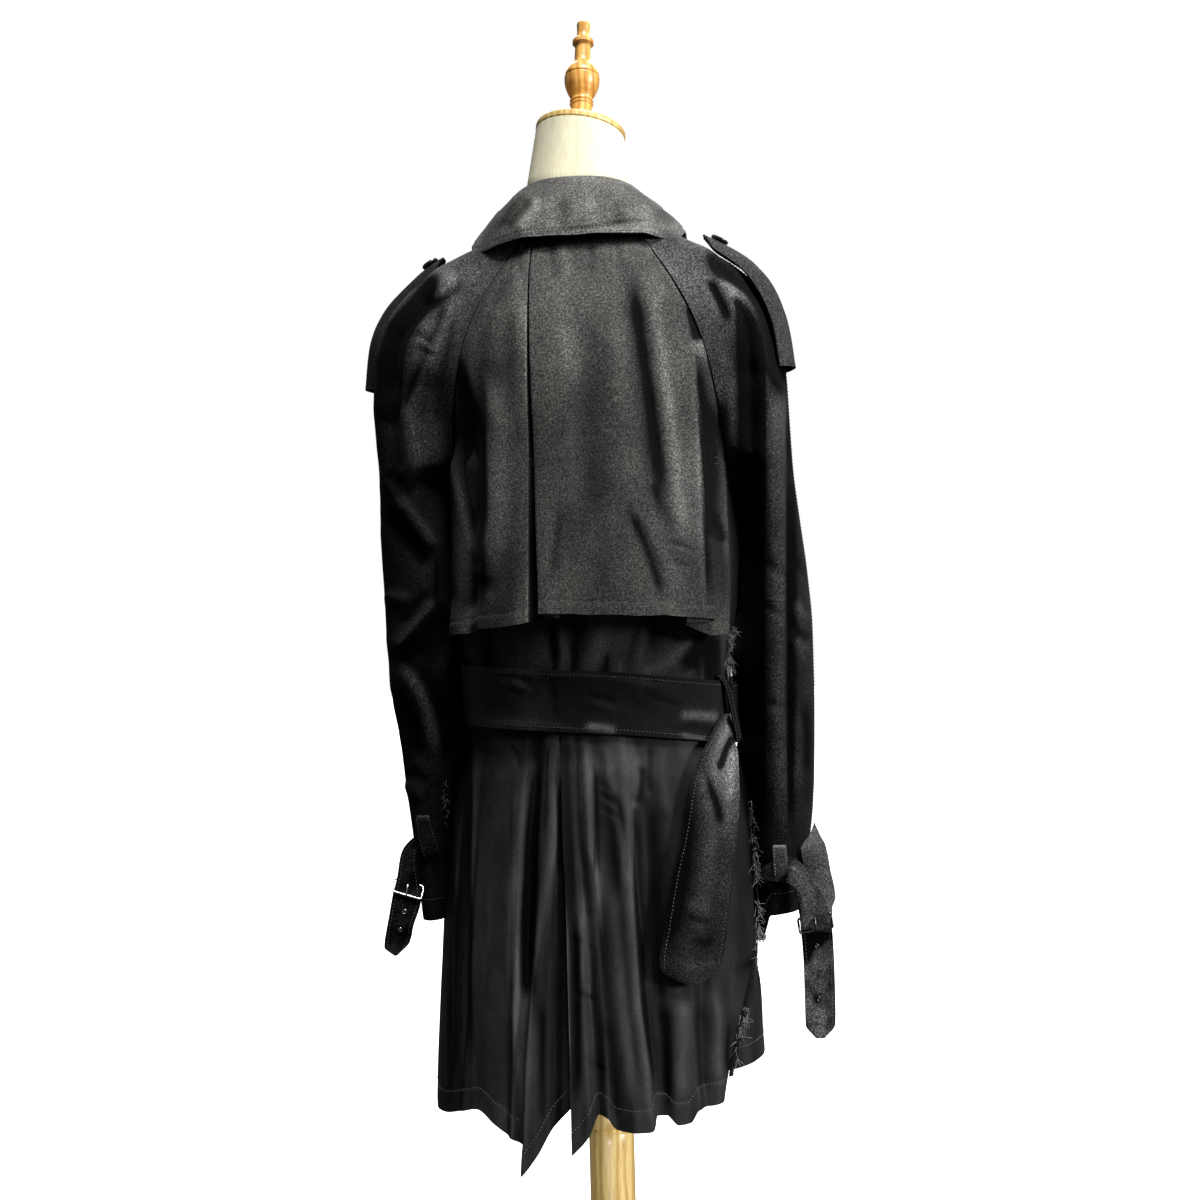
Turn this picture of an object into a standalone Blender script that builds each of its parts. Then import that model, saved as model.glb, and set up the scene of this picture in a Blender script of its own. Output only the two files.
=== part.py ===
"""A black trench coat worn on a limbless dress form with a turned finial, a post and a round foot.

Metres, +Z up. The wearer's left is +X and the coat's front faces -Y. The origin is at the middle of
the foot's underside. Angles round the body are in degrees: 0 is the centre back, 90 the wearer's
left side, -90 the right side and 180 the centre front.
"""

import bisect
import math

import bmesh
import bpy
from mathutils import Matrix, Vector

# Walls and gaps
CLOTH = 0.0012  # one layer of coat cloth
CAPE_CLOTH = 0.0010
STRAP_CLOTH = 0.0020  # straps and belt, sewn double
SEAM = 0.0004  # gap between two pieces sewn edge to edge
TOUCH = 0.0003  # gap between hard pieces that touch

# Coat
HEM_FRONT = 0.505
WAIST_SEAM = 0.871
UNDERARM = 1.136
CLOSING = 0.070  # how far each front passes the centre
OVERLAP = 0.0036  # the outer front stands this far off the inner one
BREAK = 1.165  # where the lapels start to turn back
BELT_WIDTH = 0.064
COLLAR_CENTRE = 0.009  # the neck stands a little to the wearer's left

# Stand
FOOT_RADIUS = 0.190
FOOT_THICKNESS = 0.024
POST_RADIUS = 0.0245
FORM_BOTTOM = 0.770
CAP_CENTRE = Vector((0.0057, 0.0, 1.512))
CAP_RADIUS = 0.0497
CAP_THICKNESS = 0.008
CAP_LEAN_FORWARD = 13.0
CAP_LEAN_RIGHT = 7.0
FINIAL_LEAN_RIGHT = 1.3


# Tables and readings


def table(columns, *rows):
    """Rows of named numbers, read along the first column."""
    ordered = sorted(rows)
    return {name: [row[place] for row in ordered] for place, name in enumerate(columns.split())}


def read(rows, column, at):
    """The column at a place of the first column, on a smooth curve that never passes its rows."""
    places = next(iter(rows.values()))
    values = rows[column]
    last = len(places) - 1
    at = min(max(at, places[0]), places[-1])
    k = min(max(bisect.bisect_right(places, at) - 1, 0), last - 1)

    def rise(i):
        return (values[i + 1] - values[i]) / (places[i + 1] - places[i])

    def slope(i):
        if i in (0, last):
            return rise(min(i, last - 1))
        before, after = rise(i - 1), rise(i)
        return 0.0 if before * after <= 0 else 2 * before * after / (before + after)

    step = places[k + 1] - places[k]
    t = (at - places[k]) / step
    ends = values[k] * (1 + 2 * t) * (1 - t) ** 2 + values[k + 1] * t * t * (3 - 2 * t)
    return ends + step * (slope(k) * t * (1 - t) ** 2 + slope(k + 1) * t * t * (t - 1))


def mix(a, b, t):
    return a + (b - a) * t


def spread(first, last, count):
    """Evenly spaced numbers, both ends counted."""
    return [mix(first, last, i / (count - 1)) for i in range(count)]


# The coat's outline at each height: half width, depth behind and before the axis, and how far its
# middle swings to the wearer's left
COAT = table(
    "z half back front middle",
    (0.400, 0.179, 0.157, 0.146, 0.0100),
    (0.500, 0.1765, 0.152, 0.142, 0.0095),
    (0.585, 0.172, 0.146, 0.136, 0.0090),
    (0.700, 0.167, 0.136, 0.127, 0.0060),
    (0.768, 0.162, 0.129, 0.120, 0.0035),
    (0.808, 0.155, 0.121, 0.113, 0.0015),
    (0.835, 0.146, 0.112, 0.105, 0.0005),
    (0.872, 0.140, 0.108, 0.100, 0.0),
    (0.930, 0.141, 0.112, 0.102, 0.0),
    (0.990, 0.147, 0.118, 0.106, 0.0),
    (1.050, 0.150, 0.122, 0.109, 0.0),
    (1.120, 0.155, 0.127, 0.112, 0.0),
    (1.165, 0.157, 0.130, 0.113, 0.0),
    (1.210, 0.168, 0.130, 0.112, 0.0),
    (1.250, 0.176, 0.127, 0.110, 0.0),
    (1.290, 0.172, 0.120, 0.104, 0.0),
    (1.330, 0.150, 0.108, 0.095, 0.0),
    (1.370, 0.114, 0.089, 0.080, 0.0),
    (1.398, 0.078, 0.073, 0.068, 0.0),
)

# The cape hangs clear of the body below the shoulder blades
CAPE = table(
    "z half back front middle",
    (0.950, 0.162, 0.156, 0.100, 0.0),
    (1.030, 0.160, 0.147, 0.100, 0.0),
    (1.100, 0.158, 0.138, 0.100, 0.0),
    (1.165, 0.157, 0.130, 0.113, 0.0),
    (1.210, 0.168, 0.130, 0.112, 0.0),
    (1.250, 0.176, 0.127, 0.110, 0.0),
    (1.290, 0.172, 0.120, 0.104, 0.0),
    (1.330, 0.150, 0.108, 0.095, 0.0),
    (1.370, 0.114, 0.089, 0.080, 0.0),
    (1.398, 0.078, 0.073, 0.068, 0.0),
)

# Distance of the raglan seam from the centre line
RAGLAN = table(
    "z x",
    (1.136, 0.1535),
    (1.150, 0.1490),
    (1.165, 0.1460),
    (1.208, 0.1400),
    (1.252, 0.1310),
    (1.288, 0.1190),
    (1.328, 0.0990),
    (1.372, 0.0710),
    (1.398, 0.0560),
)

ROUNDNESS = 2.35  # 2 would be an ellipse; a worn back is a little flatter


def outline(rows, z, angle, out=0.0):
    """A point of an outline, moved out square to it."""
    turn = math.radians(angle)
    s, c = math.sin(turn), math.cos(turn)
    half = read(rows, "half", z)
    deep = read(rows, "back" if c > 0 else "front", z)
    power = 2 / ROUNDNESS
    x = math.copysign(abs(s) ** power, s) * half
    y = math.copysign(abs(c) ** power, c) * deep
    grow = ROUNDNESS - 1
    away = Vector(
        (
            math.copysign((abs(x) / half) ** grow / half, x),
            math.copysign((abs(y) / deep) ** grow / deep, y),
            0.0,
        )
    ).normalized()
    return Vector((x + read(rows, "middle", z), y, z)) + away * out


def back_angle(rows, z, x):
    """The angle at which the back of an outline passes x."""
    x -= read(rows, "middle", z)
    share = min(abs(x) / read(rows, "half", z), 1.0)
    return math.copysign(math.degrees(math.asin(share ** (ROUNDNESS / 2))), x)


def on_back(rows, x, z, out=0.0):
    return outline(rows, z, back_angle(rows, z, x), out)


def on_front(rows, x, z, out=0.0):
    return outline(rows, z, 180.0 - back_angle(rows, z, x), out)


# Solids


def add(name, mesh, material, sharp=50.0):
    """Gives a closed mesh its name, its outward faces and its material, and shades it smooth."""
    bmesh.ops.recalc_face_normals(mesh, faces=mesh.faces)
    data = bpy.data.meshes.new(name)
    mesh.to_mesh(data)
    mesh.free()
    data.materials.append(material)
    data.shade_smooth()
    data.set_sharp_from_angle(angle=math.radians(sharp))
    made = bpy.data.objects.new(name, data)
    bpy.context.scene.collection.objects.link(made)
    return made


def bisector(before, here, after):
    """The direction of a line of points at one of them."""
    steps = [b - a for a, b in ((before, here), (here, after)) if (b - a).length > 1e-7]
    return sum((step.normalized() for step in steps), Vector())


def sheet(name, grid, wall, material, around=False):
    """A closed wall of cloth about a grid of points, given as rows of points across."""
    down, across = len(grid), len(grid[0])

    def at(i, j):
        i = min(max(i, 0), down - 1)
        j = j % across if around else min(max(j, 0), across - 1)
        return grid[i][j]

    mesh = bmesh.new()
    layers = [[], []]
    for i in range(down):
        for j in range(across):
            along = bisector(at(i, j - 1), at(i, j), at(i, j + 1))
            fall = bisector(at(i - 1, j), at(i, j), at(i + 1, j))
            away = along.cross(fall).normalized() * (wall / 2)
            layers[0].append(mesh.verts.new(at(i, j) + away))
            layers[1].append(mesh.verts.new(at(i, j) - away))

    columns = across if around else across - 1
    for i in range(down - 1):
        for j in range(columns):
            a, b = i * across + j, i * across + (j + 1) % across
            for layer in layers:
                mesh.faces.new((layer[a], layer[b], layer[b + across], layer[a + across]))
    edges = [(i * across + j, i * across + (j + 1) % across) for i in (0, down - 1) for j in range(columns)]
    if not around:
        edges += [(i * across + j, (i + 1) * across + j) for j in (0, across - 1) for i in range(down - 1)]
    for a, b in edges:
        mesh.faces.new((layers[0][a], layers[0][b], layers[1][b], layers[1][a]))
    return add(name, mesh, material)


def lofted(name, rings, material, sharp=50.0):
    """A closed solid through rings of points, capped at both ends."""
    mesh = bmesh.new()
    made = [[mesh.verts.new(point) for point in ring] for ring in rings]
    sides = len(made[0])
    for upper, lower in zip(made, made[1:]):
        for j in range(sides):
            mesh.faces.new((upper[j], upper[(j + 1) % sides], lower[(j + 1) % sides], lower[j]))
    mesh.faces.new(made[0])
    mesh.faces.new(made[-1])
    return add(name, mesh, material, sharp)


def circle(radius, height, sides, place):
    turns = (math.tau * j / sides for j in range(sides))
    return [place @ Vector((radius * math.cos(t), radius * math.sin(t), height)) for t in turns]


def turned(name, profile, material, sides=32, place=Matrix(), sharp=50.0, foot=None):
    """A turned solid. The profile's rows are (radius, height), upwards. foot places its first ring."""
    rings = [circle(radius, height, sides, place) for radius, height in profile]
    if foot:
        rings[0] = circle(*profile[0], sides, foot)
    return lofted(name, rings, material, sharp)


# Materials


def finish(name, colour, roughness, metallic=0.0):
    material = bpy.data.materials.new(name)
    material.use_nodes = True
    shader = material.node_tree.nodes["Principled BSDF"]
    shader.inputs["Base Color"].default_value = (*colour, 1.0)
    shader.inputs["Roughness"].default_value = roughness
    shader.inputs["Metallic"].default_value = metallic
    return material


# The dress form and its stand

FORM = table(
    "z half back front middle",
    (0.770, 0.118, 0.090, 0.086, 0.000),
    (0.778, 0.126, 0.098, 0.093, 0.000),
    (0.830, 0.128, 0.098, 0.093, 0.000),
    (0.870, 0.122, 0.091, 0.087, 0.000),
    (0.930, 0.114, 0.084, 0.080, 0.000),
    (1.000, 0.116, 0.087, 0.084, 0.000),
    (1.080, 0.128, 0.097, 0.093, 0.000),
    (1.160, 0.139, 0.106, 0.101, 0.000),
    (1.220, 0.148, 0.108, 0.101, 0.000),
    (1.275, 0.154, 0.102, 0.093, 0.000),
    (1.320, 0.134, 0.090, 0.081, 0.000),
    (1.355, 0.101, 0.074, 0.067, 0.004),
    (1.385, 0.068, 0.060, 0.055, 0.008),
    (1.410, 0.0560, 0.0540, 0.0520, 0.010),
    (1.455, 0.0555, 0.0545, 0.0520, 0.010),
)


def cap_place(lean_right=CAP_LEAN_RIGHT):
    forward = Matrix.Rotation(math.radians(CAP_LEAN_FORWARD), 4, "X")
    return Matrix.Translation(CAP_CENTRE) @ Matrix.Rotation(math.radians(-lean_right), 4, "Y") @ forward


FORM_LEVELS = (0.770, 0.778, 0.830, 0.880, 0.930, 1.000, 1.080, 1.160, 1.220, 1.260, 1.295, 1.325,
               1.355, 1.385, 1.415, 1.455)  # fmt: skip


def dress_form(linen):
    sides = 28
    rings = [[outline(FORM, z, 360.0 * j / sides) for j in range(sides)] for z in FORM_LEVELS]
    top = cap_place() @ Matrix.Translation((0.0, 0.0, -CAP_THICKNESS / 2 - TOUCH))
    radius = CAP_RADIUS - 0.0005
    turns = [math.tau * j / sides for j in range(sides)]
    rings.append([top @ Vector((radius * math.sin(t), radius * math.cos(t), 0.0)) for t in turns])
    lofted("form_body", rings, linen)


def stand(wood):
    half = CAP_THICKNESS / 2
    place = cap_place()
    rim = 0.002
    cap = (
        (CAP_RADIUS - rim, -half),
        (CAP_RADIUS, -half + rim),
        (CAP_RADIUS, half - rim),
        (CAP_RADIUS - rim, half),
    )
    turned("neck_cap", cap, wood, 36, place)

    finial = (  # radius, height over the cap
        (0.0205, 0.000), (0.0210, 0.005), (0.0150, 0.011), (0.0118, 0.020), (0.0118, 0.028),
        (0.0130, 0.030), (0.0116, 0.032), (0.0130, 0.034), (0.0122, 0.036), (0.0160, 0.045),
        (0.0190, 0.054), (0.0197, 0.0625), (0.0180, 0.0640), (0.0190, 0.0655), (0.0165, 0.073),
        (0.0110, 0.080), (0.0092, 0.086), (0.0088, 0.102), (0.0119, 0.1045), (0.0119, 0.108),
        (0.0082, 0.112), (0.0070, 0.118), (0.0076, 0.129), (0.0050, 0.132),
    )  # fmt: skip
    lift = Matrix.Translation((0.0, 0.0, half + TOUCH))
    turned("finial", finial, wood, 20, cap_place(FINIAL_LEAN_RIGHT) @ lift, 35.0, place @ lift)

    boss = FOOT_THICKNESS + 0.012
    groove = 0.376
    post = (
        (POST_RADIUS, boss + TOUCH),
        (POST_RADIUS, groove - 0.004),
        (POST_RADIUS - 0.003, groove),
        (POST_RADIUS - 0.0005, groove + 0.003),
        (POST_RADIUS - 0.0005, FORM_BOTTOM - TOUCH),
    )
    turned("post", post, wood)

    foot = (
        (FOOT_RADIUS - 0.004, 0.0),
        (FOOT_RADIUS, 0.004),
        (FOOT_RADIUS, FOOT_THICKNESS - 0.008),
        (FOOT_RADIUS - 0.010, FOOT_THICKNESS),
        (0.052, FOOT_THICKNESS),
        (0.042, boss),
    )
    turned("foot", foot, wood, 48)


# The body of the coat

BODY_LEVELS = (1.392, 1.360, 1.328, 1.288, 1.245, 1.200, 1.165, 1.145, 1.120, 1.050, 0.985, 0.940, 0.905)


def side_angle(z):
    """Where the back ends and the front starts: the raglan seam, or the side seam under the arm."""
    if z < UNDERARM:
        return 90.0
    return back_angle(COAT, z, read(RAGLAN, "x", z))


def seam_turn(z):
    """Half a seam's gap as an angle."""
    return math.degrees(SEAM / 2 / read(COAT, "half", z))


def under_cape(z, share):
    """How far the back lies inside the cape, at a share of the way from the centre to the seam."""
    lining_up = 0.0034 if z > UNDERARM + 0.020 else 0.0014
    if z < UNDERARM:
        return 0.0
    return -(lining_up + 0.0045 * (1.0 - share**4))


def back_body(gabardine):
    rows = []
    for z in (*BODY_LEVELS, WAIST_SEAM + SEAM):
        edge = side_angle(z) - seam_turn(z)
        shares = spread(-1.0, 1.0, 14)
        rows.append([outline(COAT, z, edge * share, under_cape(z, abs(share))) for share in shares])
    sheet("back_body", rows, CLOTH, gabardine)


# Where each front ends: past the centre below the break, and along the lapel's roll above it
FRONT_EDGE = table(
    "z x",
    (1.392, -0.052),
    (1.330, -0.035),
    (1.250, 0.016),
    (1.200, 0.048),
    (BREAK, CLOSING),
    (0.400, CLOSING),
)


def front_edge(z):
    """How far a front reaches past the centre."""
    return read(FRONT_EDGE, "x", z)


def overlap_lift(x, side):
    """How far the outer front, the wearer's right one, stands off the inner one that it covers."""
    if side > 0:
        return 0.0
    past = min(max((x + CLOSING + 0.060) / 0.050, 0.0), 1.0)
    return OVERLAP * past * past * (3 - 2 * past)


def front_side(z, side):
    """The angle at which a front starts: its raglan or side seam, which swings back on the right skirt."""
    if z > WAIST_SEAM:
        return 180.0 - side_angle(z) if z > UNDERARM else 90.0
    return read(SIDE_SEAM, "left" if side > 0 else "right", z)


SIDE_SEAM = table(
    "z left right",
    (0.440, 84.0, 45.0),
    (0.489, 85.0, 50.0),
    (0.538, 86.0, 58.0),
    (0.576, 86.0, 67.0),
    (0.610, 87.0, 78.0),
    (0.675, 87.0, 87.0),
    (0.800, 88.0, 89.0),
    (0.872, 90.0, 90.0),
)


def front(name, side, levels, cloth):
    rows = []
    for z in levels:
        first = side * (front_side(z, side) + seam_turn(z))
        last = side * 180.0 - back_angle(COAT, z, -side * front_edge(z))
        row = []
        for angle in spread(first, last, 10):
            x = outline(COAT, z, angle).x
            row.append(outline(COAT, z, angle, overlap_lift(x, side)))
        rows.append(row)
    sheet(name, rows, CLOTH, cloth)


def fronts(gabardine, satin):
    """Each front is cut in two at the waist seam, as the back is."""
    for hand, side, folds, at_seam in (("left", 1, SKIRT_FOLDS_LEFT, 0), ("right", -1, SKIRT_FOLDS_RIGHT, -1)):
        front(f"front_{hand}", side, (*BODY_LEVELS, WAIST_SEAM + SEAM), gabardine)
        below = [mix(WAIST_SEAM - SEAM, folds["hem_z"][at_seam], fall) for fall in SKIRT_LEVELS]
        levels = (*(z for z in below if z > HEM_FRONT + 0.010), HEM_FRONT)
        front(f"skirt_front_{hand}", side, levels, satin)


LAPEL = table(  # how far the lapel reaches from its roll line, by share of the way up from the break
    "up reach",
    (0.00, 0.006),
    (0.30, 0.046),
    (0.60, 0.078),
    (0.74, 0.090),
    (0.77, 0.062),
    (1.00, 0.034),
)
LAPEL_TOP = 1.370


def lapel(name, side, ups, gabardine):
    """A front's edge turned back on it. The inner front's lapel shows only past the outer front's edge."""
    rows = []
    for up in ups:
        z = mix(BREAK + 0.004, LAPEL_TOP, up)
        roll = -front_edge(z) + 0.0016
        tip = roll + read(LAPEL, "reach", up)
        if side > 0:
            roll = max(roll, front_edge(z) + 0.0040)
        row = []
        for share in (0.0, 0.10, 0.35, 0.68, 1.0):
            height = z + 0.020 * share * up
            seam = read(RAGLAN, "x", height) - 0.003 - 0.001 * (1.0 - share)
            x = side * min(mix(roll, tip, share), seam)
            away = overlap_lift(x, side) + 0.0024 + 0.0020 * min(share / 0.10, 1.0) + 0.0050 * up * share
            row.append(on_front(COAT, x, height, away))
        rows.append(row)
    sheet(name, rows, CLOTH, gabardine)


def button(name, centre, away, horn, radius=0.0145):
    """A button with a raised rim and a hollow middle, lying square to a direction."""
    thick = 0.0040
    profile = (
        (radius - 0.0015, 0.0),
        (radius, 0.0012),
        (radius, thick - 0.001),
        (radius - 0.002, thick),
        (radius - 0.004, thick - 0.001),
    )
    facing = away.to_track_quat("Z", "Y").to_matrix().to_4x4()
    place = Matrix.Translation(centre + away * TOUCH) @ facing
    turned(name, profile, horn, 20, place)


def front_buttons(horn):
    """Two columns of three on the outer front."""
    for column, x in (("left", 0.050), ("right", -0.050)):
        for number, z in enumerate((1.125, 1.045, 0.965), start=1):
            centre = on_front(COAT, x, z, OVERLAP + CLOTH / 2 + TOUCH)
            away = (on_front(COAT, x, z, 1.0) - on_front(COAT, x, z)).normalized()
            button(f"button_{column}_{number}", centre, away, horn)


# The cape, with its box pleat on the left and its knife pleat on the right

CAPE_LEVELS = (0.0, 0.07, 0.15, 0.24, 0.34, 0.46, 0.54, 0.64, 0.81, 1.0)
CAPE_TOP = 1.393
CAPE_EDGE = table(  # the cape's two free edges, below the raglan seams
    "z left right",
    (0.955, 0.1530, 0.1440),
    (1.018, 0.1570, 0.1480),
    (1.070, 0.1575, 0.1470),
    (1.165, 0.1456, 0.1456),
)
BOX = table(
    "z left right",
    (0.970, 0.0545, 0.0405),
    (1.100, 0.0540, 0.0440),
    (1.340, 0.0530, 0.0490),
    (1.393, 0.0500, 0.0460),
)
KNIFE = table(  # the fold's place, and how far the cloth turns under it
    "z fold under",
    (0.955, 0.1270, 0.022),
    (1.165, 0.1215, 0.021),
    (1.240, 0.1165, 0.015),
    (1.275, 0.1120, 0.008),
    (1.315, 0.0930, -0.004),
    (1.393, 0.0460, -0.003),
)
LEFT_FOLDS = table(  # ridges and hollows of the cape's left panel, from its edge to the box pleat
    "share top hem",
    (0.00, 0.0000, -0.0020),
    (0.16, 0.0005, 0.0040),
    (0.32, 0.0010, -0.0050),
    (0.48, 0.0015, 0.0040),
    (0.70, 0.0030, 0.0070),
    (1.00, 0.0044, 0.0080),
)


def cape_edge(z, side):
    if z >= 1.165:
        return read(RAGLAN, "x", z) - SEAM
    return read(CAPE_EDGE, "left" if side > 0 else "right", z)


def cape_row(fall):
    """One level of the cape from its left edge to its right one. Each fold has its own place, lift and hem."""
    layer = mix(0.0022, 0.0042, fall)
    turn = 0.0008 + 0.0006 * fall
    level = mix(CAPE_TOP, 0.967, fall)
    left, right = cape_edge(level, 1), -cape_edge(level, -1)
    box_left, box_right = read(BOX, "left", level), read(BOX, "right", level)
    under_left = min(0.018, (left - box_left) * 0.6)
    knife = -read(KNIFE, "fold", level)
    under = read(KNIFE, "under", level)

    folds = []  # x, lift over the body, hem height
    for share in spread(0.0, 0.88, 8):
        lift = mix(read(LEFT_FOLDS, "top", share), read(LEFT_FOLDS, "hem", share), fall)
        folds.append((mix(left, box_left, share), lift, mix(0.960, 0.971, share)))
    folds += [
        (box_left, 2 * layer, 0.972),
        (box_left - turn, 1.5 * layer, 0.972),
        (box_left, layer, 0.972),
        (box_left + under_left, layer, 0.972),
        (box_left + under_left + turn, 0.5 * layer, 0.972),
        (box_left + under_left, 0.0, 0.972),
        (box_right - 0.018, 0.0, 0.975),
        (box_right - 0.018 - turn, 0.5 * layer, 0.976),
        (box_right - 0.018, layer, 0.976),
        (box_right, layer, 0.978),
        (box_right + turn, 1.5 * layer, 0.979),
    ]
    for share in spread(0.0, 1.0, 9):
        folds.append((mix(box_right, knife, share), 2 * layer, mix(0.980, 0.972, share)))
    folded = under > 0
    folds += [
        (knife - turn if folded else knife + under * 0.25, 1.5 * layer, 0.970),
        (knife if folded else knife + under * 0.5, layer, 0.969),
        (knife + under, layer, 0.967),
        (knife + under + turn if folded else knife + under * 1.25, 0.5 * layer, 0.966),
        (knife + under if folded else knife + under * 1.5, 0.0, 0.965),
        (mix(knife, right, 0.3), 0.0, 0.958),
        (right, 0.0, 0.955),
    ]
    row = []
    for x, lift, hem in folds:
        z = mix(CAPE_TOP, hem, fall)
        row.append(on_back(CAPE, x, z, lift))
    return row


def cape(gabardine):
    sheet("cape_back", [cape_row(fall) for fall in CAPE_LEVELS], CAPE_CLOTH, gabardine)


# Sleeves

SLEEVE_LEFT = table(  # outer and inner side, middle and depth behind and before it
    "z outer inner middle back front",
    (0.651, 0.2060, 0.1790, -0.040, 0.050, 0.048),
    (0.700, 0.2110, 0.1775, -0.034, 0.054, 0.050),
    (0.760, 0.2155, 0.1740, -0.026, 0.057, 0.054),
    (0.800, 0.2190, 0.1680, -0.020, 0.059, 0.057),
    (0.850, 0.2250, 0.1570, -0.014, 0.061, 0.060),
    (0.893, 0.2310, 0.1530, -0.009, 0.063, 0.063),
    (0.958, 0.2340, 0.1560, -0.005, 0.068, 0.066),
    (1.000, 0.2350, 0.1590, -0.004, 0.069, 0.067),
    (1.075, 0.2370, 0.1600, -0.002, 0.074, 0.070),
    (1.134, 0.2360, 0.1580, 0.000, 0.080, 0.075),
    (1.180, 0.2380, 0.1580, 0.002, 0.086, 0.080),
    (1.225, 0.2395, 0.1560, 0.004, 0.088, 0.082),
    (1.265, 0.2370, 0.1500, 0.005, 0.086, 0.080),
    (1.300, 0.2260, 0.1400, 0.005, 0.080, 0.074),
    (1.330, 0.2050, 0.1300, 0.005, 0.072, 0.066),
    (1.360, 0.1680, 0.1100, 0.005, 0.062, 0.056),
    (1.382, 0.1240, 0.0900, 0.005, 0.052, 0.048),
    (1.398, 0.0860, 0.0700, 0.004, 0.044, 0.040),
)
SLEEVE_RIGHT = table(
    "z outer inner middle back front",
    (0.640, 0.2090, 0.1680, -0.042, 0.050, 0.048),
    (0.700, 0.2170, 0.1700, -0.034, 0.054, 0.050),
    (0.760, 0.2260, 0.1710, -0.026, 0.057, 0.054),
    (0.800, 0.2290, 0.1660, -0.020, 0.059, 0.057),
    (0.850, 0.2310, 0.1560, -0.014, 0.061, 0.060),
    (0.893, 0.2320, 0.1520, -0.009, 0.063, 0.063),
    (0.958, 0.2320, 0.1550, -0.005, 0.068, 0.066),
    (1.022, 0.2280, 0.1580, -0.004, 0.070, 0.067),
    (1.075, 0.2220, 0.1590, -0.002, 0.074, 0.070),
    (1.134, 0.2160, 0.1580, 0.000, 0.080, 0.075),
    (1.180, 0.2140, 0.1580, 0.002, 0.085, 0.080),
    (1.230, 0.2120, 0.1560, 0.004, 0.087, 0.082),
    (1.265, 0.2090, 0.1500, 0.005, 0.085, 0.080),
    (1.300, 0.2000, 0.1400, 0.005, 0.080, 0.074),
    (1.330, 0.1850, 0.1300, 0.005, 0.072, 0.066),
    (1.360, 0.1530, 0.1100, 0.005, 0.062, 0.056),
    (1.382, 0.1120, 0.0860, 0.005, 0.052, 0.048),
    (1.398, 0.0800, 0.0660, 0.004, 0.044, 0.040),
)
SLEEVE_LEVELS = (1.397, 1.380, 1.355, 1.325, 1.288, 1.245, 1.200, 1.165, 1.145, 1.128, 1.085, 1.030,
                 0.992, 0.965, 0.915, 0.860, 0.805, 0.755, 0.700)  # fmt: skip


def arc(first, first_pull, last_pull, last, share):
    """A point of a cubic curve."""
    rest = 1 - share
    return (
        first * rest**3
        + first_pull * (3 * rest * rest * share)
        + last_pull * (3 * rest * share * share)
        + last * share**3
    )


def sleeve_point(rows, side, facing, z, share, out=0.0):
    """A point of a sleeve half, from its body or underarm seam (share 0) to its overarm seam (share 1)."""
    deep = read(rows, "back" if facing > 0 else "front", z)
    middle = read(rows, "middle", z)
    gap = facing * SEAM / 2
    outer = Vector((read(rows, "outer", z), middle + gap, z))
    outer_pull = outer + Vector((0.0, facing * deep * 1.3, 0.0))
    if z < UNDERARM:
        inner = Vector((read(rows, "inner", z), middle + gap, z))
        inner_pull = inner + Vector((0.0, facing * deep * 1.3, 0.0))
    else:
        x = read(RAGLAN, "x", z) + (SEAM if facing > 0 else 3 * SEAM)
        on_seam = on_back if facing > 0 else on_front
        inner = on_seam(COAT, x, z)
        along = (on_seam(COAT, x, z) - on_seam(COAT, x - 0.006, z)).normalized()
        flare = min((z - UNDERARM) / 0.09, 1.0)
        low_pull = Vector((inner.x, middle + facing * deep * 1.3, z))
        inner_pull = mix(low_pull, inner + along * (outer.x - x) * 0.45, flare)
    point = arc(inner, inner_pull, outer_pull, outer, share)
    if out:
        step = 0.02
        ahead = arc(inner, inner_pull, outer_pull, outer, min(share + step, 1.0))
        behind = arc(inner, inner_pull, outer_pull, outer, max(share - step, 0.0))
        away = (ahead - behind).cross(Vector((0.0, 0.0, 1.0))).normalized() * -facing
        point = point + away * out
    return Vector((point.x * side, point.y, point.z))


SLEEVE_HEMS = table(  # the hems' heights, from the underarm seam to the overarm seam
    "share left right",
    (0.00, 0.6510, 0.6220),
    (0.28, 0.6510, 0.6240),
    (0.43, 0.6510, 0.6520),
    (1.00, 0.6510, 0.6550),
)


def sleeve(name, rows, side, facing, gabardine):
    shares = spread(0.0, 1.0, 8)
    grid = [[sleeve_point(rows, side, facing, z, share) for share in shares] for z in SLEEVE_LEVELS]
    hems = [read(SLEEVE_HEMS, "left" if side > 0 else "right", share) for share in shares]
    grid.append([sleeve_point(rows, side, facing, hem, share) for hem, share in zip(hems, shares)])
    sheet(name, grid, CLOTH, gabardine)


# Collar, epaulettes and belt

COLLAR = table(  # by angle from the centre back: the fold, and the collar's outer edge
    "angle fold fold_z edge_x edge_y edge_z",
    (0.0, 0.0618, 1.4500, 0.000, 0.1060, 1.3780),
    (30.0, 0.0618, 1.4500, 0.055, 0.0960, 1.3790),
    (60.0, 0.0618, 1.4480, 0.095, 0.0600, 1.3885),
    (90.0, 0.0618, 1.4420, 0.110, 0.0050, 1.3960),
    (120.0, 0.0610, 1.4280, 0.106, -0.0560, 1.3800),
    (140.0, 0.0600, 1.4080, 0.094, -0.0930, 1.3560),
    (155.0, 0.0590, 1.3880, 0.080, -0.1130, 1.3360),
)
COLLAR_ANGLES = (-155.0, -140.0, -120.0, -105.0, -90.0, -72.0, -54.0, -36.0, -18.0, 0.0,
                 18.0, 36.0, 54.0, 72.0, 90.0, 105.0, 120.0, 140.0, 155.0)  # fmt: skip


def round_neck(angle, radius, z):
    turn = math.radians(angle)
    return Vector((COLLAR_CENTRE + radius * math.sin(turn), radius * math.cos(turn), z))


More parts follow.
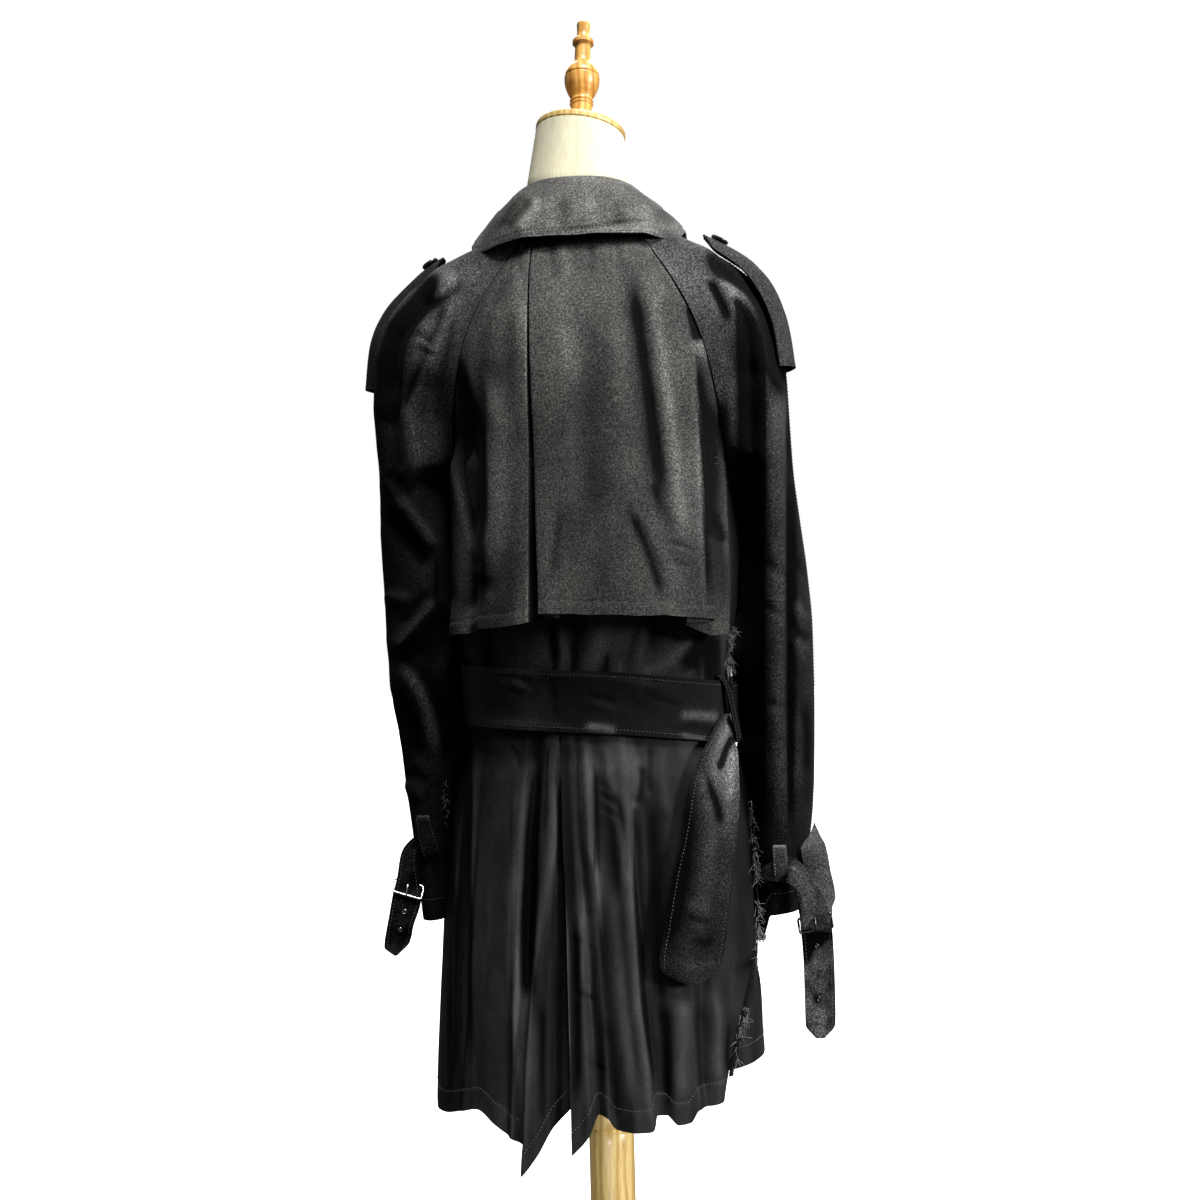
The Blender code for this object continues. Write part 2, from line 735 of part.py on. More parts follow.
def collar(gabardine):
    stand_rows = []
    for height in (0.0, 0.5, 1.0):
        row = []
        for angle in COLLAR_ANGLES[1:-1]:
            fold_z = read(COLLAR, "fold_z", abs(angle)) - 0.002
            seam_z = min(1.405, fold_z - 0.010)
            row.append(round_neck(angle, mix(0.0680, 0.0605, height), mix(seam_z, fold_z, height)))
        stand_rows.append(row)
    sheet("collar_stand", stand_rows, CLOTH, gabardine)

    fall_rows = []
    for down in (0.0, 0.10, 0.35, 0.70, 1.0):
        row = []
        for angle in COLLAR_ANGLES:
            radius = read(COLLAR, "fold", abs(angle)) + 0.0015
            fold = round_neck(angle, radius, read(COLLAR, "fold_z", abs(angle)))
            edge = Vector(
                (
                    COLLAR_CENTRE * 0.5 + math.copysign(read(COLLAR, "edge_x", abs(angle)), angle),
                    read(COLLAR, "edge_y", abs(angle)),
                    read(COLLAR, "edge_z", abs(angle)),
                )
            )
            bulge = 0.010 * math.sin(math.pi * down) * (edge - fold).length / 0.075
            away = Vector((fold.x - COLLAR_CENTRE, fold.y, 0.02)).normalized()
            row.append(fold.lerp(edge, down) + away * bulge)
        fall_rows.append(row)
    sheet("collar_fall", fall_rows, CLOTH, gabardine)


# Down each strap from its point: the middle, half its width, and its fall at each side
EPAULETTE_LEFT = table(
    "along x z half drop",
    (0.0, 0.1600, 1.3790, 0.006, 0.0010),
    (1.0, 0.1760, 1.3700, 0.021, 0.0070),
    (2.0, 0.2010, 1.3500, 0.024, 0.0095),
    (3.0, 0.2290, 1.3200, 0.025, 0.0105),
    (4.0, 0.2440, 1.2860, 0.026, 0.0095),
    (5.0, 0.2510, 1.2360, 0.026, 0.0115),
)
EPAULETTE_RIGHT = table(
    "along x z half drop",
    (0.0, 0.1270, 1.3900, 0.006, 0.0010),
    (1.0, 0.1450, 1.3810, 0.021, 0.0080),
    (2.0, 0.1800, 1.3570, 0.024, 0.0100),
    (3.0, 0.2020, 1.3280, 0.025, 0.0110),
    (4.0, 0.2160, 1.2860, 0.026, 0.0100),
    (5.0, 0.2220, 1.2420, 0.026, 0.0100),
)
EPAULETTE_MIDDLE = 0.006  # the straps lie this far behind the axis


def epaulette_frame(rows, side, along):
    """The middle of the strap and the direction that its face looks in."""
    step = 0.05
    here, before, after = (
        Vector((side * read(rows, "x", t), EPAULETTE_MIDDLE, read(rows, "z", t)))
        for t in (along, max(along - step, 0.0), min(along + step, 5.0))
    )
    away = (after - before).cross(Vector((0.0, side, 0.0))).normalized()
    return here, -away if away.z < 0 else away


def epaulette(name, rows, side, gabardine):
    grid = []
    for along in (0.0, 0.35, 1.0, 2.0, 3.0, 4.0, 5.0):
        here, away = epaulette_frame(rows, side, along)
        half, drop = read(rows, "half", along), read(rows, "drop", along)
        shares = spread(-1.0, 1.0, 5)
        grid.append([here + Vector((0.0, half * w, 0.0)) - away * (drop * w * w) for w in shares])
    sheet(name, grid, STRAP_CLOTH, gabardine)


def epaulette_button(name, rows, side, horn):
    here, away = epaulette_frame(rows, side, 0.9)
    button(name, here + away * (STRAP_CLOTH / 2 + TOUCH), away, horn, 0.010)


BELT = table(  # the belt's lower edge round the body, from the right side over the back to the front
    "angle low",
    (-90.0, 0.838),
    (-45.0, 0.845),
    (0.0, 0.856),
    (45.0, 0.863),
    (90.0, 0.868),
    (180.0, 0.856),
    (290.0, 0.839),
)
BELT_START, BELT_END = -69.5, 287.0  # the ends meet at the wearer's right, under the loop
BELT_OUT = 0.0058  # the belt's middle stands this far off the body


def belt_point(angle, share, out=0.0):
    """A point of the belt: share 0 at its lower edge, 1 at its upper one."""
    z = read(BELT, "low", angle) + BELT_WIDTH * share
    over_front = OVERLAP * min(max((angle - 90.0) / 30.0, 0.0), max((285.0 - angle) / 30.0, 0.0), 1.0)
    return outline(COAT, z, angle, BELT_OUT + over_front + out)


def belt(gabardine):
    shares = (1.0, 0.5, 0.15, 0.0)
    rows = [[belt_point(angle, share) for angle in spread(BELT_START, BELT_END, 33)] for share in shares]
    sheet("belt", rows, STRAP_CLOTH, gabardine)


TAIL = table(  # the belt's hanging end: its two edges, and how far it stands off the coat
    "z left right out",
    (0.5990, -0.0900, -0.1020, 0.0150),
    (0.6200, -0.0660, -0.1220, 0.0150),
    (0.6600, -0.0720, -0.1280, 0.0150),
    (0.7160, -0.0820, -0.1340, 0.0150),
    (0.7600, -0.0920, -0.1380, 0.0150),
    (0.7950, -0.0970, -0.1400, 0.0140),
    (0.8220, -0.1040, -0.1390, 0.0135),
    (0.8510, -0.1170, -0.1355, 0.0120),
    (0.8750, -0.1290, -0.1345, 0.0115),
)


def belt_tail(gabardine):
    rows = []
    for z in (0.871, 0.851, 0.822, 0.795, 0.760, 0.716, 0.660, 0.625, 0.599):
        left, right = read(TAIL, "left", z), read(TAIL, "right", z)
        out = read(TAIL, "out", z)
        row = []
        for share in spread(0.0, 1.0, 5):
            fold = 0.0030 * math.sin(math.tau * share) * min((z - 0.599) / 0.1, 1.0)
            row.append(on_back(COAT, mix(left, right, share), z, out + fold))
        rows.append(row)
    sheet("belt_tail", rows, STRAP_CLOTH, gabardine)


# Narrow loops over the belt: height, place round the body, and how far they stand off
LOOP_LEFT = table(
    "z angle out",
    (0.860, 78.0, 0.0016),
    (0.864, 78.0, 0.0090),
    (0.874, 78.0, 0.0150),
    (0.900, 78.0, 0.0160),
    (0.926, 78.0, 0.0150),
    (0.935, 78.0, 0.0095),
    (0.940, 78.0, 0.0016),
)
LOOP_RIGHT = table(
    "z angle out",
    (0.841, -71.5, 0.0142),
    (0.850, -71.0, 0.0165),
    (0.870, -69.0, 0.0172),
    (0.892, -66.5, 0.0150),
    (0.905, -65.5, 0.0100),
    (0.912, -65.0, 0.0016),
)


def belt_loop(name, rows, half, gabardine):
    grid = []
    for z, angle, out in reversed(list(zip(rows["z"], rows["angle"], rows["out"]))):
        wide = math.degrees(half / read(COAT, "half", z))
        grid.append([outline(COAT, z, angle + wide * w, out) for w in (-1.0, 0.0, 1.0)])
    sheet(name, grid, CLOTH, gabardine)


# Cuff straps: each strap lies on the cuff under its keeper, stands off, and hangs from its buckle

STRAP_LEFT = table(  # down the strap: its upper or outer edge, its other edge, and its depth
    "along edge_x edge_z inner_x inner_z y",
    (2, 0.209, 0.741, 0.202, 0.727, 0.024),
    (3, 0.220, 0.728, 0.211, 0.715, 0.012),
    (4, 0.222, 0.716, 0.211, 0.704, 0.008),
    (5, 0.225, 0.698, 0.204, 0.687, 0.019),
    (6, 0.230, 0.685, 0.200, 0.676, 0.022),
    (7, 0.237, 0.653, 0.209, 0.647, 0.021),
    (8, 0.243, 0.624, 0.215, 0.628, 0.016),
    (9, 0.238, 0.616, 0.227, 0.616, 0.016),
)
STRAP_RIGHT = table(
    "along edge_x edge_z inner_x inner_z y",
    (2, 0.209, 0.711, 0.207, 0.686, 0.026),
    (3, 0.220, 0.700, 0.210, 0.673, 0.024),
    (4, 0.234, 0.679, 0.210, 0.657, 0.020),
    (5, 0.242, 0.659, 0.210, 0.645, 0.014),
    (6, 0.245, 0.641, 0.211, 0.635, 0.010),
    (7, 0.246, 0.622, 0.212, 0.620, 0.010),
    (8, 0.246, 0.593, 0.213, 0.592, 0.008),
    (9, 0.246, 0.561, 0.213, 0.561, 0.006),
    (10, 0.245, 0.535, 0.213, 0.535, 0.006),
    (11, 0.233, 0.520, 0.224, 0.520, 0.006),
)
KEEPER_LEFT = table("z near far", (0.7190, 0.182, 0.194), (0.768, 0.187, 0.199))
KEEPER_RIGHT = table("z near far", (0.6910, 0.185, 0.197), (0.729, 0.185, 0.197))
FLARE = table(  # the right strap's other end, round the outer side of the cuff
    "along edge_x edge_z edge_y inner_x inner_z inner_y",
    (0, 0.2280, 0.748, -0.024, 0.2265, 0.740, -0.018),
    (1, 0.2330, 0.736, -0.022, 0.2200, 0.733, 0.000),
    (2, 0.2390, 0.724, -0.020, 0.2135, 0.723, 0.015),
    (3, 0.2420, 0.710, -0.020, 0.2150, 0.709, 0.004),
    (4, 0.2440, 0.697, -0.020, 0.2190, 0.695, -0.008),
    (5, 0.2480, 0.678, -0.018, 0.2300, 0.679, -0.014),
    (6, 0.2490, 0.668, -0.014, 0.2340, 0.668, -0.012),
    (7, 0.2450, 0.656, -0.008, 0.2360, 0.656, -0.008),
    (8, 0.2450, 0.644, -0.003, 0.2380, 0.644, -0.003),
)
UNDER_KEEPER = 0.0032  # the strap's middle off the cuff
KEEPER_OUT = 0.0056


def on_cuff(rows, side, x, z, out):
    """A point on the back of a sleeve, at a distance x from the body's middle."""
    low, high = 0.02, 0.98
    for _ in range(24):
        share = (low + high) / 2
        if abs(sleeve_point(rows, side, 1, z, share).x) < x:
            low = share
        else:
            high = share
    return sleeve_point(rows, side, 1, z, share, out)


def across(first, last, count):
    return [first.lerp(last, share) for share in spread(0.0, 1.0, count)]


def cuff_strap(name, rows, sleeve_rows, side, lying, gabardine):
    """lying gives the strap's ends under the keeper: (edge x, edge z, inner x, inner z), near end first."""
    grid = []
    for edge_x, edge_z, inner_x, inner_z in lying:
        xs, zs = spread(edge_x, inner_x, 3), spread(edge_z, inner_z, 3)
        grid.append([on_cuff(sleeve_rows, side, x, z, UNDER_KEEPER) for x, z in zip(xs, zs)])
    grid += [across(*strap_row(rows, side, along), 3) for along in rows["along"]]
    sheet(name, grid, STRAP_CLOTH, gabardine)


def cuff_flare(gabardine):
    grid = []
    for k in range(len(FLARE["along"])):
        edge = Vector((-FLARE["edge_x"][k], FLARE["edge_y"][k], FLARE["edge_z"][k]))
        inner = Vector((-FLARE["inner_x"][k], FLARE["inner_y"][k], FLARE["inner_z"][k]))
        grid.append(across(edge, inner, 4))
    sheet("cuff_strap_right_end", grid, STRAP_CLOTH, gabardine)


def cuff_keeper(name, rows, sleeve_rows, side, gabardine):
    low, high = rows["z"]
    grid = []
    top = KEEPER_OUT + 0.0008
    arch = ((1.0, 0.0020), (0.88, KEEPER_OUT), (0.5, top), (0.16, KEEPER_OUT), (0.0, 0.0020))
    for share, out in arch:
        z = mix(low, high, share)
        near, far = read(rows, "near", z), read(rows, "far", z)
        grid.append([on_cuff(sleeve_rows, side, x, z, out) for x in spread(near, far, 3)])
    sheet(name, grid, CLOTH, gabardine)


def buckle(name, here, above, metal):
    """A wire frame: its front bar crosses the strap at one row, its back bar behind the row above."""
    wire, stand_off, margin, corner_cut = 0.0011, 0.0037, 0.0022, 0.0024
    outer, inner = here
    across_strap = (inner - outer).normalized()
    up = (sum(above, Vector()) - sum(here, Vector())) / 2
    away = up.cross(across_strap).normalized()
    away = away if away.y > 0 else -away
    front = [outer - across_strap * margin, inner + across_strap * margin]
    corners = [point + away * stand_off for point in front]
    corners += [point + up - away * stand_off for point in reversed(front)]
    path = []
    for k, corner in enumerate(corners):
        for other in (corners[k - 1], corners[(k + 1) % 4]):
            path.append(corner + (other - corner).normalized() * corner_cut)
    square = (corners[1] - corners[0]).cross(corners[2] - corners[1]).normalized()
    mesh = bmesh.new()
    rings = []
    for k, point in enumerate(path):
        run = bisector(path[k - 1], point, path[(k + 1) % len(path)]).normalized()
        aside = run.cross(square)
        turns = (math.tau * j / 6 for j in range(6))
        ring = [point + (aside * math.cos(t) + square * math.sin(t)) * wire for t in turns]
        rings.append([mesh.verts.new(place) for place in ring])
    for k, ring in enumerate(rings):
        following = rings[(k + 1) % len(rings)]
        for j in range(6):
            mesh.faces.new((ring[j], ring[(j + 1) % 6], following[(j + 1) % 6], following[j]))
    add(name, mesh, metal)


def strap_row(rows, side, along):
    """The two ends of a strap's row."""
    k = rows["along"].index(along)
    outer = Vector((side * rows["edge_x"][k], rows["y"][k], rows["edge_z"][k]))
    return outer, Vector((side * rows["inner_x"][k], rows["y"][k], rows["inner_z"][k]))


def cuffs(gabardine, metal):
    lying = ((0.1850, 0.745, 0.1850, 0.7295), (0.1910, 0.7455, 0.1895, 0.730), (0.1970, 0.746, 0.1940, 0.731))
    cuff_strap("cuff_strap_left", STRAP_LEFT, SLEEVE_LEFT, 1, lying, gabardine)
    lying = ((0.1830, 0.717, 0.1830, 0.701), (0.1900, 0.716, 0.1910, 0.700), (0.1980, 0.715, 0.2000, 0.699))
    cuff_strap("cuff_strap_right", STRAP_RIGHT, SLEEVE_RIGHT, -1, lying, gabardine)
    cuff_flare(gabardine)
    cuff_keeper("cuff_keeper_left", KEEPER_LEFT, SLEEVE_LEFT, 1, gabardine)
    cuff_keeper("cuff_keeper_right", KEEPER_RIGHT, SLEEVE_RIGHT, -1, gabardine)
    for name, rows, side in (("left", STRAP_LEFT, 1), ("right", STRAP_RIGHT, -1)):
        buckle(f"cuff_buckle_{name}", strap_row(rows, side, 6), strap_row(rows, side, 5), metal)


# Loose threads along two raw edges, as thin strips of their reach

FRAY_LEVELS = (0.790, 0.740, 0.690, 0.650, 0.610, 0.576, 0.538, 0.500)


def frayed_edges(gabardine):
    rows = []
    for z in FRAY_LEVELS:
        seam = read(SIDE_SEAM, "right", z)
        rows.append([outline(COAT, z, -(seam + turn), 0.0042) for turn in (2.0, -2.0)])
    sheet("frayed_edge_skirt", rows, CLOTH, gabardine)
    rows = [[outline(COAT, z, angle, 0.0011) for angle in (-86.0, -81.0)] for z in (0.955, 0.938, 0.922)]
    sheet("frayed_edge_side", rows, CLOTH, gabardine)


# The skirt's two back panels

# From the side seam to the slit: each fold's place at the waist and hem, its lift there and its hem's height
SKIRT_FOLDS_LEFT = table(
    "fold waist hem waist_lift hem_lift hem_z",
    (0, 0.1390, 0.1780, 0.0000, 0.000, 0.462),
    (1, 0.1300, 0.1680, 0.0010, 0.004, 0.462),
    (2, 0.1220, 0.1570, 0.0010, 0.007, 0.463),
    (3, 0.1150, 0.1480, -0.0010, -0.006, 0.465),
    (4, 0.1070, 0.1380, 0.0010, 0.005, 0.468),
    (5, 0.0960, 0.1220, 0.0010, 0.002, 0.472),
    (6, 0.0840, 0.1040, 0.0010, 0.003, 0.459),
    (7, 0.0740, 0.0920, -0.0010, -0.007, 0.450),
    (8, 0.0660, 0.0830, 0.0010, 0.009, 0.447),
    (9, 0.0580, 0.0780, -0.0010, -0.010, 0.440),
    (10, 0.0500, 0.0750, -0.0010, -0.012, 0.434),
    (11, 0.0430, 0.0720, 0.0010, 0.010, 0.411),
    (12, 0.0370, 0.0560, 0.0010, 0.007, 0.432),
    (13, 0.0305, 0.0400, 0.0000, 0.004, 0.461),
)
SKIRT_FOLDS_RIGHT = table(
    "fold waist hem waist_lift hem_lift hem_z",
    (0, 0.0300, 0.0220, 0.0000, 0.008, 0.432),
    (1, 0.0230, 0.0050, 0.0010, 0.010, 0.450),
    (2, 0.0150, -0.0050, -0.0010, -0.006, 0.471),
    (3, 0.0070, -0.0150, 0.0010, 0.006, 0.468),
    (4, -0.0030, -0.0230, -0.0010, -0.006, 0.456),
    (5, -0.0160, -0.0420, 0.0010, 0.010, 0.454),
    (6, -0.0280, -0.0570, 0.0010, 0.012, 0.455),
    (7, -0.0380, -0.0650, -0.0010, -0.008, 0.468),
    (8, -0.0480, -0.0740, -0.0010, -0.008, 0.468),
    (9, -0.0580, -0.0840, 0.0010, 0.008, 0.458),
    (10, -0.0720, -0.0960, 0.0010, 0.002, 0.459),
    (11, -0.0880, -0.1040, 0.0010, 0.006, 0.471),
    (12, -0.1040, -0.1130, -0.0010, -0.005, 0.472),
    (13, -0.1200, -0.1230, 0.0010, 0.005, 0.474),
    (14, -0.1390, -0.1340, 0.0000, 0.001, 0.478),
)
SKIRT_LEVELS = (0.0, 0.06, 0.13, 0.24, 0.40, 0.55, 0.70, 0.86, 1.0)
SLIT = table(  # how far each side of the slit stands from the line between its waist and hem
    "fall left right",
    (0.00, 0.0000, 0.0000),
    (0.30, 0.0010, -0.0005),
    (0.40, 0.0030, -0.0015),
    (0.70, 0.0050, -0.0010),
    (1.00, 0.0000, 0.0000),
)


def skirt_row(folds, side, fall):
    count = len(folds["fold"])
    row = []
    for fold in range(count):
        waist, hem = folds["waist"][fold], folds["hem"][fold]
        z = mix(WAIST_SEAM - SEAM, folds["hem_z"][fold], fall)
        seam = read(SIDE_SEAM, "left" if side > 0 else "right", z) - (4 + 4 * fall) * seam_turn(z)
        widest = side * outline(COAT, z, side * seam).x
        slit_fold = fold == (count - 1 if side > 0 else 0)
        x = mix(waist, hem, fall)
        x = side * min(side * x, widest)
        if fold == (0 if side > 0 else count - 1):
            x = side * widest
        if slit_fold:
            x += read(SLIT, "left" if side > 0 else "right", fall) + side * SEAM / 2
        swell = fall * (2 - fall)
        lift = mix(folds["waist_lift"][fold], folds["hem_lift"][fold], swell)
        row.append(on_back(COAT, x, z, lift))
    return row


def skirt(name, folds, side, satin):
    sheet(name, [skirt_row(folds, side, fall) for fall in SKIRT_LEVELS], CLOTH, satin)


def main():
    for old in list(bpy.data.objects):
        bpy.data.objects.remove(old, do_unlink=True)
    gabardine = finish("black_gabardine", (0.022, 0.022, 0.024), 0.85)
    satin = finish("black_satin", (0.016, 0.018, 0.020), 0.42)
    linen = finish("cream_linen", (0.72, 0.66, 0.53), 0.90)
    wood = finish("honey_wood", (0.62, 0.36, 0.13), 0.38)
    horn = finish("black_horn", (0.020, 0.018, 0.017), 0.35)
    metal = finish("silver_metal", (0.72, 0.71, 0.69), 0.28, 1.0)

    dress_form(linen)
    stand(wood)
    back_body(gabardine)
    cape(gabardine)
    fronts(gabardine, satin)
    lapel("lapel_left", 1, (0.38, 0.48, 0.6, 0.74, 0.78, 1.0), gabardine)
    lapel("lapel_right", -1, (0.0, 0.15, 0.3, 0.45, 0.6, 0.74, 0.78, 1.0), gabardine)
    front_buttons(horn)
    for facing, part in ((1, "back"), (-1, "front")):
        sleeve(f"sleeve_left_{part}", SLEEVE_LEFT, 1, facing, gabardine)
        sleeve(f"sleeve_right_{part}", SLEEVE_RIGHT, -1, facing, gabardine)
    collar(gabardine)
    epaulette("epaulette_left", EPAULETTE_LEFT, 1, gabardine)
    epaulette("epaulette_right", EPAULETTE_RIGHT, -1, gabardine)
    epaulette_button("epaulette_button_left", EPAULETTE_LEFT, 1, horn)
    epaulette_button("epaulette_button_right", EPAULETTE_RIGHT, -1, horn)
    belt(gabardine)
    belt_tail(gabardine)
    belt_loop("belt_loop_left", LOOP_LEFT, 0.0040, gabardine)
    belt_loop("belt_loop_right", LOOP_RIGHT, 0.0050, gabardine)
    cuffs(gabardine, metal)
    frayed_edges(gabardine)
    skirt("skirt_back_left", SKIRT_FOLDS_LEFT, 1, satin)
    skirt("skirt_back_right", SKIRT_FOLDS_RIGHT, -1, satin)


main()
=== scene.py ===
import math

import bpy
import numpy as np
from mathutils import Matrix, Vector


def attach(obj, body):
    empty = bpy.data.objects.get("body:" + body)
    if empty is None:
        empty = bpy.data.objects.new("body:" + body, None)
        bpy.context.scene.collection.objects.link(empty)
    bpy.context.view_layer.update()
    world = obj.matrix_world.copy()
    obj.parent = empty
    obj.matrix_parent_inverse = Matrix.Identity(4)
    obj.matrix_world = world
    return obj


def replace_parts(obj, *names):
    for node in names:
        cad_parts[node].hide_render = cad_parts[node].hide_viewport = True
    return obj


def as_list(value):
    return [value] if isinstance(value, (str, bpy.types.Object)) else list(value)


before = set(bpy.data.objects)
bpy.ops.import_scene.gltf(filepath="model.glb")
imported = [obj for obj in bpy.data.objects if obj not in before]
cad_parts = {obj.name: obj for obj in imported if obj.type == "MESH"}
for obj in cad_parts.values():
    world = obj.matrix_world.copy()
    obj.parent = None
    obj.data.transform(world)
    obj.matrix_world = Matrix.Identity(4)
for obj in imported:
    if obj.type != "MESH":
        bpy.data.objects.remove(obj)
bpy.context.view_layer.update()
print("frame loaded:", len(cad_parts), "solids")

# Everything is in metres. +X is the wearer's left, -Y the way the coat faces, and angles round the
# body run from 0 at the centre back to 90 at the wearer's left side and 180 at the centre front.

clothWall = 0.0012
strapWall = 0.002
seamGap = 0.0004
waistSeam = 0.871
underarm = 1.136
lapelBreak = 1.165
frontOverlap = 0.0036
roundness = 2.35
neckSeam = 1.392
capeTop = 1.393
hairGap = 0.0003
fullShading = 0.004  # the height or depth of a fold at which its painted shading is full: fully dark in a trough, fully pale on a ridge


# The camera, and where a point falls in its 1200 by 1200 frame

lookout = dict(focal=2038.8, yaw=6.5, distance=2.23, height=0.93, rise=1.718, roll=-1.48, aside=0.0024,
               frame=1200.0, middle=600, sensor=36.0)


def cameraAxes():
    yaw, rise, roll = (math.radians(lookout[k]) for k in ("yaw", "rise", "roll"))
    back = np.array([-math.sin(yaw), math.cos(yaw), 0.0])
    flatRight = np.array([-math.cos(yaw), -math.sin(yaw), 0.0])
    place = back * lookout["distance"] + flatRight * lookout["aside"] + np.array([0, 0, lookout["height"]])
    ahead = -back * math.cos(rise) + np.array([0, 0, math.sin(rise)])
    flatUp = np.cross(flatRight, ahead)
    right = flatRight * math.cos(roll) + flatUp * math.sin(roll)
    up = flatUp * math.cos(roll) - flatRight * math.sin(roll)
    return place, right, up, ahead


def inFrame(points):
    place, right, up, ahead = cameraAxes()
    away = points - place
    deep, focal = away @ ahead, lookout["focal"]
    across, high = focal * (away @ right) / deep, focal * (away @ up) / deep
    return np.stack([lookout["middle"] + across, lookout["middle"] - high], -1)


def added(name, data):
    made = bpy.data.objects.new(name, data)
    bpy.context.scene.collection.objects.link(made)
    return made


def makeCamera():
    place, right, up, ahead = cameraAxes()
    camera = added("camera", bpy.data.cameras.new("camera"))
    camera.data.sensor_width = lookout["sensor"]
    camera.data.lens = lookout["focal"] * lookout["sensor"] / lookout["frame"]
    camera.data.clip_start, camera.data.clip_end = 0.05, 200.0
    camera.matrix_world = Matrix.Translation(place) @ Matrix([right, up, -ahead]).transposed().to_4x4()
    bpy.context.scene.camera = camera


# Short tables with named columns, read along the first one on a smooth curve

def rowsOf(columns, *rows):
    ordered = sorted(rows)
    return {name: np.array([row[k] for row in ordered], float) for k, name in enumerate(columns.split())}


def read(rows, column, at):
    places, values = next(iter(rows.values())), rows[column]
    at = np.clip(np.asarray(at, float), places[0], places[-1])
    k = np.clip(np.searchsorted(places, at, side="right") - 1, 0, len(places) - 2)
    rise = np.diff(values) / np.diff(places)
    slope = np.concatenate([rise[:1], np.zeros(len(rise) - 1), rise[-1:]])
    product = rise[:-1] * rise[1:]
    same = product > 0
    slope[1:-1][same] = 2 * product[same] / (rise[:-1] + rise[1:])[same]
    step = places[k + 1] - places[k]
    t = (at - places[k]) / step
    ends = values[k] * (1 + 2 * t) * (1 - t) ** 2 + values[k + 1] * t * t * (3 - 2 * t)
    return ends + step * (slope[k] * t * (1 - t) ** 2 + slope[k + 1] * t * t * (t - 1))


def mix(a, b, t):
    return a + (b - a) * t


def ease(t):
    t = np.clip(t, 0.0, 1.0)
    return t * t * (3 - 2 * t)


def bump(t):
    return np.exp(-(t**2))


def handOf(side):
    return "left" if side > 0 else "right"


def runLengths(line):
    # how far along a line each of its places is
    return np.concatenate([[0], np.cumsum(np.linalg.norm(np.diff(line, axis=0), axis=1))])


def reachOver(grid, axis):
    # how far each place of a grid is down its columns (axis 0) or along its rows (axis 1)
    return np.insert(np.cumsum(np.linalg.norm(np.diff(grid, axis=axis), axis=-1), axis), 0, 0.0, axis)


# Outlines by height: half width, depth behind and before the axis, and the swing to the left
outlineColumns = "z half back front middle"
shoulders = (
    (1.165, 0.157, 0.13, 0.113, 0.0),
    (1.21, 0.168, 0.13, 0.112, 0.0),
    (1.25, 0.176, 0.127, 0.11, 0.0),
    (1.29, 0.172, 0.12, 0.104, 0.0),
    (1.33, 0.15, 0.108, 0.095, 0.0),
    (1.37, 0.114, 0.089, 0.08, 0.0),
    (1.398, 0.078, 0.073, 0.068, 0.0),
)
coat = rowsOf(
    outlineColumns,
    (0.4, 0.179, 0.157, 0.146, 0.01),
    (0.5, 0.1765, 0.152, 0.142, 0.0095),
    (0.585, 0.172, 0.146, 0.136, 0.009),
    (0.7, 0.167, 0.136, 0.127, 0.006),
    (0.768, 0.162, 0.129, 0.12, 0.0035),
    (0.808, 0.155, 0.121, 0.113, 0.0015),
    (0.835, 0.146, 0.112, 0.105, 0.0005),
    (0.872, 0.14, 0.108, 0.1, 0.0),
    (0.93, 0.144, 0.112, 0.102, 0.0),
    (0.99, 0.152, 0.118, 0.106, 0.0),
    (1.05, 0.156, 0.122, 0.109, 0.0),
    (1.12, 0.157, 0.127, 0.112, 0.0),
    *shoulders,
)
capeForm = rowsOf(
    outlineColumns,
    (0.95, 0.162, 0.156, 0.1, 0.0),
    (1.03, 0.16, 0.147, 0.1, 0.0),
    (1.1, 0.158, 0.138, 0.1, 0.0),
    *shoulders,
)
raglan = rowsOf(  # how far the sleeve's seam stands from the centre line
    "z x",
    (1.136, 0.1535),
    (1.15, 0.149),
    (1.165, 0.146),
    (1.208, 0.14),
    (1.252, 0.131),
    (1.288, 0.119),
    (1.328, 0.099),
    (1.372, 0.071),
    (1.398, 0.056),
)
sideSeam = rowsOf(
    "z left right",
    (0.44, 84.0, 45.0),
    (0.489, 85.0, 50.0),
    (0.538, 86.0, 58.0),
    (0.576, 86.0, 67.0),
    (0.61, 87.0, 78.0),
    (0.675, 87.0, 87.0),
    (0.8, 88.0, 89.0),
    (0.872, 90.0, 90.0),
)


def outwards(rows, grid):
    # the way square out of the outline at each place
    x, y, z = grid[..., 0] - read(rows, "middle", grid[..., 2]), grid[..., 1], grid[..., 2]
    deep = np.where(y > 0, read(rows, "back", z), read(rows, "front", z))
    sizes = ((x, read(rows, "half", z)), (y, deep))
    away = [np.sign(v) * (np.abs(v) / size) ** (roundness - 1) / size for v, size in sizes]
    away = np.stack([*away, 0 * z], -1)
    return away / np.linalg.norm(away, axis=-1, keepdims=True)


def outline(rows, z, angle, out=0.0):
    z, angle, out = np.broadcast_arrays(np.asarray(z, float), angle, out)
    s, c = np.sin(np.radians(angle)), np.cos(np.radians(angle))
    deep = np.where(c > 0, read(rows, "back", z), read(rows, "front", z))
    x = np.sign(s) * np.abs(s) ** (2 / roundness) * read(rows, "half", z)
    y = np.sign(c) * np.abs(c) ** (2 / roundness) * deep
    grid = np.stack([x + read(rows, "middle", z), y, z], -1)
    return grid + outwards(rows, grid) * out[..., None]


def backAngle(rows, z, x):
    x = x - read(rows, "middle", z)
    share = np.minimum(np.abs(x) / read(rows, "half", z), 1.0)
    return np.sign(x) * np.degrees(np.arcsin(share ** (roundness / 2)))


def onBack(rows, x, z, out=0.0):
    return outline(rows, z, backAngle(rows, z, x), out)


def onFront(rows, x, z, out=0.0):
    return outline(rows, z, 180.0 - backAngle(rows, z, x), out)


# Folds: each is a soft ridge (depth over 0) or trough (under 0) along a line of places

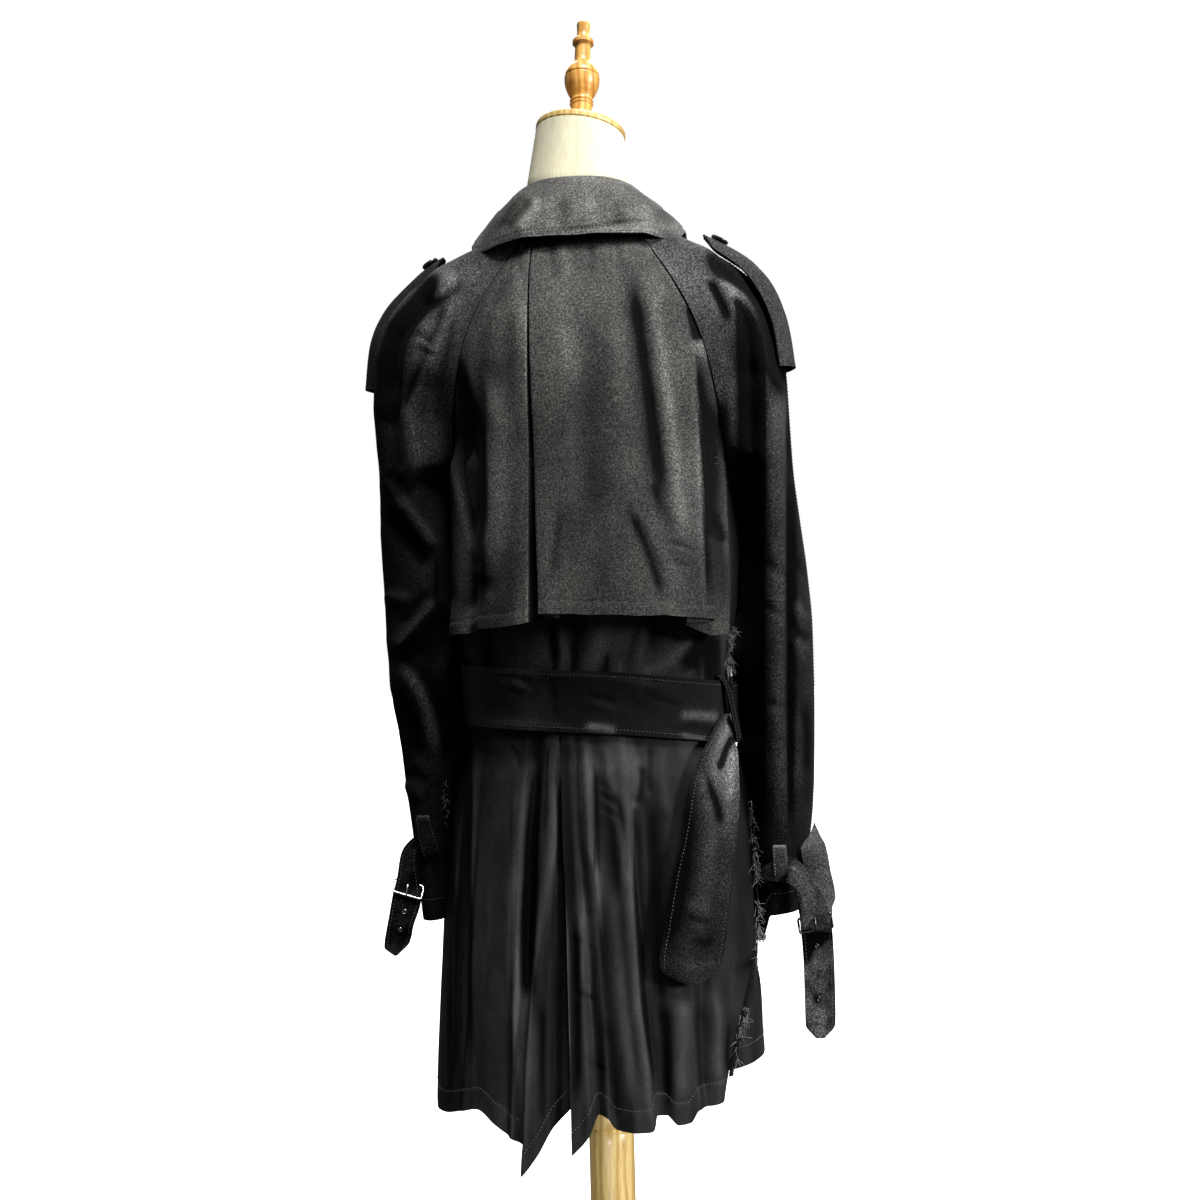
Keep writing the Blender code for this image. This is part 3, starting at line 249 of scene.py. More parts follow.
def smoothLine(places, count):
    places = np.asarray(places, float)
    if len(places) < 3:
        return places[0] + (places[-1] - places[0]) * np.linspace(0, 1, count)[:, None]
    reach = runLengths(places)
    rows = {"t": reach, **dict(enumerate(places.T))}
    at = np.linspace(0, reach[-1], count)
    return np.stack([read(rows, k, at) for k in range(places.shape[1])], -1)


def foldField(places, folds):
    # a fold is its depth in mm, its width, its lean where it has one (-1 steep on its left going down,
    # 1 steep on its right), then its places
    total = np.zeros(places.shape[:-1])
    for depth, width, *line in folds:
        lean = line.pop(0) if np.isscalar(line[0]) else 0.0
        line = smoothLine(line, 6 * len(line))
        reach, spread = runLengths(line), 3 * width * 1.6
        near = np.all((places > line.min(0) - spread) & (places < line.max(0) + spread), axis=-1)
        if not near.any():
            continue
        here = places[near]
        best, along, aside = np.full(len(here), 1e9), np.zeros(len(here)), np.zeros(len(here))
        for k in range(len(line) - 1):
            run = line[k + 1] - line[k]
            size = max(np.hypot(*run), 1e-9)
            t = np.clip(((here - line[k]) @ run) / size**2, 0, 1)
            gap = here - (line[k] + t[:, None] * run)
            far = np.hypot(gap[:, 0], gap[:, 1])
            closer = far < best
            best[closer] = far[closer]
            along[closer] = (reach[k] + t * size)[closer] / reach[-1]
            aside[closer] = (np.sign(run[0] * gap[:, 1] - run[1] * gap[:, 0]))[closer]
        wide = width * np.where(aside > 0, 1 + lean * 0.75, 1 - lean * 0.75)
        fade = ease(along / 0.22) * ease((1 - along) / 0.22)
        total[near] += depth * 0.001 * bump(best / wide) * fade
    return total


def rumple(places, size, seed, stretch=1.0):
    # smooth random ups and downs of a size, from -1 to 1
    table = np.random.default_rng(seed).uniform(-1, 1, (61, 67))
    u, v = places[..., 0] / size + 500, places[..., 1] / (size * stretch) + 500
    i, j = np.floor(u).astype(int), np.floor(v).astype(int)
    s, t = ease(u - i), ease(v - j)
    at = lambda a, b: table[(i + a) % 61, (j + b) % 67]
    return mix(mix(at(0, 0), at(1, 0), s), mix(at(0, 1), at(1, 1), s), t)


def rippled(x, size, seed):
    # the same along one line of places, in metres
    return rumple(np.stack([x * 1000, 0 * x], -1), size, seed)


def foldHeights(places, folds, uneven, seed):
    field = foldField(places, folds)
    for k, (size, depth) in enumerate(uneven):
        field = field + rumple(places, size, seed + k, 1.7) * depth * 0.001
    return field


def paintedLightLines(grid, paintedLight):
    # painted highlights (+) and painted shade and shadows (-) as lines on the cloth, placed in the camera's
    # frame
    return foldField(inFrame(grid), paintedLight)


def clothWays(grid):
    # how far each place is along the cloth from its first edge, and over the floor, in mm
    return np.stack([reachOver(grid, 1) * 1000, grid[..., 2] * 1000], -1)


# Cloth: a grid of places becomes a thin wall, and remembers its grid for what is sewn on it

def facing(grid, towards=None):
    # normals on the side that looks a way, or out from the body's axis where no way is given
    normal = np.cross(np.gradient(grid, axis=1), np.gradient(grid, axis=0))
    normal = normal / np.maximum(np.linalg.norm(normal, axis=-1, keepdims=True), 1e-12)
    want = grid * np.array([1.0, 1.0, 0.0]) if towards is None else np.asarray(towards, float)
    return normal if (normal * want).sum() > 0 else -normal


def meshPiece(name, verts, faces, finish, slot, uv=None, sharp=None):
    name = name.replace(" ", "_")
    mesh = bpy.data.meshes.new(name)
    mesh.from_pydata(np.asarray(verts).tolist(), [], faces)
    mesh.validate()
    mesh.shade_smooth()
    if uv is not None:
        layer = mesh.uv_layers.new(name="cloth")
        corners = np.empty(len(mesh.loops), np.int32)
        mesh.loops.foreach_get("vertex_index", corners)
        layer.data.foreach_set("uv", np.asarray(uv)[corners].astype(np.float32).ravel())
    if sharp:
        mesh.set_sharp_from_angle(angle=math.radians(sharp))
    mesh.materials.append(finish)
    piece = added(name, mesh)
    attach(piece, "root")
    return piece


def ringFaces(rings, sides, closed=False):
    # quads from each ring of vertices to the next, and two flat ends where the run isn't closed
    faces = []
    for k in range(rings if closed else rings - 1):
        a, b = k * sides, (k + 1) % rings * sides
        faces += [[a + j, a + (j + 1) % sides, b + (j + 1) % sides, b + j] for j in range(sides)]
    if not closed:
        faces += [list(range(sides))[::-1], [(rings - 1) * sides + j for j in range(sides)]]
    return faces


def clothPiece(name, grid, normal, wall, finish, slot, node=None, wear=0.0, faded=0.0):
    down, across = grid.shape[:2]
    rest = down * across
    index = np.arange(rest).reshape(down, across)
    quads = np.stack([index[:-1, :-1], index[:-1, 1:], index[1:, 1:], index[1:, :-1]], -1).reshape(-1, 4)
    edges = np.concatenate([np.stack(ends, -1) for ends in (
        (index[0, :-1], index[0, 1:]), (index[-1, 1:], index[-1, :-1]),
        (index[1:, 0], index[:-1, 0]), (index[:-1, -1], index[1:, -1]))])
    if np.cross(grid[0, 1] - grid[0, 0], grid[1, 0] - grid[0, 0]) @ normal[0, 0] < 0:
        quads, edges = quads[:, ::-1], edges[:, ::-1]
    rim = np.stack([edges[:, 1], edges[:, 0], edges[:, 0] + rest, edges[:, 1] + rest], -1)
    faces = np.concatenate([quads, quads[:, ::-1] + rest, rim]).tolist()
    verts = np.concatenate([grid + normal * wall / 2, grid - normal * wall / 2]).reshape(-1, 3)
    widths, lengths = reachOver(grid, 1), reachOver(grid, 0)
    uv = np.stack([widths - widths[:, across // 2][:, None], lengths], -1).reshape(-1, 2)
    piece = meshPiece(name, verts, faces, finish, slot, np.concatenate([uv, uv]), sharp=62)
    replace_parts(piece, node or name.replace(" ", "_"))
    # the cloth keeps its painted shading (painted shade in troughs and painted shadows, painted highlights on
    # ridges) and its painted light level
    for key, outer, inner in (("wear", np.clip(wear / fullShading, -1, 1), 0.0), ("faded", faded, faded)):
        values = [np.broadcast_to(side, (down, across)).ravel() for side in (outer, inner)]
        layer = piece.data.attributes.new(key, "FLOAT", "POINT")
        layer.data.foreach_set("value", np.concatenate(values).astype(np.float32))
    wide, long = widths[:, -1].mean(), lengths[-1].mean()
    print(f"  {name}: {len(faces)} faces, {wide:.3f} x {long:.3f} m", flush=True)
    return piece


# Sewing lines and loose threads, joined into one mesh for each piece

def alongGrid(grid, normal, rows, columns, out):
    # places on a grid at row and column numbers that may lie between its own
    rows, columns = np.broadcast_arrays(np.asarray(rows, float), np.asarray(columns, float))
    i = np.clip(np.floor(rows).astype(int), 0, grid.shape[0] - 2)
    j = np.clip(np.floor(columns).astype(int), 0, grid.shape[1] - 2)
    s, t = (rows - i)[..., None], (columns - j)[..., None]

    def at(field):
        return mix(mix(field[i, j], field[i + 1, j], s), mix(field[i, j + 1], field[i + 1, j + 1], s), t)

    away = at(normal)
    away /= np.maximum(np.linalg.norm(away, axis=-1, keepdims=True), 1e-9)
    return at(grid) + away * out, away


def stitchRow(points, away, long=0.0026, gap=0.0013, thick=0.00042):
    # short raised stitches along a line, each a spindle of three square rings
    reach, spindle = runLengths(points), ringFaces(3, 4)
    verts, faces = [], []

    def along(line, at):
        return np.array([np.interp(at, reach, line[:, k]) for k in range(3)])

    for start in np.arange(gap, reach[-1] - long, long + gap):
        ends = [along(points, start + long * t) for t in (0, 0.5, 1)]
        up = along(away, start + long / 2)
        run = ends[2] - ends[0]
        side = np.cross(run / max(np.linalg.norm(run), 1e-9), up)
        faces += [[len(verts) + k for k in face] for face in spindle]
        for place, lift, wide in zip(ends, (-0.4, 0.9, -0.4), (0.5, 1.0, 0.5)):
            for a, b in ((-wide, 0), (0, wide), (wide, 0), (0, -wide)):
                verts.append(place + side * a * thick + up * (b + lift) * thick)
    return verts, faces


def joined(name, parts, finish, slot):
    verts, faces = [], []
    for someVerts, someFaces in parts:
        first = len(verts)
        verts += list(someVerts)
        faces += [[first + k for k in face] for face in someFaces]
    print(f"  {name}: {len(faces)} faces", flush=True)
    return meshPiece(name, verts, faces, finish, slot)


def tube(points, radius, sides=5, closed=False):
    points = np.asarray(points, float)
    run = np.roll(points, -1, 0) - np.roll(points, 1, 0) if closed else np.gradient(points, axis=0)
    run /= np.maximum(np.linalg.norm(run, axis=1, keepdims=True), 1e-12)
    aside = np.cross(run[0], [0.31, 0.22, 0.93])
    turns = [math.tau * j / sides for j in range(sides)]
    verts = []
    for place, way, wide in zip(points, run, np.broadcast_to(radius, len(points))):
        aside = aside - way * (aside @ way)
        aside /= np.linalg.norm(aside)
        other = np.cross(way, aside)
        verts += [place + (aside * math.cos(t) + other * math.sin(t)) * wide for t in turns]
    return verts, ringFaces(len(points), sides, closed)


def looseThreads(anchors, ways, seed, each, long):
    rng = np.random.default_rng(seed)
    steps = np.linspace(0, 1, 7)[:, None]
    parts = []
    for anchor, way in zip(anchors, ways):
        for _ in range(each):
            start = anchor + rng.normal(0, 0.0012, 3)
            heading = way + rng.normal(0, 0.55, 3)
            heading /= np.linalg.norm(heading)
            size = long * rng.uniform(0.45, 1.25)
            sag = rng.normal(0, 0.5, 3) * 0.6 + np.array([0, 0, -0.3])
            path = start + heading * steps * size + sag * steps**2 * size
            parts.append(tube(path, 0.00028 * np.linspace(1.0, 0.5, 7), 3))
    return parts


# Finishes

def newFinish(name, sockets):
    finish = bpy.data.materials.new(name)
    finish.use_nodes = True
    shader = finish.node_tree.nodes["Principled BSDF"]
    for socket, value in sockets.items():
        shader.inputs[socket].default_value = value
    return finish, shader


def addNode(finish, kind, inputs=None, **settings):
    made = finish.node_tree.nodes.new("ShaderNode" + kind)
    for key, value in settings.items():
        setattr(made, key, value)
    for socket, value in (inputs or {}).items():
        if isinstance(value, bpy.types.NodeSocket):
            finish.node_tree.links.new(value, made.inputs[socket])
        else:
            made.inputs[socket].default_value = value
    return made


def spread(finish, source, stretch, turn=(0, 0, 0)):
    place = addNode(finish, "TexCoord").outputs[source]
    return addNode(finish, "Mapping", {"Vector": place, "Scale": stretch, "Rotation": turn}).outputs[0]


def grain(finish, scale, detail=2.0, stretch=(1, 1, 1), source="Object", distortion=0.0):
    vector = spread(finish, source, stretch)
    inputs = {"Vector": vector, "Scale": scale, "Detail": detail, "Distortion": distortion}
    return addNode(finish, "TexNoise", inputs).outputs["Fac"]


def waves(finish, vector, scale, distortion, detail=2.0, fineness=1.0, across="X"):
    inputs = {"Vector": vector, "Scale": scale, "Distortion": distortion}
    inputs |= {"Detail": detail, "Detail Scale": fineness}
    return addNode(finish, "TexWave", inputs, bands_direction=across).outputs["Fac"]


def attribute(finish, name):
    return addNode(finish, "Attribute", attribute_name=name).outputs["Fac"]


def ramp(finish, value, *stops):
    made = addNode(finish, "ValToRGB", {"Fac": value})
    first, last = made.color_ramp.elements
    first.position, last.position = stops[0][0], stops[-1][0]
    first.color, last.color = (*stops[0][1], 1), (*stops[-1][1], 1)
    for place, colour in stops[1:-1]:
        made.color_ramp.elements.new(place).color = (*colour, 1)
    return made.outputs["Color"]


def greys(*stops):
    return [(place, (level,) * 3) for place, level in stops]


def multiplied(finish, tone, *others):
    for other in others:
        made = addNode(finish, "Mix", {0: 1.0, 6: tone, 7: other}, data_type="RGBA", blend_type="MULTIPLY")
        tone = made.outputs[2]
    return tone


def sums(finish, how, *inputs):
    return addNode(finish, "Math", dict(enumerate(inputs)), operation=how).outputs[0]


def blended(finish, first, share, second):
    return sums(finish, "MULTIPLY_ADD", first, share, sums(finish, "MULTIPLY", second, 1 - share))


def graded(finish, value, look, places):
    return ramp(finish, value, *zip(places, (look["deep"], look["middle"], look["light"])))


def withPaintedShading(finish, tone, darkest, palest):
    # painted shading: fold troughs and painted shadows are darker, ridges and painted highlights paler
    level = sums(finish, "MULTIPLY_ADD", attribute(finish, "wear"), 0.5, 0.5)
    return multiplied(finish, tone, ramp(finish, level, *greys((0.0, darkest), (0.5, 1.0), (1.0, palest))))


def bumped(finish, shader, *heights):
    inputs = {}
    for height, distance, strength in heights:
        inputs |= {"Height": height, "Distance": distance, "Strength": strength}
        inputs["Normal"] = addNode(finish, "Bump", inputs).outputs["Normal"]
    finish.node_tree.links.new(inputs["Normal"], shader.inputs["Normal"])


def paint(finish, shader, colour):
    finish.node_tree.links.new(colour, shader.inputs["Base Color"])


def makeGabardine(name, look):
    finish, shader = newFinish(name, {
        "Roughness": look["roughness"], "Sheen Weight": look["sheen"], "Sheen Roughness": 0.45,
        "Specular IOR Level": look["shine"]})
    fuzz, speck = grain(finish, 620.0, 3.0), grain(finish, 1500.0, 1.0)
    patches = grain(finish, 26.0, 4.0, (1, 1, 0.55))
    slubs = grain(finish, 300.0, 2.0, (1.0, 1.0, 0.14), "UV")
    tone = graded(finish, blended(finish, speck, 0.35, fuzz), look, (0.37, 0.5, 0.64))
    mottle = ramp(finish, patches, (0.32, (0.74, 0.74, 0.75)), (0.68, (1.26, 1.25, 1.22)))
    lines = ramp(finish, slubs, *greys((0.36, 0.86), (0.64, 1.14)))
    # painted light: a level per place makes tops and lit sides paler and shaded sides darker
    paintedLit = ramp(finish, attribute(finish, "faded"), *greys((0.0, 0.16), (0.8, 1.55), (1.0, 2.4)))
    tone = withPaintedShading(finish, multiplied(finish, tone, mottle, lines), 0.05, 2.1)
    paint(finish, shader, multiplied(finish, tone, paintedLit))
    twill = waves(finish, spread(finish, "UV", (1, 1, 1), (0, 0, math.radians(58))), 260.0, 1.6)
    lumps = grain(finish, 90.0, 3.0)
    bumped(finish, shader, (lumps, 0.0012, 0.35), (fuzz, 0.0005, 0.55), (twill, 0.0002, 0.3))
    return finish


capeLook = dict(
    deep=(0.02, 0.02, 0.02), middle=(0.056, 0.055, 0.053), light=(0.15, 0.148, 0.14),
    roughness=0.88, sheen=0.02, shine=0.05)
coatLook = dict(
    deep=(0.006, 0.006, 0.007), middle=(0.02, 0.0205, 0.021), light=(0.066, 0.067, 0.067),
    roughness=0.85, sheen=0.01, shine=0.03)
sashLook = dict(
    deep=(0.008, 0.0085, 0.0085), middle=(0.0135, 0.0142, 0.0142), light=(0.023, 0.024, 0.024),
    roughness=0.78, sheen=0.01, shine=0.06)
satinLook = dict(deep=(0.004, 0.0042, 0.004), middle=(0.0095, 0.0098, 0.0093), light=(0.021, 0.0212, 0.02))


def makeSatin():
    finish, shader = newFinish("black satin", {"Roughness": 0.56, "Specular IOR Level": 0.08})
    cloud, fleck = grain(finish, 30.0, 4.0, (1, 1, 0.4)), grain(finish, 900.0, 2.0)
    tone = graded(finish, blended(finish, fleck, 0.45, cloud), satinLook, (0.32, 0.5, 0.68))
    # painted shading: darker in fold troughs and painted shadows, paler on ridges and painted highlights
    paint(finish, shader, withPaintedShading(finish, tone, 0.08, 2.5))
    creased = grain(finish, 55.0, 5.0, (1, 1, 0.35), distortion=0.6)
    bumped(finish, shader, (creased, 0.003, 0.35), (grain(finish, 700.0, 2.0), 0.0003, 0.35))
    return finish


def makeLinen():
    finish, shader = newFinish("cream linen", {"Roughness": 0.92, "Sheen Weight": 0.15})
    place = spread(finish, "UV", (1, 1, 1))
    weave = sums(finish, "MAXIMUM", *(waves(finish, place, 330.0, 1.2, across=way) for way in ("X", "Y")))
    slubs = grain(finish, 420.0, 3.0, (1.0, 0.12, 1.0), "UV")
    tone = ramp(finish, slubs, (0.3, (0.74, 0.68, 0.45)), (0.6, (0.86, 0.82, 0.59)))
    shade = ramp(finish, weave, (0.2, (0.9, 0.89, 0.85)), (0.9, (1.0, 1.0, 1.0)))
    paint(finish, shader, multiplied(finish, tone, shade))
    bumped(finish, shader, (weave, 0.0003, 0.5), (slubs, 0.0004, 0.4))
    return finish


def makeWood(name, look):
    finish, shader = newFinish(name, {
        "Roughness": look["roughness"], "Coat Weight": 0.25, "Coat Roughness": 0.22})
    figure = grain(finish, 24.0, 3.0, (1, 1, 0.1), distortion=0.4)
    rings = waves(finish, spread(finish, "Object", (1.0, 1.0, 0.12)), 38.0, 7.0, 3.0, 1.5)
    pores = grain(finish, 700.0, 2.0, (1, 1, 0.05))
    tone = graded(finish, blended(finish, rings, 0.45, figure), look, (0.25, 0.5, 0.75))
    flecks = ramp(finish, pores, (0.32, (0.78, 0.72, 0.62)), (0.44, (1.0, 1.0, 1.0)))
    paint(finish, shader, multiplied(finish, tone, flecks))
    bumped(finish, shader, (pores, 0.0003, 0.25), (rings, 0.0002, 0.15))
    return finish


turnedLook = dict(
    deep=(0.44, 0.185, 0.036), middle=(0.64, 0.31, 0.068), light=(0.74, 0.41, 0.105), roughness=0.34)
paleLook = dict(
    deep=(0.54, 0.35, 0.11), middle=(0.69, 0.485, 0.17), light=(0.77, 0.59, 0.245), roughness=0.38)


def makeHorn():
    finish, shader = newFinish("black horn", {"Roughness": 0.28, "Coat Weight": 0.3, "Coat Roughness": 0.12})
    swirl = grain(finish, 120.0, 4.0, distortion=1.5)
    paint(finish, shader, ramp(finish, swirl, (0.4, (0.006, 0.006, 0.006)), (0.62, (0.034, 0.027, 0.022))))
    bumped(finish, shader, (grain(finish, 500.0, 2.0), 0.0002, 0.3))
    return finish


def makeMetal(name, dark, light):
    finish, shader = newFinish(name, {"Roughness": 0.26, "Metallic": 1.0})
    scuffs = grain(finish, 800.0, 3.0, (1, 1, 0.3))
    paint(finish, shader, ramp(finish, scuffs, (0.35, dark), (0.6, light)))
    bumped(finish, shader, (scuffs, 0.0001, 0.4))
    return finish


def makeThread(name, dark, light):
    finish, shader = newFinish(name, {"Roughness": 0.8, "Sheen Weight": 0.3})
    paint(finish, shader, ramp(finish, grain(finish, 900.0, 2.0), (0.35, dark), (0.65, light)))
    bumped(finish, shader, (grain(finish, 1400.0, 2.0), 0.0002, 0.6))
    return finish


capeCloth = makeGabardine("weathered charcoal gabardine", capeLook)
coatCloth = makeGabardine("black gabardine", coatLook)
beltCloth = makeGabardine("belt gabardine", sashLook)
satin = makeSatin()
linen = makeLinen()
turnedWood = makeWood("honey wood", turnedLook)
paleWood = makeWood("pale wood", paleLook)
horn = makeHorn()
silver = makeMetal("silver wire", (0.5, 0.5, 0.49), (0.8, 0.79, 0.77))
# the same silver wire, painted near black for the dark shade and reflection on the right cuff's buckle and
# eyelets
shadedSilver = makeMetal("silver wire shaded dark", (0.03, 0.029, 0.027), (0.11, 0.105, 0.09))
satinThread = makeThread("satin thread", (0.002, 0.002, 0.002), (0.007, 0.007, 0.007))
sewingThread = makeThread("sewing thread", (0.004, 0.004, 0.0045), (0.014, 0.014, 0.014))
rawThread = makeThread("raw thread ends", (0.016, 0.016, 0.016), (0.26, 0.26, 0.25))
print("finishes made")


# Shared steps for a cloth piece

def smoothed(grid, times):
    for _ in range(times):
        inner = (grid[:-2] + grid[2:] + 2 * grid[1:-1]) / 4
        grid = np.concatenate([grid[:1], inner, grid[-1:]])
    return grid


def edgeRun(grid, normal, edge, inset, out, first=0.0, last=1.0):
    # a line at an inset from one edge of a grid, as places and outward ways
    level, far = edge in ("top", "bottom"), edge in ("bottom", "right")
    turned = grid if level else grid.swapaxes(0, 1)
    reach = reachOver(turned[::-1] if far else turned, 0)
    most, count = reach.shape
    picks = np.linspace(first * (count - 1), last * (count - 1), count)
    whole = np.clip(np.round(picks).astype(int), 0, count - 1)
    into = np.array([np.interp(inset, reach[:, k], np.arange(most)) for k in whole])
    into = most - 1 - into if far else into
    return alongGrid(grid, normal, *((into, picks) if level else (picks, into)), out)


def stitched(name, grid, normal, wall, runs, slot="gabardine", thread=None):
    # a run is an edge, how far in from it, and the shares of the edge where the sewing starts and ends
    rows = [stitchRow(*edgeRun(grid, normal, edge, inset, wall / 2, *ends)) for edge, inset, *ends in runs]
    return joined(name + " stitching", rows, thread or sewingThread, slot)


def sewnCloth(name, grid, normal, flat, held, restsOn, runs=(), wall=clothWall, finish=None, slot="gabardine",
              node=None, thread=None, **looks):
    piece = clothPiece(name, grid, normal, wall, finish or coatCloth, slot, node, **looks)
    threads = [stitched(name, grid, normal, wall, runs, slot, thread)] if runs else []
    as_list(restsOn)


def bothEdges(inset, *ends):
    return [(edge, inset, *ends) for edge in ("left", "right")]


def halfTurn(first, last, count=5):
    # places round a folded edge: how far out (0 to 1), and the layer there, between the first and the last
    turns = np.linspace(0, math.pi, count + 2)[1:-1]
    return [(math.sin(t), mix(first, last, (1 - math.cos(t)) / 2)) for t in turns]


# The dress form: linen cover, cap, finial, post and foot

formShape = rowsOf(
    outlineColumns,
    (0.77, 0.118, 0.09, 0.086, 0.000),
    (0.778, 0.126, 0.098, 0.093, 0.000),
    (0.83, 0.128, 0.098, 0.093, 0.000),
    (0.87, 0.122, 0.091, 0.087, 0.000),
    (0.93, 0.114, 0.084, 0.08, 0.000),
    (1.000, 0.116, 0.087, 0.084, 0.000),
    (1.08, 0.128, 0.097, 0.093, 0.000),
    (1.16, 0.139, 0.106, 0.101, 0.000),
    (1.22, 0.148, 0.108, 0.101, 0.000),
    (1.275, 0.154, 0.102, 0.093, 0.000),
    (1.32, 0.134, 0.09, 0.081, 0.000),
    (1.355, 0.101, 0.074, 0.067, 0.004),
    (1.385, 0.068, 0.06, 0.055, 0.008),
    (1.41, 0.056, 0.054, 0.052, 0.01),
    (1.455, 0.0555, 0.0545, 0.052, 0.01),
)
stand = dict(
    capCentre=(0.0057, 0.0, 1.512), capRadius=0.0497, capThick=0.008, capRim=0.002, capMiddle=0.021,
    leanForward=13.0, leanRight=7.0, finialLean=1.3,
    postRadius=0.0245, groove=0.4245, footRadius=0.19, footThick=0.024,
    finial=(
        (0.0205, 0.000), (0.021, 0.005), (0.015, 0.011), (0.0118, 0.02), (0.0118, 0.028),
        (0.013, 0.03), (0.0116, 0.032), (0.013, 0.034), (0.0122, 0.036), (0.016, 0.045),
        (0.019, 0.054), (0.0197, 0.0625), (0.018, 0.064), (0.019, 0.0655), (0.0165, 0.073),
        (0.011, 0.08), (0.0092, 0.086), (0.0088, 0.102), (0.0119, 0.1045), (0.0119, 0.108),
        (0.0082, 0.112), (0.007, 0.118), (0.0076, 0.129), (0.005, 0.132)),
)


def turnedPiece(name, profile, place, finish, node, count=0, sides=72, slot="wood", foot=None):
    # a profile of (radius, height) turned round its axis, smoothed to a count of rings where one is given;
    # its first ring is placed by the foot's own turn where it has one
    rings = list(profile)
    if count:
        rows = rowsOf("z radius", *[(z, radius) for radius, z in profile])
        heights = np.unique(np.concatenate([np.linspace(rows["z"][0], rows["z"][-1], count), rows["z"]]))
        rings = [(float(read(rows, "radius", z)), z) for z in heights]
    turns = np.linspace(0, math.tau, sides, endpoint=False)
    verts = []
    for k, (radius, z) in enumerate(rings):
        at = np.array(foot if foot is not None and k == 0 else place)
        ring = np.stack([radius * np.cos(turns), radius * np.sin(turns), 0 * turns + z, 0 * turns + 1], -1)
        verts.append((ring @ at.T)[:, :3])
    piece = meshPiece(name, np.concatenate(verts), ringFaces(len(rings), sides), finish, slot, sharp=38)
    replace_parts(piece, node)


def capPlace(leanRight, lift):
    right = Matrix.Rotation(math.radians(-leanRight), 4, "Y")
    forward = Matrix.Rotation(math.radians(stand["leanForward"]), 4, "X")
    centre, rise = Matrix.Translation(Vector(stand["capCentre"])), Matrix.Translation((0.0, 0.0, lift))
    return centre @ right @ forward @ rise


def roundEdge(radius, rim, first, last, count=7):
    # a rounded rim from its first turn to its last: how far out from the axis, and how far up
    return [(radius - rim + rim * math.cos(t), rim * math.sin(t)) for t in np.linspace(first, last, count)]


def makeStand():
    half, radius, rim = stand["capThick"] / 2, stand["capRadius"], stand["capRim"]
    lift, leaning = half + hairGap, stand["leanRight"]
    under = [(out, -half + rim - up) for out, up in roundEdge(radius, rim, math.pi / 2, 0)]
    over = [(out, half - rim + up) for out, up in roundEdge(radius, rim, 0, math.pi / 2)]
    centre = [(stand["capMiddle"], half + 0.0001)]
    turnedPiece("neck cap", under + over + centre, capPlace(leaning, 0.0), paleWood, "neck_cap", sides=96)
    place = capPlace(stand["finialLean"], lift)
    foot = capPlace(leaning, lift)
    turnedPiece("turned finial", stand["finial"], place, turnedWood, "finial", 150, 64, foot=foot)
    thick, wide, groove, post = (stand[k] for k in ("footThick", "footRadius", "groove", "postRadius"))
    boss = thick + 0.012
    profile = (
        (post - 0.0015, boss + hairGap), (post, boss + 0.002), (post, groove - 0.0045),
        (post - 0.0008, groove - 0.0028), (post - 0.003, groove), (post - 0.0012, groove + 0.0022),
        (post - 0.0005, groove + 0.0032), (post - 0.0005, 0.7697))
    turnedPiece("post", profile, Matrix(), paleWood, "post", 60)
    profile = [(wide - 0.005, 0.0), (wide - 0.001, 0.0015), (wide, 0.004), (wide, thick - 0.011)]
    profile += [(out, thick - 0.01 + up * 0.99) for out, up in roundEdge(wide, 0.01, 0.2, 1.5, 8)]
    profile += [(0.056, thick + hairGap), (0.05, thick + 0.003), (0.046, thick + 0.008), (0.044, boss)]
    turnedPiece("round foot", profile, Matrix(), paleWood, "foot", sides=128)


def makeForm():
    sides = 120
    levels = np.concatenate([np.linspace(0.77, 0.778, 6), np.linspace(0.785, 1.455, 110)])
    angles = np.linspace(0, 360, sides, endpoint=False)
    grid = outline(formShape, levels[:, None], angles[None, :])
    top = np.array(capPlace(stand["leanRight"], -stand["capThick"] / 2 - hairGap))
    radius, turns = stand["capRadius"] - 0.0005, np.radians(angles)
    ring = np.stack([radius * np.sin(turns), radius * np.cos(turns), 0 * turns, 0 * turns + 1], -1)
    ring = (ring @ top.T)[:, :3]
    neck = [mix(grid[-1], ring, ease(t) * 0.5 + t * 0.5) for t in np.linspace(0, 1, 12)[1:]]
    grid = np.concatenate([grid, np.stack(neck)])
    seam = bump(np.minimum(angles, 360 - angles) / 1.1)  # the cover's centre back seam, sunk a little
    grid = grid - outwards(formShape, grid) * (seam * 0.0006)[None, :, None]
    faces = [face[::-1] for face in ringFaces(len(grid), sides)]
    uv = np.stack([turns * 0.09 + 0 * grid[..., 2], grid[..., 2]], -1).reshape(-1, 2)
    form = meshPiece("linen dress form", grid.reshape(-1, 3), faces, linen, "linen", uv, sharp=50)
    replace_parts(form, "form_body")


makeForm()
makeStand()
print("dress form and stand made")


# The body of the coat: back, fronts, lapels and buttons

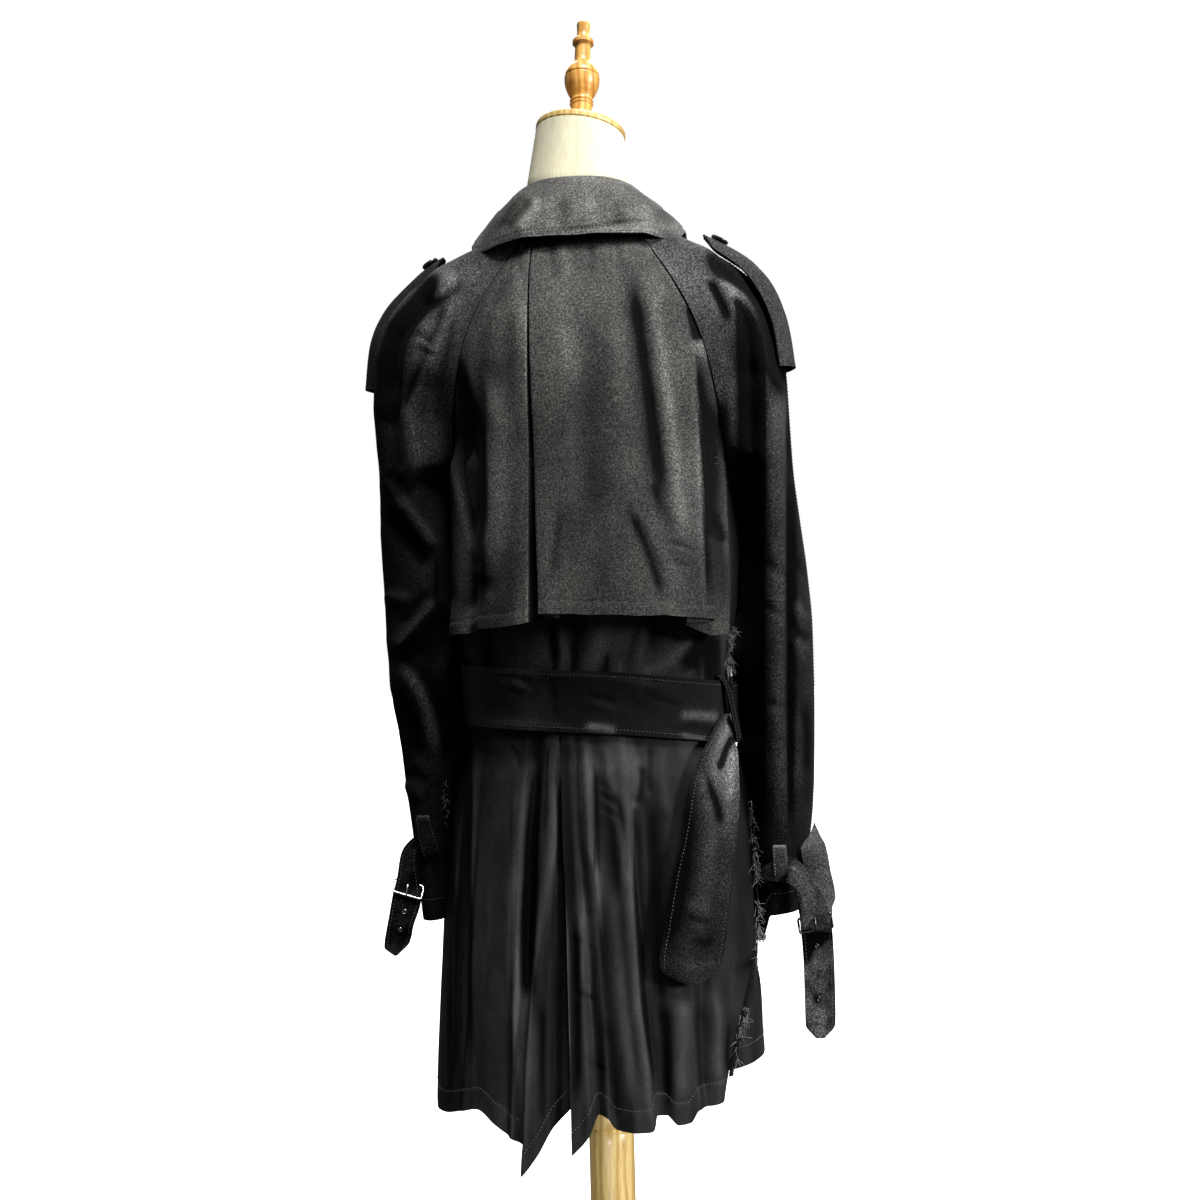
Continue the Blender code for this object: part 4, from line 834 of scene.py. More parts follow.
backLook = dict(
    levels=84, columns=110,
    folds=(
        (-2.4, 5, (550, 616), (551, 640), (555, 668)),
        (1.8, 5, (560, 616), (561, 640), (564, 666)),
        (-2.6, 5, 0.2, (584, 616), (579, 642), (574, 667)),
        (1.5, 6, (598, 616), (597, 640), (594, 668)),
        (-3, 5, -0.2, (637, 616), (627, 642), (617, 671)),
        (1.8, 6, (648, 618), (640, 645), (634, 672)),
        (-3, 6, (703, 634), (702, 660), (701, 686)),
        (2, 5, (690, 634), (689, 660), (688, 682)),
        (-1.6, 5, (500, 622), (506, 640), (510, 662)),
    ),
    uneven=((34, 0.8), (14, 0.3)),
    # painted highlights and painted shade in the folds of the back under the cape
    paintedLight=(
        (5, 3.6, (446, 628), (464, 646), (484, 668)),
        (-7, 5, (486, 628), (487, 650), (486, 672)),
        (2.6, 14, (512, 620), (512, 650), (512, 682)),
        (2.2, 9, (538, 616), (538, 650), (540, 684)),
        (-8, 2.4, (552, 600), (554, 640), (556, 684)),
        (3.4, 4, (562, 620), (563, 652), (564, 684)),
        (-8, 4, (573, 640), (574, 660), (574, 684)),
        (-3.4, 7, (576, 600), (575, 632), (572, 660)),
        (3, 12, (612, 600), (602, 640), (592, 680)),
        (-8, 4, (607, 650), (605, 666), (602, 684)),
        (4.6, 3.6, (638, 608), (628, 646), (614, 684)),
        (-4, 12, (654, 606), (652, 630), (650, 656)),
        (5.4, 5, (698, 624), (684, 648), (664, 664), (632, 676)),
        (-10, 8, (704, 632), (694, 650), (686, 672)),
        (3, 1.6, (700, 630), (701, 660), (702, 694)),
        (-12, 6, (712, 630), (713, 660), (713, 694)),
    ),
)


def sideAngle(z):
    return np.where(z < underarm, 90.0, backAngle(coat, z, read(raglan, "x", z)))


def seamTurn(z):
    return np.degrees(seamGap / 2 / read(coat, "half", z))


def makeBack():
    look = backLook
    z = np.linspace(neckSeam, waistSeam + seamGap, look["levels"])[:, None]
    share = np.linspace(-1, 1, look["columns"])[None, :]
    edge = sideAngle(z) - seamTurn(z)
    sunk = mix(0.0014, 0.0034, ease((z - underarm) / 0.03)) + 0.0045 * (1 - share**4)  # below the cape's top
    under = np.where(z < underarm, 0.0, -sunk * ease((z - underarm) / 0.02))
    grid = outline(coat, z, edge * share, under)
    field = foldHeights(inFrame(grid), look["folds"], look["uneven"], 11) * ease((1 - np.abs(share)) / 0.06)
    grid = grid + outwards(coat, grid) * field[..., None]
    # painted light: fold shading and painted shadow and highlight lines, at a set painted light level
    sewnCloth("back", grid, facing(grid, (0, 1, 0)), (0.36, 0.53), "draped", ["form_body"], finish=beltCloth,
              node="back_body", wear=field + paintedLightLines(grid, look["paintedLight"]), faded=0.62)


frontEdges = rowsOf(
    "z x",
    (1.392, -0.052),
    (1.33, -0.035),
    (1.25, 0.016),
    (1.2, 0.048),
    (1.165, 0.07),
    (0.4, 0.07),
)
frontsLook = dict(
    levels=(90, 70), columns=84, hem=0.505,
    foldsLeft=(  # places are mm across from the side seam, and mm over the floor
        (-3.5, 9, 0.2, (60, 860), (66, 780), (74, 700), (80, 600), (84, 510)),
        (3, 12, (88, 850), (96, 760), (104, 640), (110, 510)),
        (-3, 9, -0.2, (128, 855), (134, 760), (142, 640), (146, 510)),
        (2.5, 12, (30, 840), (34, 740), (40, 620), (44, 510)),
        (-2.5, 7, (20, 1090), (60, 1050), (96, 1000), (120, 950)),
        (2, 7, (20, 1072), (62, 1030), (100, 980)),
        (-2.5, 6, (30, 1000), (62, 968), (88, 945)),
        (-1.8, 6, (40, 945), (46, 930), (50, 915)),
        (-2.2, 5, (90, 950), (94, 930), (96, 912)),
        (-2.2, 7, (60, 1290), (52, 1230), (44, 1180), (20, 1140)),
    ),
    foldsRight=(
        (-3.8, 9, 0.2, (50, 860), (56, 780), (60, 690), (66, 600), (74, 510)),
        (3.2, 12, (80, 850), (86, 760), (94, 640), (100, 510)),
        (-3.2, 8, -0.2, (112, 855), (118, 760), (126, 640), (134, 510)),
        (2.5, 12, (150, 840), (156, 740), (164, 620), (168, 510)),
        (-2, 9, (196, 850), (200, 760), (204, 640), (204, 520)),
        (-2.8, 7, (16, 1100), (56, 1062), (92, 1010), (130, 962)),
        (2.2, 7, (18, 1080), (60, 1040), (100, 985)),
        (-2.2, 5, (34, 990), (66, 962), (96, 944)),
        (-2, 5, (130, 950), (132, 930), (134, 914)),
        (-2, 8, (50, 1280), (44, 1220), (30, 1165)),
    ),
    uneven=((60, 1.0), (22, 0.45), (9, 0.15)),
)


def overlapLift(x, side):
    return 0 * x if side > 0 else frontOverlap * ease((x + 0.13) / 0.05)


def frontSide(z, side):
    low = read(sideSeam, handOf(side), z)
    return np.where(z > waistSeam, np.where(z > underarm, 180.0 - sideAngle(z), 90.0), low)


def makeFront(side):
    look, hand = frontsLook, handOf(side)
    upper, lower = look["levels"]
    bodice = np.linspace(neckSeam, waistSeam + seamGap, upper)
    skirt = np.linspace(waistSeam - seamGap, look["hem"], lower)
    z = np.concatenate([bodice, skirt])[:, None]
    across = np.linspace(0, 1, look["columns"])[None, :]
    first = side * (frontSide(z, side) + seamTurn(z))
    last = side * 180.0 - backAngle(coat, z, -side * read(frontEdges, "x", z))
    angle = mix(first, last, across)
    grid = outline(coat, z, angle)
    grid = outline(coat, z, angle, overlapLift(grid[..., 0], side))
    hold = ease(across / 0.05) * (1 - 0.75 * ease((across - 0.55) / 0.3) * ease((z - 0.8) / 0.1))
    hold = hold * (1 - 0.8 * bump((z - 0.888) / 0.03))  # the belt presses the folds flat
    if side > 0:
        hold = hold * (1 - ease((across - 0.6) / 0.12))
    field = foldHeights(clothWays(grid), look["folds" + hand.title()], look["uneven"], 21 + side) * hold
    grid = grid + outwards(coat, grid) * field[..., None]
    edgeRuns = [("right", 0.008, 0.45, 1.0)]
    hemRuns = [("right", 0.008), ("bottom", 0.022)]
    for name, rows, cloth, slot, flat, runs in (
            ("front", slice(0, upper), coatCloth, "gabardine", (0.21, 0.56), edgeRuns),
            ("skirt front", slice(upper, None), satin, "satin", (0.33, 0.37), hemRuns)):
        part = grid[rows]
        # painted shading from the folds: darker in troughs, paler on ridges
        sewnCloth(f"{name} {hand}", part, facing(part, (0, -1, 0)), flat, "hung", ["form_body"], runs,
                  finish=cloth, slot=slot, wear=field[rows])


lapelReach = rowsOf(
    "up reach",
    (0.00, 0.006),
    (0.3, 0.046),
    (0.6, 0.078),
    (0.74, 0.09),
    (0.77, 0.062),
    (1.00, 0.034),
)


def makeLapel(side, lowest, flat):
    hand = handOf(side)
    ups = [np.linspace(lowest, 0.735, 44), np.linspace(0.738, 0.775, 12), np.linspace(0.785, 1.0, 16)]
    ups = np.unique(np.concatenate(ups))[:, None]
    share = np.concatenate([np.linspace(0, 0.12, 8), np.linspace(0.16, 1.0, 34)])[None, :]
    z = mix(lapelBreak + 0.004, 1.37, ups)
    roll = -read(frontEdges, "x", z) + 0.0016
    tip = roll + read(lapelReach, "reach", ups)
    if side > 0:
        roll = np.maximum(roll, read(frontEdges, "x", z) + 0.004)
    height = z + 0.02 * share * ups
    x = side * np.minimum(mix(roll, tip, share), read(raglan, "x", height) - 0.003 - 0.001 * (1 - share))
    out = overlapLift(x, side) + 0.0024 + 0.002 * np.minimum(share / 0.1, 1.0) + 0.005 * ups * share
    places = np.stack(np.broadcast_arrays(x * 1000, height * 1000), -1)
    out = out + 0.0006 * rumple(places, 24, 31) * ease(share / 0.3)
    grid = onFront(coat, x, height, out)
    sewnCloth(f"lapel {hand}", grid, facing(grid, (0, -1, 0)), flat, "folded", [f"front_{hand}"],
              [("right", 0.007, 0.0, 0.92)])


buttonLook = dict(radius=0.0145, small=0.01, thick=0.004, spread=0.0026, hole=0.0009, thread=0.00045)


def makeButton(name, centre, away, node, radius):
    centre, away = Vector(centre), Vector(away).normalized()
    place = Matrix.Translation(centre + away * hairGap) @ away.to_track_quat("Z", "Y").to_matrix().to_4x4()
    thick = buttonLook["thick"]
    profile = [
        (radius - 0.0015, 0.0), (radius - 0.0004, 0.0004), (radius, 0.0013), (radius, thick - 0.0014),
        (radius - 0.0004, thick - 0.0005), (radius - 0.0014, thick), (radius - 0.0024, thick - 0.0003),
        (radius - 0.0036, thick - 0.0012), (radius * 0.55, thick - 0.0015), (radius * 0.2, thick - 0.0013)]
    turnedPiece(name, profile, place, horn, node, sides=40, slot="horn")
    spread, hole = buttonLook["spread"] * radius / buttonLook["radius"], buttonLook["hole"]
    top = thick - 0.0013

    def at(x, y, z):
        return (np.array(place) @ (x, y, z, 1))[:3]

    parts = []
    for x, y in ((spread, spread), (spread, -spread), (-spread, spread), (-spread, -spread)):
        turns = np.linspace(0, math.tau, 8, endpoint=False)
        ring = [at(x + hole * math.cos(t), y + hole * math.sin(t), top + 0.0002) for t in turns]
        parts.append(([*ring, at(x, y, top + 0.0006)], [[k, (k + 1) % 8, 8] for k in range(8)]))
    for y in (spread, -spread):
        path = [at(x * spread, y, top + 0.0005 + 0.0007 * (1 - x * x)) for x in np.linspace(-1, 1, 7)]
        parts.append(tube(path, buttonLook["thread"], 5))
    joined(name + " thread", parts, sewingThread, "horn")


def makeButtons():
    for column, x in (("left", 0.05), ("right", -0.05)):
        for number, z in enumerate((1.125, 1.045, 0.965), start=1):
            centre = onFront(coat, x, z, frontOverlap + clothWall / 2 + hairGap)
            away = onFront(coat, x, z, 1.0) - onFront(coat, x, z)
            name = f"button {column} {number}"
            makeButton(name, centre, away, name.replace(" ", "_"), buttonLook["radius"])


makeBack()
for side in (1, -1):
    makeFront(side)
makeLapel(1, 0.38, (0.055, 0.13))
makeLapel(-1, 0.0, (0.06, 0.215))
makeButtons()
print("body made")


# The cape, with its box pleat on the left and its knife pleat on the right

capeEdges = rowsOf(
    "z left right",
    (0.955, 0.153, 0.144),
    (1.018, 0.157, 0.148),
    (1.07, 0.1575, 0.147),
    (1.165, 0.1456, 0.1456),
)
boxPleat = rowsOf(
    "z left right",
    (0.97, 0.0545, 0.0405),
    (1.1, 0.054, 0.044),
    (1.34, 0.053, 0.049),
    (1.393, 0.05, 0.046),
)
knifePleat = rowsOf(
    "z fold under",
    (0.955, 0.127, 0.022),
    (1.165, 0.1215, 0.021),
    (1.24, 0.1165, 0.015),
    (1.275, 0.112, 0.008),
    (1.315, 0.093, -0.004),
    (1.393, 0.046, -0.003),
)
leftPanel = rowsOf(
    "share top hem",
    (0.00, 0.0000, -0.002),
    (0.16, 0.0005, 0.004),
    (0.32, 0.001, -0.005),
    (0.48, 0.0015, 0.004),
    (0.7, 0.003, 0.007),
    (1.00, 0.0044, 0.008),
)
capeFall = dict(
    wall=0.001, levels=206, hemStitch=0.012,
    folds=(  # depth in mm, width, lean, then places across and down the frame
        (-4.2, 11, 0.1, (628, 262), (640, 320), (648, 370), (656, 430), (662, 480), (671, 520)),
        (3, 9, 0.3, (643, 262), (657, 340), (668, 420), (678, 500), (684, 560)),
        (1.6, 14, (604, 300), (618, 370), (630, 450), (636, 520)),
        (-2.2, 6, (650, 478), (660, 505), (676, 536)),
        (-2.6, 6, 0.2, (628, 508), (645, 542), (656, 572), (665, 604)),
        (1.6, 7, (642, 506), (659, 540), (670, 572), (678, 602)),
        (-1.3, 3, (668, 541), (682, 545), (696, 552)),
        (-1.1, 3, (670, 551), (684, 555), (694, 558)),
        (-0.9, 3, (672, 562), (690, 568)),
        (-1.3, 5, (559, 505), (556, 545), (551, 582)),
        (0.9, 6, (549, 505), (546, 545), (542, 580)),
        (-1.2, 14, (585, 300), (588, 380), (590, 470), (586, 560)),
        (1.2, 12, (562, 290), (566, 370), (570, 450), (572, 540)),
        (-0.9, 9, (606, 520), (603, 560), (600, 600)),
        (-3.2, 6, -0.3, (690, 306), (693, 322), (697, 342)),
        (1.6, 5, (700, 338), (700, 348), (702, 360)),
        (-0.8, 8, (712, 380), (716, 440), (716, 500), (712, 560)),
        (1.6, 7, (704, 520), (712, 570), (716, 620)),
        (-2.2, 4, (712, 520), (718, 532), (724, 542)),
        (8, 10, -0.7, (489, 366), (492, 430), (492, 505), (489, 545), (482, 590)),
        (-5.5, 8, 0.3, (459, 358), (466, 418), (473, 510), (476, 560)),
        (2.6, 6, (448, 444), (458, 490), (468, 530), (477, 568)),
        (-3.4, 8, (444, 470), (446, 530), (448, 580), (455, 626)),
        (-2.6, 9, (482, 572), (476, 594), (464, 614)),
        (2, 8, (492, 590), (482, 612), (472, 634)),
        (-1.2, 9, (506, 540), (508, 580), (506, 626)),
        (-1.4, 8, (512, 300), (508, 360), (506, 430)),
        (1.2, 8, (498, 300), (492, 340), (488, 372)),
        (-1.2, 4, (516, 244), (519, 262), (520, 280)),
        (-1.4, 4, (548, 240), (552, 262), (553, 284)),
        (1.2, 5, (562, 240), (566, 262), (567, 280)),
        (-1.1, 4, (590, 240), (591, 258), (590, 276)),
        (-1.3, 4, (616, 240), (620, 258), (624, 274)),
        (-1, 3, (648, 250), (664, 278), (676, 300)),
    ),
    uneven=((60, 0.9), (26, 0.6), (11, 0.22)),
    # painted highlights and painted shade, such as the shadow under the collar and the dark folds on the left
    # panel
    paintedLight=(
        (-9, 5, (455, 330), (464, 384), (478, 432), (483, 500), (482, 560), (480, 640)),
        (-8, 7, 0.4, (468, 384), (481, 436), (484, 486), (484, 540)),
        (2.6, 2.5, -1, (490, 366), (492, 430), (491, 506), (487, 562), (479, 604)),
        (3.4, 5, 1, (446, 436), (456, 476), (467, 522), (474, 580)),
        (-5, 6, 0.6, (438, 530), (437, 590), (443, 644)),
        (3.4, 6, (481, 596), (472, 616), (462, 640)),
        (-16, 5, (440, 256), (500, 246), (560, 240), (620, 236), (682, 236), (740, 240)),
        (-1.1, 7, 0.4, (626, 254), (640, 330), (652, 400), (662, 470), (670, 526)),
        (2, 8, -0.4, (643, 290), (660, 390), (674, 480), (686, 560)),
        (-1.8, 3.4, 0.6, (622, 490), (645, 542), (656, 574), (666, 608)),
        (1.4, 4, -0.5, (630, 490), (652, 540), (664, 574), (672, 600)),
        (-9, 4, (688, 300), (694, 322), (698, 346)),
        (3, 5, (692, 338), (700, 350), (704, 364)),
        (-5, 6, -1, (694, 330), (699, 400), (703, 470), (705, 540), (710, 626)),
        (2.4, 2, 0.6, (691, 350), (697, 420), (700, 500), (702, 560), (707, 620)),
        (-2.2, 9, (713, 380), (717, 450), (719, 540), (721, 640)),
        (-4, 4, (712, 512), (719, 530), (726, 544)),
        (2, 3, 1, (524, 262), (526, 330), (525, 420), (524, 520), (526, 600)),
        (1.4, 5, (516, 250), (520, 300), (519, 360)),
        (-0.8, 12, (600, 300), (606, 400), (600, 520)),
        (1.2, 16, (572, 260), (570, 330), (574, 420)),
        (-0.9, 5, (562, 490), (556, 546), (550, 590)),
        (-1.5, 2, (668, 541), (682, 545), (697, 552)),
        (1.4, 2, (668, 546), (682, 550), (697, 557)),
        (-1.5, 2, (670, 557), (684, 562), (696, 566)),
    ),
)


def capeEdge(z, side):
    return np.where(z >= lapelBreak, read(raglan, "x", z) - seamGap, read(capeEdges, handOf(side), z))


def capeColumns(fall):
    # down each column: its place across, its lift over the body, and the height of its hem
    layer, turn = mix(0.0022, 0.0042, fall), 0.0008 + 0.0006 * fall
    level = mix(capeTop, 0.967, fall)
    left, right = capeEdge(level, 1), -capeEdge(level, -1)
    boxLeft, boxRight = read(boxPleat, "left", level), read(boxPleat, "right", level)
    underLeft = boxLeft + np.minimum(0.018, (left - boxLeft) * 0.6)
    far = boxRight - 0.018
    knife, under = -read(knifePleat, "fold", level), read(knifePleat, "under", level)
    folded = ease(under / 0.007)
    start = knife + under * mix(1.5, 1.0, folded)
    none = 0 * layer
    columns = []

    def run(first, last, count, lift, hem, lastHem, end=1.0):
        for t in np.linspace(0, end, count):
            columns.append((mix(first, last, t), lift(t) if callable(lift) else lift, mix(hem, lastHem, t)))

    def bend(place, way, first, last, hem, count=5):
        for out, lift in halfTurn(first, last, count):
            columns.append((place + way * turn * out, lift * layer, hem))

    def panelLift(t):
        return mix(read(leftPanel, "top", t), read(leftPanel, "hem", t), fall)

    run(left, boxLeft, 46, panelLift, 0.96, 0.971, 0.985)
    bend(boxLeft, -1, 2.0, 1.0, 0.972)
    run(boxLeft, underLeft, 5, layer, 0.972, 0.972)
    bend(underLeft, 1, 1.0, 0.0, 0.972, 3)
    run(underLeft, far, 14, none, 0.972, 0.975)
    bend(far, -1, 0.0, 1.0, 0.976, 3)
    run(far, boxRight, 5, layer, 0.976, 0.978)
    bend(boxRight, 1, 1.0, 2.0, 0.979)
    run(boxRight, knife, 70, 2 * layer, 0.98, 0.972)
    for k, (out, lift) in enumerate(halfTurn(2.0, 1.0)):
        columns.append((knife + mix(under * 0.1 * k, -turn * out, folded), lift * layer, 0.97))
    for t in np.linspace(0, 1, 5):
        columns.append((knife + mix(under * (0.5 + 0.4 * t), under * t, folded), layer, mix(0.969, 0.967, t)))
    for k, (out, lift) in enumerate(halfTurn(1.0, 0.0, 3)):
        columns.append((knife + under + mix(under * 0.12 * (k + 1), turn * out, folded), lift * layer, 0.966))
    for t in np.linspace(0, 1, 18):
        columns.append((mix(start, right, t), none, mix(0.965, 0.955, min(t / 0.6, 1))))
    return [np.stack(values, 1) for values in zip(*((x, lift, hem + none) for x, lift, hem in columns))]


def hemShape(rise, depth, high, dent, soft):
    # a turned-up hem: doubled cloth below its sewing and a dent along it, by the height over the edge
    return high * (1 - ease((rise - depth) / soft)) - dent * bump((rise - depth - 0.0006) / soft)


def makeCape():
    look = capeFall
    fall = np.linspace(0, 1, look["levels"])
    x, lift, hem = capeColumns(fall)
    ripple = rippled(x[-1], 21, 77) * 0.0011 + rippled(x[-1], 8, 78) * 0.0005
    fall = fall[:, None]
    z = capeTop + (hem + ripple - capeTop) * fall
    z = z + rippled(x[0], 9, 79) * 0.0006 * (1 - ease(fall / 0.05))
    left, right = read(boxPleat, "left", z), read(boxPleat, "right", z)
    lowest = lift < 0.0008
    inPleat = ease((left + 0.001 - x) / 0.002) * ease((x - right + 0.001) / 0.002) * lowest
    lift = lift - 0.009 * fall * np.clip(1 - np.abs(x - (left + right) / 2) / 0.016, 0, 1) * lowest
    grid = onBack(capeForm, x, z, lift)
    away = outwards(capeForm, grid)
    field = foldHeights(inFrame(grid), look["folds"], look["uneven"], 41)
    rise = z - z[-1:]
    turned = hemShape(rise, look["hemStitch"], 0.0007, 0.0008, 0.0016)
    pucker = rippled(x, 5.0, 80) * 0.0007 * bump((rise - 0.01) / 0.01)
    grid = grid + away * field[..., None] + away * (turned + pucker)[..., None]
    # painted light: paler towards the top and on the right, darker on the left and inside the box pleat,
    # where shade falls
    paintedLit = mix(0.16, 0.38, ease((z - 1.14) / 0.2))
    paintedLit = paintedLit + 0.17 * ease((-x - 0.06) / 0.03) * ease((z - 1.03) / 0.05)
    paintedLit = paintedLit * mix(1.0, 0.55, ease((x - 0.058) / 0.03)) * (1 - inPleat)
    last = x.shape[1] - 1
    spans = ((1, 44), (80, 150), (152, last - 1))
    runs = [("bottom", look["hemStitch"], a / last, b / last) for a, b in spans]
    # painted shading from the folds and painted light lines, with painted shade deep inside the box pleat
    sewnCloth("cape", grid, facing(grid, (0, 1, 0)), (0.5, 0.43), "draped", ["back_body"],
              runs + bothEdges(0.007, 0.55, 1.0), wall=look["wall"], finish=capeCloth, node="cape_back",
              wear=field + paintedLightLines(grid, look["paintedLight"]) - 0.006 * inPleat, faded=paintedLit)


makeCape()
print("cape made")


# Sleeves

sleeveColumns = "z outer inner middle back front"
sleeveLeft = rowsOf(
    sleeveColumns,
    (0.651, 0.206, 0.179, -0.04, 0.05, 0.048),
    (0.7, 0.211, 0.1765, -0.034, 0.054, 0.05),
    (0.76, 0.2155, 0.1655, -0.026, 0.057, 0.054),
    (0.8, 0.219, 0.1575, -0.02, 0.059, 0.057),
    (0.828, 0.2222, 0.1485, -0.017, 0.06, 0.0585),
    (0.846, 0.2245, 0.1452, -0.0145, 0.0608, 0.0597),
    (0.861, 0.2264, 0.1478, -0.013, 0.0614, 0.061),
    (0.872, 0.228, 0.1505, -0.012, 0.062, 0.062),
    (0.893, 0.231, 0.15, -0.009, 0.063, 0.063),
    (0.925, 0.2326, 0.1455, -0.007, 0.0655, 0.0645),
    (0.958, 0.234, 0.1482, -0.005, 0.068, 0.066),
    (1.000, 0.235, 0.154, -0.004, 0.069, 0.067),
    (1.075, 0.237, 0.1578, -0.002, 0.074, 0.07),
    (1.134, 0.236, 0.158, 0.000, 0.08, 0.075),
    (1.18, 0.238, 0.158, 0.002, 0.086, 0.08),
    (1.225, 0.2395, 0.156, 0.004, 0.088, 0.082),
    (1.265, 0.237, 0.15, 0.005, 0.086, 0.08),
    (1.3, 0.226, 0.14, 0.005, 0.08, 0.074),
    (1.33, 0.205, 0.13, 0.005, 0.072, 0.066),
    (1.36, 0.168, 0.11, 0.005, 0.062, 0.056),
    (1.382, 0.124, 0.09, 0.005, 0.052, 0.048),
    (1.398, 0.086, 0.07, 0.004, 0.044, 0.04),
)
sleeveRight = rowsOf(
    sleeveColumns,
    (0.64, 0.209, 0.16, -0.042, 0.05, 0.048),
    (0.7, 0.217, 0.159, -0.034, 0.054, 0.05),
    (0.76, 0.226, 0.1558, -0.026, 0.057, 0.054),
    (0.8, 0.229, 0.1512, -0.02, 0.059, 0.057),
    (0.828, 0.2302, 0.1462, -0.017, 0.06, 0.0585),
    (0.838, 0.2306, 0.148, -0.0155, 0.0604, 0.0592),
    (0.85, 0.231, 0.153, -0.014, 0.061, 0.06),
    (0.872, 0.2316, 0.1505, -0.012, 0.062, 0.062),
    (0.893, 0.232, 0.15, -0.009, 0.063, 0.063),
    (0.904, 0.232, 0.1468, -0.0085, 0.0638, 0.0635),
    (0.914, 0.232, 0.1445, -0.008, 0.0646, 0.064),
    (0.925, 0.232, 0.1442, -0.007, 0.0655, 0.0645),
    (0.958, 0.232, 0.1478, -0.005, 0.068, 0.066),
    (1.022, 0.228, 0.1548, -0.004, 0.07, 0.067),
    (1.075, 0.222, 0.1572, -0.002, 0.074, 0.07),
    (1.134, 0.216, 0.158, 0.000, 0.08, 0.075),
    (1.18, 0.214, 0.158, 0.002, 0.085, 0.08),
    (1.23, 0.212, 0.156, 0.004, 0.087, 0.082),
    (1.265, 0.209, 0.15, 0.005, 0.085, 0.08),
    (1.3, 0.2, 0.14, 0.005, 0.08, 0.074),
    (1.33, 0.185, 0.13, 0.005, 0.072, 0.066),
    (1.36, 0.153, 0.11, 0.005, 0.062, 0.056),
    (1.382, 0.112, 0.086, 0.005, 0.052, 0.048),
    (1.398, 0.08, 0.066, 0.004, 0.044, 0.04),
)
sleeveHems = rowsOf(
    "share left right",
    (0.00, 0.651, 0.622),
    (0.28, 0.651, 0.624),
    (0.43, 0.651, 0.652),
    (1.00, 0.651, 0.655),
)
